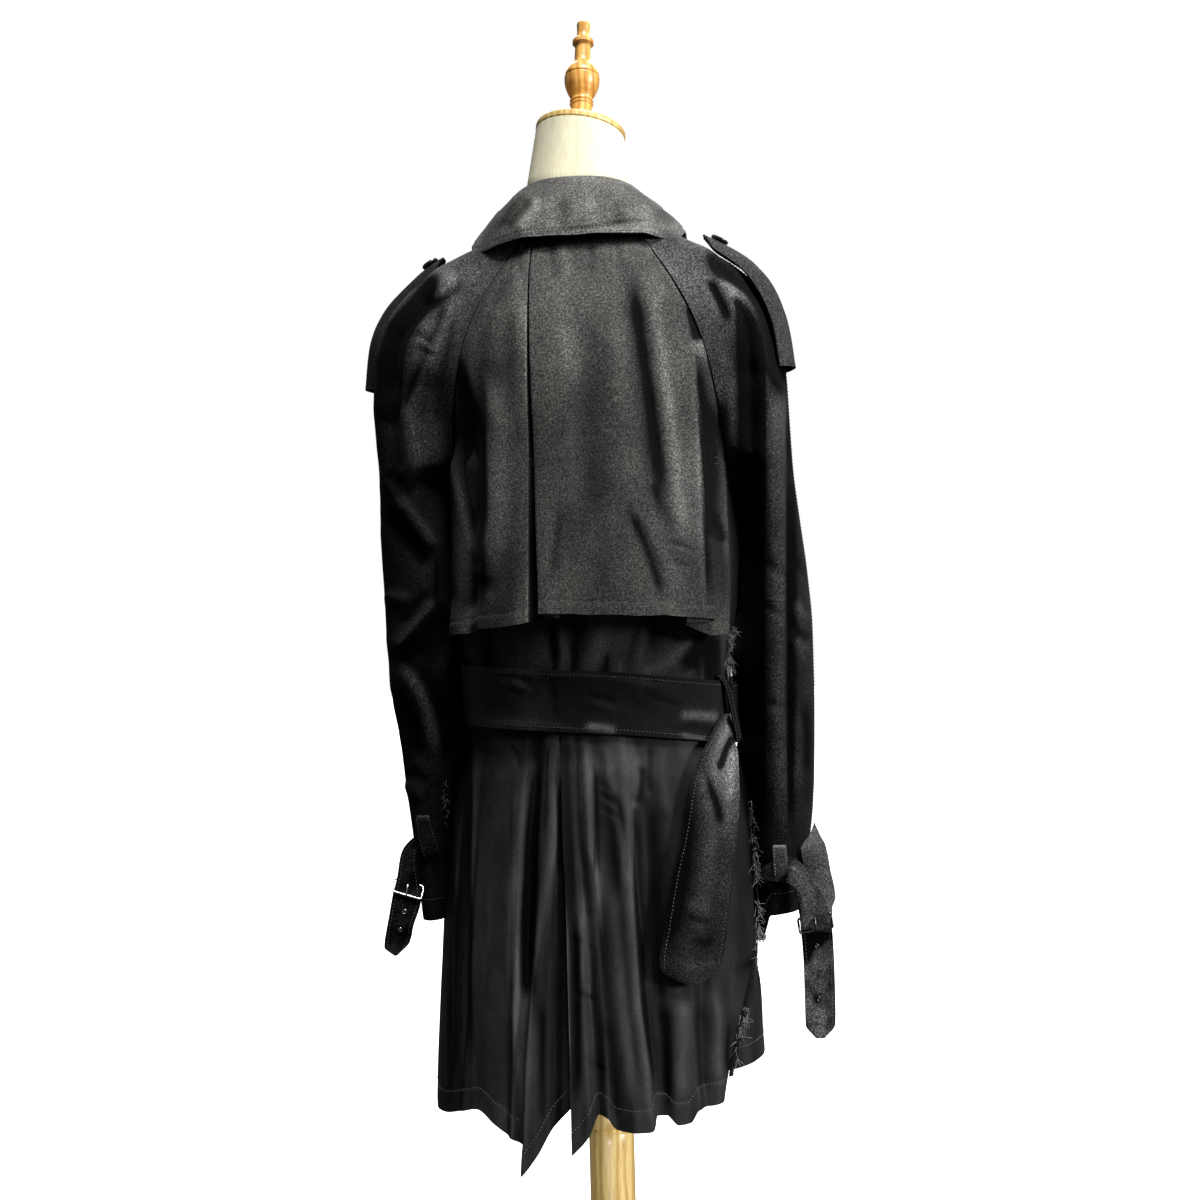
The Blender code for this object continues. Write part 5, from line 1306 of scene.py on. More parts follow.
sleeveLook = dict(
    back=(230, 62), front=(150, 44), hemStitch=0.024,
    foldsLeft=(
        (-11, 11, (437, 272), (421, 302), (406, 320), (393, 342), (388, 372), (386, 412)),
        (-3, 6, 0.2, (424, 308), (444, 296), (465, 281)),
        (2.4, 6, (420, 298), (440, 286), (458, 272)),
        (-1.6, 3, (413, 332), (424, 338), (434, 344)),
        (-1.6, 3, (416, 344), (428, 351), (437, 359)),
        (1.2, 4, (414, 338), (426, 345), (436, 352)),
        (-2.6, 7, (452, 300), (446, 350), (438, 400), (434, 440)),
        (2, 7, (404, 400), (410, 440), (414, 480)),
        (-3, 8, (392, 395), (396, 440), (398, 480)),
        (-1.8, 5, (428, 360), (424, 400), (420, 430)),
        (4.2, 8, 0.5, (398, 494), (414, 518), (426, 536), (437, 554)),
        (-4.6, 8, (388, 508), (404, 534), (420, 554), (432, 572)),
        (-2.6, 6, (384, 470), (396, 480), (414, 498)),
        (4.6, 8, 0.4, (440, 598), (430, 614), (414, 636), (394, 656)),
        (-6, 10, (456, 612), (440, 634), (426, 652), (416, 668)),
        (-3, 6, (432, 590), (416, 608), (398, 628)),
        (3, 6, (384, 594), (396, 598), (412, 600)),
        (4.2, 8, 0.3, (394, 658), (410, 680), (422, 702), (432, 734), (438, 764)),
        (-4.4, 8, (394, 684), (404, 704), (414, 730), (422, 764)),
        (-3, 6, (440, 690), (446, 724), (448, 760)),
        (-2.2, 5, (408, 770), (418, 776), (430, 784)),
        (2, 6, (404, 782), (414, 790), (424, 802)),
    ),
    foldsRight=(
        (-9, 9, (706, 250), (730, 272), (753, 286), (767, 308), (776, 344), (780, 392)),
        (-3, 5, (710, 280), (720, 300), (729, 322)),
        (2.4, 6, (721, 276), (732, 300), (740, 324)),
        (-5, 8, 0.2, (731, 292), (745, 320), (751, 350), (752, 390)),
        (-10, 11, (750, 320), (751, 420), (750, 500), (750, 560), (751, 640), (751, 720), (752, 790),
         (756, 846)),
        (3.2, 8, (776, 320), (778, 400), (777, 500), (777, 600), (776, 700), (777, 800), (779, 850)),
        (2.6, 7, (730, 340), (730, 420), (731, 500), (731, 560), (733, 620)),
        (-4, 4, (786, 330), (790, 420), (790, 520), (789, 620), (789, 720), (790, 850)),
        (2.4, 5, (790, 606), (800, 614), (812, 624)),
        (-2.4, 5, (788, 624), (799, 632), (812, 642)),
        (2, 5, (788, 638), (798, 646), (810, 656)),
        (-2, 5, (790, 556), (800, 566), (814, 582)),
        (2, 6, (790, 470), (800, 500), (806, 540)),
        (-2.4, 6, (724, 590), (736, 610), (748, 634)),
        (2, 6, (728, 630), (738, 654), (744, 690)),
        (-1.8, 5, (766, 560), (776, 572), (786, 580)),
        (-1.6, 4, (764, 604), (774, 612), (786, 616)),
        (-1.6, 4, (768, 700), (778, 706), (788, 706)),
        (-2, 5, (800, 700), (806, 740), (806, 780)),
    ),
    foldsFrontLeft=(  # mm across from the underarm seam, mm over the floor
        (-4, 9, 0.2, (20, 1120), (46, 1090), (84, 1070), (120, 1064)),
        (3, 9, (20, 1098), (50, 1066), (90, 1046)),
        (-4.5, 9, (10, 1000), (44, 980), (84, 976), (124, 990)),
        (3.6, 9, (12, 976), (48, 956), (90, 954), (126, 966)),
        (-4, 8, (14, 950), (52, 930), (92, 932), (124, 944)),
        (-3, 8, (30, 880), (44, 820), (48, 760), (50, 700)),
        (2.4, 9, (70, 880), (76, 810), (78, 740), (80, 680)),
        (-2.6, 8, (100, 900), (104, 830), (102, 760)),
        (-3, 9, (30, 1330), (40, 1270), (60, 1210), (70, 1150)),
        (2.4, 9, (60, 1320), (76, 1260), (96, 1200)),
    ),
    foldsFrontRight=(
        (-4.2, 9, (16, 1110), (50, 1084), (90, 1070), (116, 1070)),
        (3, 9, (18, 1086), (54, 1060), (96, 1046)),
        (-4.6, 9, 0.1, (8, 1010), (42, 986), (80, 980), (116, 992)),
        (3.4, 9, (10, 986), (44, 962), (84, 956), (118, 966)),
        (-4.2, 8, (12, 962), (46, 936), (88, 932), (118, 942)),
        (-3, 8, (36, 890), (46, 830), (50, 770), (52, 690)),
        (2.4, 9, (74, 880), (80, 810), (82, 740), (84, 680)),
        (-2.4, 8, (104, 890), (106, 820), (104, 750)),
        (-3, 9, (28, 1330), (44, 1270), (60, 1210), (66, 1150)),
        (2.4, 9, (56, 1320), (74, 1260), (90, 1200)),
    ),
    uneven=((36, 1.1), (15, 0.5), (7, 0.15)),
    # painted shadow under the left epaulette and in the fold troughs, painted highlights on the ridges
    paintedLightLeft=(
        (-14, 6, (438, 270), (428, 292), (418, 309), (404, 322), (394, 336), (388, 352)),
        (-14, 11, 1, (396, 318), (398, 344), (398, 370), (398, 396), (394, 430)),
        (-4, 5, 0.6, (448, 290), (441, 318), (430, 344), (414, 384), (398, 424)),
        (2, 4, -0.6, (456, 290), (448, 318), (438, 346), (424, 380)),
        (3, 4, (424, 300), (444, 290), (462, 276)),
        (-2, 2, (414, 332), (424, 338), (436, 345)),
        (-2, 2, (416, 346), (427, 352), (437, 360)),
        (1.8, 2, (414, 338), (426, 344), (436, 351)),
        (2, 10, (434, 310), (426, 344), (414, 372)),
        (-5, 9, 1, (380, 476), (396, 506), (416, 532), (436, 556)),
        (3, 3, -1, (381, 472), (398, 502), (418, 528), (437, 550)),
        (2, 12, (424, 440), (418, 474), (418, 500)),
        (-4, 3, (437, 546), (436, 600), (440, 644)),
        (-9, 13, -1, (446, 598), (430, 614), (410, 636), (388, 660)),
        (2.4, 3, 1, (446, 594), (430, 610), (410, 632), (388, 656)),
        (2.2, 4, (394, 652), (410, 678), (424, 704), (434, 740), (438, 772)),
        (-5, 8, -0.6, (412, 656), (430, 690), (442, 724), (447, 768)),
        (-2, 6, (384, 680), (394, 720), (404, 760)),
    ),
    # painted shadow under the right epaulette and down the trough by the body, painted highlights on the lit
    # strip
    paintedLightRight=(
        (-14, 8, 0.2, (700, 246), (714, 259), (730, 271), (750, 280), (764, 292), (772, 310), (779, 340),
         (781, 372), (780, 412)),
        (-10, 10, 1, (742, 290), (756, 326), (762, 372), (763, 440), (762, 560), (762, 680), (763, 780),
         (764, 866)),
        (-12, 8, 0.6, (736, 296), (748, 322), (752, 350), (755, 400), (757, 460), (757, 520)),
        (-6, 4, (707, 276), (718, 298), (730, 326)),
        (-6, 4, (731, 294), (742, 312), (748, 334)),
        (3, 8, (777, 330), (777, 420), (776, 520), (775, 640), (775, 760), (777, 850)),
        (-7, 5, -1, (787, 350), (788, 500), (788, 640), (788, 760), (789, 866)),
        (4, 5, (797, 596), (801, 614), (807, 634)),
        (3.4, 4, (796, 636), (799, 650), (806, 662)),
        (5, 6, (720, 320), (726, 400), (728, 470), (729, 560), (731, 620)),
        (1.8, 6, (720, 270), (736, 292), (744, 310)),
        (-3, 6, (806, 690), (808, 750), (806, 820)),
        (2.6, 4, (800, 690), (797, 740), (796, 800)),
    ),
)


def cubicArc(first, firstPull, lastPull, last, share):
    rest = 1 - share
    middle = firstPull * (3 * rest * rest * share) + lastPull * (3 * rest * share * share)
    return first * rest**3 + middle + last * share**3


def place3(x, y, z):
    return np.stack(np.broadcast_arrays(np.asarray(x, float), y, z), -1)


def sleevePlace(rows, side, back, z, share, out=0.0):
    z, share = np.broadcast_arrays(np.asarray(z, float), np.asarray(share, float))
    deep, middle = read(rows, "back" if back > 0 else "front", z), read(rows, "middle", z)
    gap = back * seamGap / 2
    outerX = read(rows, "outer", z)
    outer = place3(outerX, middle + gap, z)
    pull = place3(0 * z, back * deep * 1.3, 0 * z)
    low = place3(read(rows, "inner", z), middle + gap, z)
    x = read(raglan, "x", z) + (seamGap if back > 0 else 3 * seamGap)
    onSeam = onBack if back > 0 else onFront
    high = onSeam(coat, x, z)
    along = high - onSeam(coat, x - 0.006, z)
    along /= np.maximum(np.linalg.norm(along, axis=-1, keepdims=True), 1e-9)
    flare = np.clip((z - underarm) / 0.09, 0, 1)[..., None]
    lowPull = place3(high[..., 0], middle + back * deep * 1.3, z)
    highPull = mix(lowPull, high + along * ((outerX - x) * 0.45)[..., None], flare)
    arm = ease((z - (underarm - 0.014)) / 0.024)[..., None]
    inner, innerPull = mix(low, high, arm), mix(low + pull, highPull, arm)
    ends = (inner, innerPull, outer + pull, outer)
    share = share[..., None]
    point = cubicArc(*ends, share)
    if np.any(out):
        run = cubicArc(*ends, np.minimum(share + 0.02, 1)) - cubicArc(*ends, np.maximum(share - 0.02, 0))
        away = np.cross(run, [0, 0, 1.0]) * -back
        away = away / np.maximum(np.linalg.norm(away, axis=-1, keepdims=True), 1e-9)
        point = point + away * np.asarray(out)[..., None]
    return point * np.array([side, 1, 1])


def makeSleeve(side):
    hand = handOf(side)
    rows = sleeveLeft if side > 0 else sleeveRight
    look = {key: sleeveLook[key + hand.title()] for key in ("folds", "foldsFront", "paintedLight")}
    for back, part in ((1, "back"), (-1, "front")):
        levels, columns = sleeveLook[part]
        share = np.linspace(0, 1, columns)[None, :]
        hem = read(sleeveHems, hand, share)
        grid = sleevePlace(rows, side, back, mix(1.397, hem, np.linspace(0, 1, levels)[:, None]), share)
        away = facing(grid, (0, back, 0))
        away = np.stack([smoothed(away[..., k], 6) for k in range(3)], -1)
        if back > 0:
            field = foldHeights(inFrame(grid), look["folds"], sleeveLook["uneven"], 51 + side)
        else:
            field = foldHeights(clothWays(grid), look["foldsFront"], sleeveLook["uneven"], 61 + side)
        atRaglan = mix(1.0, ease(share / 0.1), ease((grid[..., 2] - underarm) / 0.02))
        field = field * atRaglan * ease(share / 0.03 + 0.25) * ease((1 - share) / 0.08)
        grid = grid + away * field[..., None]
        normal = facing(grid, (0, back, 0))
        # painted light: paler towards the shoulders and darker down the arm; on the right, painted shade at
        # the cuff
        top = ease((grid[..., 2] - 1.12) / 0.24)
        paintedLit = mix(0.06, 0.94, top)
        if side < 0:
            paintedLit = mix(0.02, mix(0.15, 1.0, top), ease((grid[..., 2] - 0.73) / 0.06))
        runs = [("bottom", sleeveLook["hemStitch"]), ("right", 0.0022, 0.05, 1.0)]
        if back > 0:
            # painted highlights and painted shadows added on the back half
            field = field + paintedLightLines(grid, look["paintedLight"])
            runs.append(("left", 0.003, 0.0, 0.33))
            backs[side] = (grid, normal)
        under = ["form_body", f"front_{hand}"]
        sewnCloth(f"sleeve {hand} {part}", grid, normal, (0.175, 0.76), "hung", under, runs, wear=field,
                  faded=paintedLit)


backs = {}  # each sleeve's back half, kept for the loose threads on it
for side in (1, -1):
    makeSleeve(side)
print("sleeves made")


# The collar, turned down over its stand

collarShape = rowsOf(
    "angle fold foldZ edgeX edgeY edgeZ",
    (0.0, 0.0618, 1.45, 0.000, 0.106, 1.378),
    (30.0, 0.0618, 1.45, 0.055, 0.096, 1.379),
    (60.0, 0.0618, 1.448, 0.095, 0.062, 1.378),
    (75.0, 0.0618, 1.4455, 0.106, 0.036, 1.383),
    (90.0, 0.0618, 1.442, 0.112, 0.005, 1.395),
    (120.0, 0.061, 1.428, 0.106, -0.056, 1.38),
    (140.0, 0.06, 1.408, 0.094, -0.093, 1.356),
    (155.0, 0.059, 1.388, 0.08, -0.113, 1.336),
)
collarLook = dict(
    centre=0.009, columns=190, levels=46, stitch=0.0085, bulge=0.0072, wall=0.0014,
    folds=(
        (-3.2, 6, -0.3, (530, 198), (521, 210), (511, 221), (503, 231)),
        (2.2, 6, 0.2, (541, 198), (532, 212), (522, 226), (515, 236)),
        (-1.6, 7, (560, 196), (562, 212), (560, 230)),
        (1.3, 9, (586, 200), (588, 214), (588, 230)),
        (-1.4, 8, (614, 200), (617, 214), (620, 230)),
        (1.6, 8, (640, 204), (646, 216), (652, 228)),
        (-1.8, 6, (660, 206), (668, 216), (676, 226)),
        (-1.2, 5, (516, 200), (508, 206), (500, 214)),
        (1.2, 3.5, (500, 238), (560, 240), (620, 236), (678, 228)),
    ),
    uneven=((30, 1.0), (12, 0.45), (6, 0.18)),
    # painted shade in the collar's folds and along its lower edge, painted highlights beside them
    paintedLight=(
        (-2.6, 4, (528, 190), (516, 204), (505, 218), (494, 234)),
        (1.2, 5, (541, 196), (530, 210), (519, 226)),
        (-1.6, 2, (490, 240), (560, 230), (620, 222), (676, 218)),
        (1.6, 3, (500, 246), (560, 236), (620, 228), (678, 226)),
    ),
)


def roundNeck(angle, radius, z):
    turn = np.radians(angle)
    return place3(collarLook["centre"] + radius * np.sin(turn), radius * np.cos(turn), z)


def makeCollarStand():
    angle = np.linspace(-140, 140, 120)[None, :]
    height = np.linspace(0, 1, 8)[:, None]
    foldZ = read(collarShape, "foldZ", np.abs(angle)) - 0.002
    seamZ = np.minimum(1.405, foldZ - 0.01)
    grid = roundNeck(angle, mix(0.068, 0.0605, height), mix(seamZ, foldZ, height))
    sewnCloth("collar stand", grid, facing(grid), (0.325, 0.036), "folded", ["back_body"])


def makeCollar():
    look = collarLook
    angle = np.linspace(-155, 155, look["columns"])[None, :]
    down = np.linspace(0, 1, look["levels"])[:, None]
    turn = np.abs(angle)
    fold = roundNeck(angle, read(collarShape, "fold", turn) + 0.0015, read(collarShape, "foldZ", turn))
    lower = np.where(angle > 0, ease((turn - 25) / 40) * ease((135 - turn) / 35), 0)
    edgeX = look["centre"] * 0.5 + np.sign(angle) * (read(collarShape, "edgeX", turn) + 0.01 * lower)
    edge = place3(edgeX, read(collarShape, "edgeY", turn), read(collarShape, "edgeZ", turn) - 0.006 * lower)
    size = np.linalg.norm(edge - fold, axis=-1)
    away = fold - np.array([look["centre"], 0, 0])
    away[..., 2] = 0.02
    away /= np.linalg.norm(away, axis=-1, keepdims=True)
    bulge = look["bulge"] * np.sin(np.pi * down) * size / 0.075 - 0.0012 * bump(down / 0.03)
    grid = mix(fold, edge, down[..., None]) + away * bulge[..., None]
    behind = ease((grid[..., 1] + 0.02) / 0.03) * ease(down / 0.08)
    field = foldHeights(inFrame(grid), look["folds"], look["uneven"], 91) * behind
    places = np.stack([angle * 1.6 + 0 * down, 0 * angle + 0 * down], -1)
    flutter = rumple(places, 17, 93) * 0.0016 * ease((down - 0.6) / 0.4)
    grid = grid + facing(grid) * (field + np.maximum(flutter, -0.0008))[..., None]
    # painted light: the collar's left side darker, its right paler
    paintedLit = 0.68 - 0.18 * ease((grid[..., 0] - 0.02) / 0.06)
    runs = [("bottom", look["stitch"]), *bothEdges(0.008, 0.1, 1.0), ("bottom", 0.0022)]
    # painted shading from the folds and painted light lines
    shadingPaint = field + paintedLightLines(grid, look["paintedLight"]) * behind
    sewnCloth("collar", grid, facing(grid), (0.52, 0.085), "folded", ["collar_stand"], runs,
              wall=look["wall"], finish=capeCloth, node="collar_fall", wear=shadingPaint, faded=paintedLit)


makeCollarStand()
makeCollar()
print("collar made")


# Epaulettes

epauletteLeft = rowsOf(
    "along x z half drop",
    (0.0, 0.16, 1.379, 0.006, 0.001),
    (1.0, 0.176, 1.37, 0.021, 0.007),
    (2.0, 0.201, 1.35, 0.024, 0.0095),
    (3.0, 0.229, 1.32, 0.025, 0.0105),
    (4.0, 0.244, 1.286, 0.026, 0.0095),
    (5.0, 0.251, 1.236, 0.026, 0.0115),
)
epauletteRight = rowsOf(
    "along x z half drop",
    (0.0, 0.127, 1.39, 0.006, 0.001),
    (1.0, 0.145, 1.381, 0.021, 0.008),
    (2.0, 0.18, 1.357, 0.024, 0.01),
    (3.0, 0.202, 1.328, 0.025, 0.011),
    (4.0, 0.216, 1.286, 0.026, 0.01),
    (5.0, 0.222, 1.242, 0.026, 0.01),
)
epauletteLook = dict(middle=0.006, levels=96, columns=26, stitch=0.0045)


def epauletteFrame(rows, side, along):
    along = np.asarray(along, float)
    here, before, after = (
        place3(side * read(rows, "x", t), epauletteLook["middle"], read(rows, "z", t))
        for t in (along, np.maximum(along - 0.05, 0), np.minimum(along + 0.05, 5)))
    away = np.cross(after - before, [0, side, 0])
    away /= np.linalg.norm(away, axis=-1, keepdims=True)
    return here, away * np.where(away[..., 2:] < 0, -1, 1)


def makeEpaulette(side):
    hand, rows = ("left", epauletteLeft) if side > 0 else ("right", epauletteRight)
    along = [np.linspace(0, 0.35, 12), np.linspace(0.4, 5, epauletteLook["levels"] - 12)]
    along = np.concatenate(along)[:, None]
    w = np.linspace(-1, 1, epauletteLook["columns"])[None, :]
    here, away = epauletteFrame(rows, side, along)
    behind = ease(w / 0.5)
    half = read(rows, "half", along) * (1 + 0.3 * behind)
    drop = read(rows, "drop", along) * (1 + (1.5 if side > 0 else 0.6) * behind * ease(along / 1.2))
    places = np.stack(np.broadcast_arrays(along * 24, half * w * 1000), -1)
    lumps = rumple(places, 22, 101 + side) * 0.0006 + rumple(places, 9, 103 + side) * 0.0002
    grid = here + place3(0 * w, half * w, 0 * w) + away * (np.abs(lumps) - drop * w * w)[..., None]
    under = [f"sleeve_{hand}_back", f"sleeve_{hand}_front"]
    # painted light: the left epaulette darker, in shade, the right paler
    sewnCloth(f"epaulette {hand}", grid, facing(grid, (0, 0, 1)), (0.062, 0.185), "laid", under,
              bothEdges(epauletteLook["stitch"]), wall=strapWall, faded=0.26 if side > 0 else 0.55)
    here, away = epauletteFrame(rows, side, 0.9)
    makeButton(f"epaulette {hand} button", here + away * (strapWall / 2 + hairGap), away,
               f"epaulette_button_{hand}", buttonLook["small"])


for side in (1, -1):
    makeEpaulette(side)
print("epaulettes made")


# The belt, its hanging end and its loops

beltLevel = rowsOf(
    "angle low",
    (-90.0, 0.838),
    (-45.0, 0.845),
    (0.0, 0.856),
    (45.0, 0.863),
    (90.0, 0.868),
    (180.0, 0.856),
    (290.0, 0.839),
)
beltLook = dict(
    width=0.064, start=-69.5, end=287.0, out=0.0058, columns=300, levels=24, stitch=0.0045,
    folds=(
        (-1.8, 3.5, (492, 676), (508, 676), (534, 684)),
        (1.5, 3.5, (496, 682), (512, 684), (534, 692)),
        (-1.6, 3, (502, 682), (510, 688), (522, 695)),
        (-1.6, 3.5, (582, 694), (600, 698), (619, 705)),
        (1.4, 3.5, (584, 701), (602, 706), (620, 712)),
        (1.8, 5, (584, 728), (600, 729), (616, 730)),
        (-1.6, 3.5, (584, 738), (600, 742), (616, 741)),
        (1.6, 5, (682, 716), (700, 717), (718, 718)),
        (-1.6, 4, (640, 690), (660, 700), (684, 706)),
        (-1.4, 5, (550, 672), (552, 698), (556, 724)),
        (-1.2, 4, (660, 720), (672, 728), (690, 732)),
    ),
    uneven=((30, 0.8), (11, 0.35)),
    # painted highlights on the belt's lit patches and painted shade below them
    paintedLight=(
        (9, 4, (582, 726), (600, 728), (618, 731)),
        (-6, 3, (580, 737), (600, 741), (622, 741)),
        (5, 5, (676, 715), (698, 716), (722, 718)),
        (6, 2, (678, 734), (694, 737), (710, 741)),
        (-3, 4, (682, 724), (700, 727), (718, 730)),
        (1.6, 3, (470, 720), (530, 722), (580, 728)),
        (1.4, 3, (470, 668), (530, 670), (600, 676), (690, 690)),
        (-2, 8, (618, 690), (650, 702), (684, 712)),
    ),
)


def beltPlace(angle, share, out=0.0):
    z = read(beltLevel, "low", angle) + beltLook["width"] * share
    front = frontOverlap * np.clip((angle - 90) / 30, 0, 1) * np.clip((285 - angle) / 30 + 1.0, 0, 1)
    return outline(coat, z, angle, beltLook["out"] + front + out)


def makeBelt():
    look = beltLook
    angle = np.linspace(look["start"], look["end"], look["columns"])[None, :]
    share = np.linspace(1, 0, look["levels"])[:, None]
    grid = beltPlace(angle, share, 0.0012 * (1 - np.abs(2 * share - 1) ** 4))
    away = outwards(coat, grid)
    behind = ease((grid[..., 1] + 0.02) / 0.04)
    ends = ease((angle - look["start"]) / 6) * ease((look["end"] - angle) / 6)
    field = foldHeights(inFrame(grid), look["folds"], look["uneven"], 111)
    field = np.maximum(field, -0.0022) * ends * behind
    places = np.stack(np.broadcast_arrays(angle * 2.4, share * 64), -1)
    front = rumple(places, 26, 113) * 0.0006 * (1 - behind) * ends
    grid = grid + away * (field + front)[..., None]
    paintedLight = paintedLightLines(grid, look["paintedLight"])
    # painted light: paler towards the wearer's left, raised further by the painted highlights
    paintedLit = 0.1 + 0.95 * ease((grid[..., 0] - 0.02) / 0.09) + np.maximum(paintedLight, 0) * 120
    under = ["back_body", "front_left", "front_right"]
    runs = [(edge, look["stitch"]) for edge in ("top", "bottom")]
    sewnCloth("belt", grid, facing(grid), (0.81, 0.064), "stretched", under, runs, wall=strapWall,
              finish=beltCloth, wear=field + paintedLight * behind, faded=np.clip(paintedLit, 0, 1))


beltTail = rowsOf(
    "z left right out",
    (0.599, -0.09, -0.102, 0.015),
    (0.62, -0.066, -0.122, 0.015),
    (0.66, -0.072, -0.128, 0.015),
    (0.716, -0.082, -0.134, 0.015),
    (0.76, -0.092, -0.138, 0.015),
    (0.795, -0.097, -0.14, 0.014),
    (0.822, -0.104, -0.139, 0.0135),
    (0.851, -0.117, -0.1355, 0.012),
    (0.875, -0.129, -0.1345, 0.0115),
)
tailLook = dict(
    levels=130, columns=34, stitch=0.0045,
    folds=(
        (-2.4, 5, (733, 735), (726, 752), (716, 772)),
        (2.4, 5, (722, 734), (714, 750), (706, 768)),
        (-3, 6, 0.2, (700, 755), (709, 784), (718, 812), (721, 832)),
        (2.6, 7, (712, 830), (706, 870), (700, 908), (698, 950)),
        (-2.6, 7, -0.2, (690, 800), (688, 850), (682, 900), (676, 950)),
        (1.8, 5, (724, 800), (727, 850), (722, 910)),
        (-1.2, 4, (686, 918), (696, 922), (710, 926)),
        (1.4, 5, (686, 906), (698, 909), (708, 911)),
    ),
    uneven=((20, 0.8), (8, 0.3)),
    # painted highlights on the tail's top and folds, painted shade in its slit and along its left edge
    paintedLight=(
        (5, 8, (728, 706), (712, 744), (702, 776), (698, 800)),
        (-9, 3, (735, 732), (726, 750), (717, 774)),
        (3.2, 5, (732, 740), (731, 770), (728, 806)),
        (-3.4, 4, (700, 752), (709, 784), (719, 812), (722, 834)),
        (-5, 8, (686, 780), (681, 850), (673, 910), (663, 966)),
        (1.8, 9, (712, 820), (706, 870), (702, 930)),
        (3.4, 4, (684, 903), (697, 906), (710, 909)),
        (-3, 3, (686, 914), (698, 919), (712, 920)),
        (2.8, 6, (684, 962), (698, 966), (716, 958)),
        (-3, 5, (690, 936), (704, 942), (716, 936)),
    ),
)


def makeTail():
    look = tailLook
    z = [np.linspace(0.871, 0.63, look["levels"] - 22), np.linspace(0.628, 0.599, 22)]
    z = np.concatenate(z)[:, None]
    share = np.linspace(0, 1, look["columns"])[None, :]
    fold = 0.003 * np.sin(math.tau * share) * np.minimum((z - 0.599) / 0.1, 1.0)
    x = mix(read(beltTail, "left", z), read(beltTail, "right", z), share)
    grid = onBack(coat, x, z, read(beltTail, "out", z) + fold)
    field = foldHeights(inFrame(grid), look["folds"], look["uneven"], 121)
    grid = grid + outwards(coat, grid) * field[..., None]
    # painted light: paler towards the top, darker towards its left edge
    paintedLit = mix(0.11, 0.92, ease((z - 0.72) / 0.1)) * ease((share - 0.05) / 0.5)
    # painted shading from the folds and painted light lines
    shadingPaint = field + paintedLightLines(grid, look["paintedLight"])
    sewnCloth("belt tail", grid, facing(grid, (0, 1, 0)), (0.058, 0.275), "hung", ["belt_loop_right"],
              bothEdges(look["stitch"], 0.04, 0.9), wall=strapWall, wear=shadingPaint, faded=paintedLit)


loopLeft = ((0.86, 78.0, 0.0016), (0.864, 78.0, 0.009), (0.874, 78.0, 0.015), (0.9, 78.0, 0.016),
            (0.926, 78.0, 0.015), (0.935, 78.0, 0.0095), (0.94, 78.0, 0.0016))
loopRight = ((0.841, -71.5, 0.0142), (0.85, -71.0, 0.0165), (0.87, -69.0, 0.0172), (0.892, -66.5, 0.015),
             (0.905, -65.5, 0.01), (0.912, -65.0, 0.0016))


def makeLoop(hand, path, half, length):
    z, angle, out = (smoothLine(np.array(path)[::-1], 40)[:, k][:, None] for k in range(3))
    w = np.linspace(-1, 1, 9)[None, :]
    wide = np.degrees(half / read(coat, "half", z))
    grid = outline(coat, z + 0 * w, angle + wide * w, out - 0.0006 * w * w)
    runs = bothEdges(0.0014)
    sewnCloth(f"belt loop {hand}", grid, facing(grid), (2 * half, length), "laid", ["belt"], runs,
              finish=beltCloth)


makeBelt()
makeTail()
makeLoop("left", loopLeft, 0.0052, 0.105)
makeLoop("right", loopRight, 0.0052, 0.085)
print("belt made")


# Cuff straps, their keepers, buckles and eyelets

strapLeft = (  # down the strap: its outer edge x and z, its other edge x and z, and its depth y
    (0.209, 0.741, 0.202, 0.727, 0.024),
    (0.22, 0.728, 0.2045, 0.714, 0.021),
    (0.2235, 0.716, 0.203, 0.703, 0.02),
    (0.226, 0.7, 0.201, 0.688, 0.021),
    (0.23, 0.685, 0.2, 0.676, 0.022),
    (0.237, 0.653, 0.209, 0.647, 0.021),
    (0.243, 0.624, 0.215, 0.628, 0.016),
    (0.232, 0.614, 0.229, 0.614, 0.016),
)
strapRight = (
    (0.205, 0.715, 0.199, 0.6885, 0.0255),
    (0.214, 0.709, 0.204, 0.685, 0.025),
    (0.2262, 0.692, 0.2075, 0.67, 0.022),
    (0.2348, 0.6755, 0.2095, 0.658, 0.019),
    (0.2416, 0.656, 0.2105, 0.646, 0.015),
    (0.2444, 0.64, 0.2112, 0.634, 0.0115),
    (0.2452, 0.625, 0.212, 0.623, 0.0095),
    (0.2458, 0.593, 0.213, 0.592, 0.008),
    (0.2458, 0.561, 0.213, 0.561, 0.006),
    (0.245, 0.535, 0.213, 0.535, 0.006),
    (0.233, 0.52, 0.224, 0.52, 0.006),
)
strapFlare = (  # outer edge x, z, y, then inner edge x, z, y
    (0.228, 0.748, -0.024, 0.2265, 0.74, -0.018),
    (0.233, 0.736, -0.022, 0.22, 0.733, 0.000),
    (0.239, 0.724, -0.02, 0.2135, 0.723, 0.015),
    (0.242, 0.71, -0.02, 0.215, 0.709, 0.004),
    (0.244, 0.697, -0.02, 0.219, 0.695, -0.008),
    (0.248, 0.678, -0.018, 0.23, 0.679, -0.014),
    (0.249, 0.668, -0.014, 0.234, 0.668, -0.012),
    (0.245, 0.656, -0.008, 0.236, 0.656, -0.008),
    (0.245, 0.644, -0.003, 0.238, 0.644, -0.003),
)
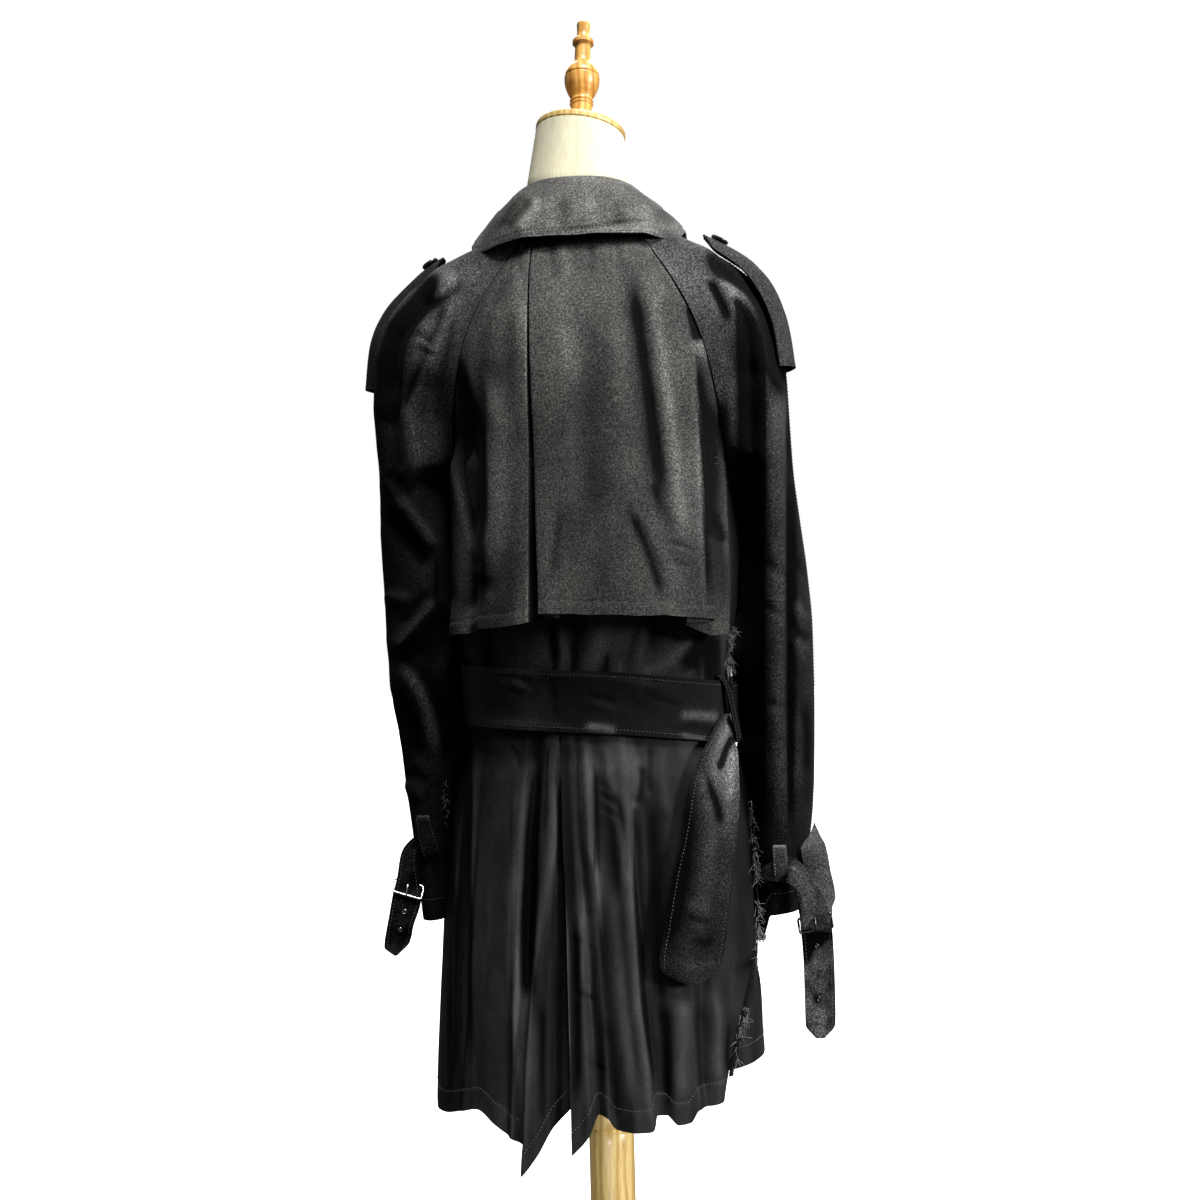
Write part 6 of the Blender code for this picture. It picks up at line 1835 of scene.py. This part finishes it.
cuffLook = dict(
    underKeeper=0.0032, columns=16, rows=110, stitch=0.0035, eyelet=0.0021,
    lyingLeft=((0.185, 0.745, 0.185, 0.7295), (0.191, 0.7455, 0.1895, 0.73), (0.197, 0.746, 0.194, 0.731)),
    lyingRight=((0.171, 0.702, 0.171, 0.69), (0.179, 0.708, 0.1785, 0.691),
                (0.188, 0.713, 0.187, 0.69), (0.197, 0.716, 0.195, 0.689)),
    # painted shadows and highlights on the cuff straps, such as the black shade round the right buckle
    paintedLightLeft=((-4, 3, (424, 866), (414, 876), (411, 892)), (2, 4, (414, 846), (406, 862), (403, 884))),
    paintedLightRight=((-14, 4, (788, 932), (817, 935), (846, 937)), (-14, 6, (800, 930), (806, 944), (802, 966)),
                (-14, 4, (796, 938), (812, 944), (826, 938)), (2.4, 6, (790, 862), (806, 884), (818, 910)),
                (-3, 4, (804, 976), (812, 990), (818, 1004)), (-6, 3, (786, 884), (798, 896), (801, 920))),
    eyeletsLeft=((404.4, 911), (400.5, 928.6)), eyeletsRight=((817.8, 946), (819.6, 971.5), (820, 998)),
)


def onCuff(rows, side, x, z, out):
    low, high = np.full(np.shape(x), 0.02), np.full(np.shape(x), 0.98)
    for _ in range(24):
        share = (low + high) / 2
        short = np.abs(sleevePlace(rows, side, 1, z, share)[..., 0]) < x
        low, high = np.where(short, share, low), np.where(short, high, share)
    return sleevePlace(rows, side, 1, z, (low + high) / 2, out)


def strapRow(row, side):
    edgeX, edgeZ, innerX, innerZ, y = row
    return np.array([side * edgeX, y, edgeZ]), np.array([side * innerX, y, innerZ])


def finer(rows, count):
    # a strap's few rows made into many, on smooth curves
    reach = runLengths(rows.mean(1))
    at = np.linspace(0, reach[-1], count)
    lines = {"t": reach, **dict(enumerate(rows.reshape(len(rows), -1).T))}
    return np.stack([read(lines, k, at) for k in range(len(lines) - 1)], -1).reshape(count, *rows.shape[1:])


def nearest(grid, spot):
    # the row and column of a grid's place that is nearest to a spot in the camera's frame
    return np.unravel_index(np.argmin(np.linalg.norm(inFrame(grid) - spot, axis=-1)), grid.shape[:2])


def makeEyelets(hand, grid, normal, finish):
    radius, turns = cuffLook["eyelet"], np.linspace(0, math.tau, 22, endpoint=False)
    rings, holes = [], []
    for spot in cuffLook["eyelets" + hand.title()]:
        k = nearest(grid, spot)
        away = normal[k]
        centre = grid[k] + away * (strapWall / 2 + 0.0002)
        aside = np.cross(away, [0, 0, 1.0])
        aside /= np.linalg.norm(aside)
        circle = [radius * (aside * math.cos(a) + np.cross(aside, away) * math.sin(a)) for a in turns]
        rings.append(tube([centre + out for out in circle], 0.00055, 8, closed=True))
        # a black disc in each eyelet stands in for the hole and the shade in it
        disc = [centre + away * 0.0001 + out * 0.9 for out in circle[::2]]
        holes.append((disc, [list(range(len(disc)))]))
    eyelets = joined(f"cuff eyelets {hand}", rings, finish, "metal")
    joined(f"cuff eyelet holes {hand}", holes, horn, "horn")
    return eyelets


def makeCuffStrap(side, path, rows, barRow, faded, metal):
    hand, name = handOf(side), f"cuff strap {handOf(side)}"
    t = np.linspace(0, 1, cuffLook["columns"])
    grid = []
    for edgeX, edgeZ, innerX, innerZ in cuffLook["lying" + hand.title()]:
        x, z = mix(edgeX, innerX, t), mix(edgeZ, innerZ, t)
        grid.append(onCuff(rows, side, x, z, np.full(len(t), cuffLook["underKeeper"])))
    bars = [strapRow(row, side) for row in path]
    grid = finer(np.array(grid + [mix(outer, inner, t[:, None]) for outer, inner in bars]), cuffLook["rows"])
    places = inFrame(grid)
    lumps = rumple(places, 13, 131 + side) * 0.001 + rumple(places, 6, 133 + side) * 0.0004
    hold = ease(np.linspace(0, 1, cuffLook["rows"]) / 0.15)[:, None]
    grid = grid + facing(grid, (0, 1, 0)) * (lumps * hold * 0.8)[..., None]
    normal = facing(grid, (0, 1, 0))
    # painted shading from the strap's lumps and painted light lines
    piece = clothPiece(name, grid, normal, strapWall, coatCloth, "gabardine", faded=faded,
                       wear=lumps * 3 + paintedLightLines(grid, cuffLook["paintedLight" + hand.title()]))
    threads = stitched(name, grid, normal, strapWall, bothEdges(cuffLook["stitch"]))
    eyelets = makeEyelets(hand, grid, normal, metal)
    makeBuckle(hand, bars[barRow], bars[barRow - 1], metal)


def makeBuckle(hand, here, above, metal):
    wire, standOff, margin, corner = 0.00125, 0.0034, 0.0012, 0.003
    outer, inner = here
    across = (inner - outer) / np.linalg.norm(inner - outer)
    up = (sum(above) - sum(here)) / 2
    away = np.cross(up, across)
    away *= math.copysign(1 / np.linalg.norm(away), away[1])
    front = [outer - across * margin, inner + across * margin]
    corners = [point + away * standOff for point in front]
    corners += [point + up - away * standOff for point in front[::-1]]
    path = []
    for k, point in enumerate(corners):
        first, last = (point + (other - point) / np.linalg.norm(other - point) * corner
                       for other in (corners[k - 1], corners[(k + 1) % 4]))
        path += [(1 - t) ** 2 * first + 2 * t * (1 - t) * point + t * t * last for t in np.linspace(0, 1, 6)]
    prong = [(outer + inner) / 2 + up * high + away * out for high, out in (
        (1, 0.0005 - standOff), (0.8, 0.0022), (0.45, standOff + 0.0008), (0, standOff + 0.0014),
        (-0.06, standOff + 0.0004))]
    parts = [tube(path, wire, 12, closed=True), tube(smoothLine(prong, 22), wire * 0.85, 10)]
    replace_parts(joined(f"cuff buckle {hand}", parts, metal, "metal"), f"cuff_buckle_{hand}")


def makeFlare():
    t = np.linspace(0, 1, 18)[:, None]
    rows = []
    for edgeX, edgeZ, edgeY, innerX, innerZ, innerY in strapFlare:
        rows.append(mix(np.array([-edgeX, edgeY, edgeZ]), np.array([-innerX, innerY, innerZ]), t))
    grid = finer(np.array(rows), 64)
    # painted light: the strap's end set pale, as lit
    sewnCloth("cuff strap right end", grid, facing(grid, (-1, 1, 0)), (0.03, 0.112), "laid",
              ["sleeve_right_back"], [("left", cuffLook["stitch"])], wall=strapWall, faded=0.8)


def makeKeeper(side, rows, span, faded, thread):
    hand, (low, high) = handOf(side), span
    share = np.linspace(1, 0, 44)[:, None]
    arch = rowsOf("share out", (1.0, 0.002), (0.88, 0.0056), (0.5, 0.0064), (0.16, 0.0056), (0.0, 0.002))
    w = np.linspace(0, 1, 12)[None, :]
    z, near, far = (mix(a, b, share) for a, b in zip(low, high))
    grid = onCuff(rows, side, mix(near, far, w), z + 0 * w, read(arch, "out", share) + 0 * w)
    normal = facing(grid, (0, 1, 0))
    piece = clothPiece(f"cuff keeper {hand}", grid, normal, clothWall, coatCloth, "gabardine", faded=faded)
    lines = [stitchRow(*edgeRun(grid, normal, edge, 0.002, clothWall / 2)) for edge in ("left", "right")]
    for inset in (0.0014, 0.0024, 0.0034):
        bar = edgeRun(grid, normal, "top", inset, clothWall / 2 + 0.0002)
        lines.append(stitchRow(*bar, long=0.0018, gap=0.0003, thick=0.0006))
    threads = joined(f"cuff keeper {hand} stitching", lines, thread, "gabardine")


# painted light levels: the left cuff's keeper and strap darker, in shade, the right's paler
makeKeeper(1, sleeveLeft, ((0.719, 0.182, 0.194), (0.768, 0.187, 0.199)), 0.08, sewingThread)
makeKeeper(-1, sleeveRight, ((0.691, 0.185, 0.197), (0.729, 0.185, 0.197)), 0.6, rawThread)
makeCuffStrap(1, strapLeft, sleeveLeft, 4, 0.1, silver)
makeCuffStrap(-1, strapRight, sleeveRight, 5, 0.8, shadedSilver)
makeFlare()
print("cuffs made")


# The skirt's two satin back panels, hanging in folds on each side of the slit

skirtColumns = "fold waist hem waistLift hemLift hemZ"
skirtLeft = rowsOf(
    skirtColumns,
    (0, 0.139, 0.178, 0.0000, 0.000, 0.462),
    (1, 0.13, 0.168, 0.0004, 0.003, 0.462),
    (2, 0.122, 0.157, 0.0006, 0.004, 0.463),
    (3, 0.115, 0.148, -0.0008, -0.006, 0.465),
    (4, 0.107, 0.138, 0.0004, 0.003, 0.468),
    (5, 0.096, 0.122, 0.0002, 0.002, 0.472),
    (6, 0.084, 0.104, 0.0002, 0.001, 0.459),
    (7, 0.074, 0.092, 0.0000, -0.002, 0.45),
    (8, 0.066, 0.083, 0.0008, 0.007, 0.447),
    (9, 0.058, 0.078, -0.0006, -0.006, 0.44),
    (10, 0.05, 0.075, -0.001, -0.01, 0.434),
    (11, 0.043, 0.072, 0.001, 0.01, 0.411),
    (12, 0.037, 0.056, 0.001, 0.007, 0.432),
    (13, 0.033, 0.042, 0.0000, 0.000, 0.458),
    (14, 0.0303, 0.024, -0.001, -0.014, 0.476),
)
skirtRight = rowsOf(
    skirtColumns,
    (0, 0.03, 0.022, 0.0000, 0.008, 0.432),
    (1, 0.023, 0.005, 0.001, 0.009, 0.45),
    (2, 0.015, -0.005, -0.0008, -0.005, 0.471),
    (3, 0.007, -0.015, 0.0004, 0.004, 0.468),
    (4, -0.003, -0.023, -0.0004, -0.003, 0.456),
    (5, -0.016, -0.042, 0.0008, 0.008, 0.454),
    (6, -0.028, -0.057, 0.0008, 0.01, 0.455),
    (7, -0.038, -0.065, -0.0004, -0.005, 0.468),
    (8, -0.048, -0.074, 0.0000, -0.003, 0.468),
    (9, -0.058, -0.084, 0.0002, 0.003, 0.458),
    (10, -0.072, -0.096, 0.0002, 0.002, 0.459),
    (11, -0.088, -0.104, 0.0002, 0.004, 0.471),
    (12, -0.104, -0.113, -0.0002, -0.003, 0.472),
    (13, -0.12, -0.123, 0.0004, 0.003, 0.474),
    (14, -0.139, -0.134, 0.0000, 0.001, 0.478),
)
slitSides = rowsOf(
    "fall left right",
    (0.00, 0.0000, 0.0000),
    (0.3, 0.0000, -0.0005),
    (0.4, 0.0000, -0.0015),
    (0.7, 0.0000, -0.001),
    (1.00, 0.0000, 0.0000),
)
skirtLook = dict(
    columns=124, levels=158, hemStitch=0.022,
    foldsLeft=(
        (-4, 5, (452, 752), (450, 850), (449, 950), (450, 1085)),
        (2.6, 4, (459, 752), (458, 850), (458, 950), (460, 1085)),
        (-3.4, 4, (466, 760), (466, 850), (467, 950), (470, 1085)),
        (3.6, 6, 0.2, (523, 760), (518, 820), (513, 880), (512, 960), (516, 1080)),
        (-5.5, 7, (540, 728), (534, 790), (528, 850), (527, 910), (530, 990), (534, 1050)),
        (4.4, 7, (553, 760), (553, 811), (547, 880), (534, 944), (526, 1039), (524, 1141)),
        (-3.2, 4, (559, 780), (561, 830), (561, 884)),
        (-2.4, 5, (540, 1000), (540, 1060), (542, 1130)),
        (-1.3, 3, (474, 742), (486, 752), (500, 756)),
        (-1.2, 3, (508, 744), (516, 756), (520, 770)),
    ),
    foldsRight=(
        (2, 3, (559, 866), (564, 936), (567, 988), (567, 1023), (566, 1115)),
        (3.2, 6, 0.2, (586, 738), (587, 790), (588, 830), (588, 872)),
        (-3.2, 3, (595, 765), (595, 800), (596, 840), (597, 884)),
        (-3.2, 5, (612, 790), (621, 820), (626, 850), (627, 886)),
        (2, 5, (606, 745), (608, 775), (614, 800)),
        (5, 7, -0.1, (625, 800), (626, 880), (631, 962), (642, 1064), (650, 1116)),
        (-4, 5, (641, 765), (639, 790), (631, 808)),
        (-3.4, 8, (648, 780), (652, 860), (656, 940), (664, 1020)),
        (-1, 2.5, (597, 781), (606, 787), (614, 792)),
        (-1, 2.5, (598, 792), (607, 799), (617, 805)),
        (-1, 2.5, (599, 805), (609, 813), (621, 820)),
        (3, 6, (585, 910), (585, 950), (584, 990)),
        (-3, 6, (573, 900), (574, 960), (574, 1020), (574, 1100)),
        (-1.3, 2.6, (572, 993), (582, 996), (594, 1000)),
        (-1.2, 2.6, (582, 1058), (592, 1064), (606, 1072)),
        (-3.2, 6, (598, 900), (600, 970), (602, 1040), (604, 1110)),
        (3.4, 8, 0.1, (609, 856), (612, 930), (617, 1000), (625, 1070), (632, 1130)),
        (-4.6, 8, (664, 1000), (666, 1050), (667, 1110)),
        (4, 8, (680, 990), (680, 1050), (681, 1112)),
        (-3, 7, (700, 1000), (702, 1050), (704, 1100)),
        (2.4, 7, (716, 990), (716, 1040), (714, 1090)),
        (-3, 4, (756, 966), (740, 993), (735, 1023), (730, 1060)),
        (2, 5, (768, 950), (757, 985), (750, 1018), (746, 1048)),
        (-2, 4, (650, 744), (648, 770), (650, 800)),
        (1.6, 5, (664, 742), (662, 780), (664, 820)),
    ),
    uneven=((44, 0.7), (17, 0.3), (7, 0.14)),
    # painted highlights on the lit folds and painted shade in the grooves and along the slit
    paintedLightLeft=(
        (-9, 8, 1, (471, 700), (471, 800), (467, 880), (462, 940), (460, 1010), (460, 1160)),
        (4, 2.6, (470, 712), (465, 790), (457, 880), (450, 930), (446, 1000), (447, 1130)),
        (-7, 4, (461, 730), (456, 800), (449, 870), (444, 930)),
        (3.6, 1.6, (459, 716), (451, 770), (446, 830), (443, 920)),
        (2.4, 3, -1, (472, 716), (473, 850), (473, 960), (474, 1130)),
        (1.3, 14, (492, 780), (492, 960), (490, 1080)),
        (-2.8, 1.8, (512, 760), (512, 880), (511, 1060)),
        (4.2, 6, -0.3, (525, 738), (521, 800), (518, 860), (517, 930), (518, 1000), (521, 1110)),
        (-9, 6, (537, 700), (534, 780), (532, 840), (533, 900), (531, 960), (528, 1010)),
        (-7, 8, (531, 870), (529, 920), (527, 970), (524, 1010)),
        (-3.6, 1.6, (549, 740), (547, 780), (546, 840)),
        (1.8, 4, (541, 740), (539, 790), (538, 830)),
        (6, 3.6, 0.6, (556, 770), (554, 840), (547, 880), (541, 910), (537, 950), (530, 1000), (527, 1060),
         (526, 1180)),
        (-3, 5, (552, 900), (547, 960), (544, 1020), (543, 1100), (545, 1170)),
        (-14, 5, (558, 840), (558, 930), (557, 1000), (556, 1100), (558, 1190)),
        (-14, 3.2, (559, 750), (560, 820), (560, 880)),
        (1.8, 2, (486, 890), (490, 920), (487, 960)),
        (1.8, 2, (482, 940), (484, 970), (482, 1000)),
    ),
    # painted highlights on the lit satin and ridges, painted shade in the slit and the grooves
    paintedLightRight=(
        (-14, 6, (554, 830), (555, 920), (556, 1000), (555, 1080), (556, 1150)),
        (12, 1.5, (558, 838), (562, 890), (566, 930), (567, 1000), (568, 1050), (569, 1130)),
        (-4, 9, (570, 706), (571, 800), (574, 870), (579, 930)),
        (-7, 6, (575, 920), (575, 1000), (575, 1110)),
        (4.6, 5, (582, 880), (586, 940), (587, 1010)),
        (-4, 2, (568, 933), (582, 941), (596, 949)),
        (-4, 2, (568, 988), (582, 993), (598, 1000)),
        (4.4, 8, -1, (583, 726), (581, 790), (586, 836), (596, 872), (600, 910), (608, 960), (618, 1004),
         (630, 1060), (640, 1130)),
        (4.4, 12, 0.8, (618, 722), (632, 752), (638, 782), (632, 806), (628, 824)),
        (3.6, 9, (604, 726), (610, 750), (606, 776)),
        (-4.6, 6, (606, 780), (612, 820), (616, 866), (618, 910)),
        (-5, 1.6, (594, 752), (595, 820), (594, 886)),
        (7, 4, 1, (627, 790), (629, 860), (632, 920), (635, 1000), (642, 1050), (652, 1130)),
        (-6, 5, -1, (643, 780), (635, 806), (634, 870), (637, 930), (641, 1000), (648, 1050), (658, 1120)),
        (-3, 15, (666, 750), (664, 860), (668, 990)),
        (-2.6, 1.6, (651, 866), (653, 940), (655, 1010)),
        (-3.6, 6, (606, 1010), (612, 1060), (618, 1130)),
        (-4, 5, (664, 1000), (666, 1050), (667, 1130)),
        (1.2, 8, (680, 990), (680, 1050), (681, 1120)),
        (-3, 9, (748, 750), (750, 850), (748, 930), (742, 990)),
        (-9, 3, 0.5, (757, 950), (740, 990), (732, 1023), (727, 1080)),
        (3.4, 5, -0.5, (766, 956), (752, 990), (744, 1020), (740, 1070)),
    ),
)


def makeSkirt(side):
    look, hand, folds = skirtLook, *(("left", skirtLeft) if side > 0 else ("right", skirtRight))
    count = len(folds["fold"]) - 1
    u = np.linspace(0, count, look["columns"])[None, :]
    fall = np.linspace(0, 1, look["levels"])[:, None]
    z = mix(waistSeam - seamGap, read(folds, "hemZ", u), fall)
    seam = read(sideSeam, hand, z) - (1.0 if side > 0 else 4 + 4 * fall) * seamTurn(z)
    widest = side * outline(coat, z, side * seam)[..., 0]
    x = mix(read(folds, "waist", u), read(folds, "hem", u), fall)
    x = side * np.minimum(side * x, widest)
    atSeam = 0 if side > 0 else -1
    x[:, atSeam] = side * widest[:, atSeam]
    toSlit = ease((u - (count - 1)) if side > 0 else (1 - u))
    x = x + (read(slitSides, hand, fall) + side * seamGap / 2) * toSlit
    lift = mix(read(folds, "waistLift", u), read(folds, "hemLift", u), fall**1.3)
    grid = onBack(coat, x, z, lift)
    away = outwards(coat, grid)
    fromSeam = np.abs(x - x[:, atSeam][:, None])
    field = foldHeights(inFrame(grid), look["folds" + hand.title()], look["uneven"], 141 + side)
    field = field * ease(fall / 0.05) * ease(fromSeam / 0.006)
    rise = z - z[-1:]
    turned = hemShape(rise, look["hemStitch"], 0.0006, 0.0007, 0.0016)
    pucker = rippled(x, 6.0, 150) * 0.0006 * bump((rise - 0.015) / 0.014)
    grid = grid + away * (field + (turned + pucker) * ease(fromSeam / 0.004))[..., None]
    # painted shading from the folds and painted light lines
    shadingPaint = field + paintedLightLines(grid, look["paintedLight" + hand.title()])
    under, runs = ["back_body", f"front_{hand}"], [("bottom", look["hemStitch"])]
    sewnCloth(f"skirt {hand}", grid, facing(grid, (0, 1, 0)), (0.24, 0.42), "hung", under, runs, finish=satin,
              slot="satin", node=f"skirt_back_{hand}", thread=satinThread, wear=shadingPaint)


for side in (1, -1):
    makeSkirt(side)
print("skirt made")


# Loose threads along the raw edges

frayLook = dict(
    out=0.0042, bunches=((0.725, 0.775, 46), (0.69, 0.722, 34), (0.61, 0.67, 26), (0.505, 0.57, 16)),
    tufts=(  # the sleeve, the spots in the camera's frame, the way, the length and the threads at each
        (1, [(445, y) for y in range(782, 820, 3)], (0.1, 0.7, -0.5), 0.006, 2),
        (1, [(414, 434), (418, 438), (423, 441)], (-0.4, 0.6, -0.6), 0.012, 1),
        (-1, [(756 + k * 1.6, 928 + k * 0.9) for k in range(14)], (0.1, 0.4, -0.9), 0.007, 3)),
)


def lumpy(strip, step, seed):
    along = np.arange(strip.shape[1])[None, :] * step + 0 * strip[..., 2]
    return rumple(np.stack([along, strip[..., 2] * 1000], -1), 4.0, seed)


def makeStrip(name, strip, lumps, towards, slot, threads):
    # a narrow rough strip along a raw edge, with loose threads
    strip = strip + outwards(coat, strip) * lumps[..., None]
    piece = clothPiece(f"frayed edge {name}", strip, facing(strip, towards), clothWall, coatCloth, slot)
    threads = joined(f"frayed threads {name}", threads, rawThread, slot)


def makeFrays():
    rng = np.random.default_rng(7)
    anchors, ways = [], []
    for z in np.concatenate([rng.uniform(*bunch) for bunch in frayLook["bunches"]]):
        seam = float(read(sideSeam, "right", z))
        anchors.append(outline(coat, z, -(seam + rng.uniform(-1.5, 1.5)), frayLook["out"]))
        ways.append(np.array([-0.35, 0.65, -0.5]) + rng.normal(0, 0.25, 3))
    z = np.linspace(0.79, 0.5, 150)[:, None]
    strip = outline(coat, z, -(read(sideSeam, "right", z) + np.linspace(1.2, -1.2, 8)), frayLook["out"])
    makeStrip("skirt", strip, lumpy(strip, 0.6, 161) * 0.001, (0, 1, 0), "satin",
              looseThreads(anchors, ways, 17, 3, 0.01))

    strip = outline(coat, np.linspace(0.955, 0.922, 24)[:, None], np.linspace(-86, -81, 14), 0.0011)
    heights, angles = rng.uniform(0.915, 0.962, 70), rng.uniform(-87, -74, 70)
    anchors, ways = outline(coat, heights, angles, 0.002), [np.array([-0.3, 0.7, -0.5])] * len(heights)
    makeStrip("side", strip, np.abs(lumpy(strip, 1.0, 163)) * 0.0012, (-1, 0.4, 0), "gabardine",
              looseThreads(anchors, ways, 19, 3, 0.009))

    tufts = []
    for side, spots, way, long, each in frayLook["tufts"]:
        grid, normal = backs[side]
        anchors = []
        for spot in spots:
            k = nearest(grid, spot)
            anchors.append(grid[k] + normal[k] * 0.0008)
        tufts += looseThreads(anchors, [np.array(way)] * len(anchors), 23 + side + len(spots), each, long)
    joined("frayed threads sleeves", tufts, rawThread, "gabardine")


makeFrays()
print("frayed edges made")


# Floor, light and camera

studio = dict(
    key=6.4, keyTurn=(-34.0, 63.0), keySoft=24.0,
    side=3.2, sideTurn=(-66.0, 12.0), sideSoft=14.0,
    low=190.0, lowFrom=(0.16, 2.2, 0.12), lowTo=(0.0, 0.0, 0.3), lowSpread=9.5,
    fill=2.4, fillTurn=(180.0, 38.0), fillSoft=50.0, air=0.09)


def makeFloor():
    size = 60.0
    mesh = bpy.data.meshes.new("floor")
    corners = [(-size, -size, 0), (size, -size, 0), (size, size, 0), (-size, size, 0)]
    mesh.from_pydata(corners, [], [(0, 1, 2, 3)])
    finish, shader = newFinish("pale floor", {"Roughness": 0.85, "Specular IOR Level": 0.1})
    cloudy = grain(finish, 2.0, 3.0)
    paint(finish, shader, ramp(finish, cloudy, (0.3, (0.9, 0.9, 0.895)), (0.7, (0.93, 0.93, 0.925))))
    mesh.materials.append(finish)
    floor = added("floor", mesh)
    floor.visible_diffuse = floor.visible_glossy = False  # a white floor would light the folds from below


def makeSun(name, strength, turn, soft):
    # turn is round from straight behind the coat, then up from level, in degrees
    around, up = (math.radians(k) for k in turn)
    lamp = bpy.data.lights.new(name, "SUN")
    lamp.energy, lamp.angle = strength, math.radians(soft)
    towards = Vector((math.sin(around) * math.cos(up), math.cos(around) * math.cos(up), math.sin(up)))
    added(name, lamp).rotation_euler = towards.to_track_quat("Z", "Y").to_euler()


def makeLow(name, strength, place, aim, spread):
    lamp = bpy.data.lights.new(name, "SPOT")
    lamp.energy, lamp.spot_size = strength, math.radians(spread)
    lamp.spot_blend, lamp.shadow_soft_size = 0.35, 0.25
    light = added(name, lamp)
    light.location = place
    light.rotation_euler = (Vector(place) - Vector(aim)).to_track_quat("Z", "Y").to_euler()


def makeAir():
    world = bpy.data.worlds.new("white studio")
    bpy.context.scene.world = world
    world.use_nodes = True
    nodes, links = world.node_tree.nodes, world.node_tree.links
    nodes.clear()
    seen, mixed, out = (nodes.new("ShaderNode" + kind) for kind in ("LightPath", "MixShader", "OutputWorld"))
    links.new(seen.outputs["Is Camera Ray"], mixed.inputs[0])
    for k, strength in ((1, studio["air"]), (2, 1.0)):  # lit dimly, but seen white
        light = nodes.new("ShaderNodeBackground")
        light.inputs["Color"].default_value, light.inputs["Strength"].default_value = (1, 1, 1, 1), strength
        links.new(light.outputs[0], mixed.inputs[k])
    links.new(mixed.outputs[0], out.inputs[0])


makeFloor()
for part in ("key", "side", "fill"):
    makeSun(part + " light", studio[part], studio[part + "Turn"], studio[part + "Soft"])
makeLow("low light", studio["low"], studio["lowFrom"], studio["lowTo"], studio["lowSpread"])
makeAir()
bpy.context.scene.view_settings.view_transform = "Standard"
makeCamera()
print("studio ready")
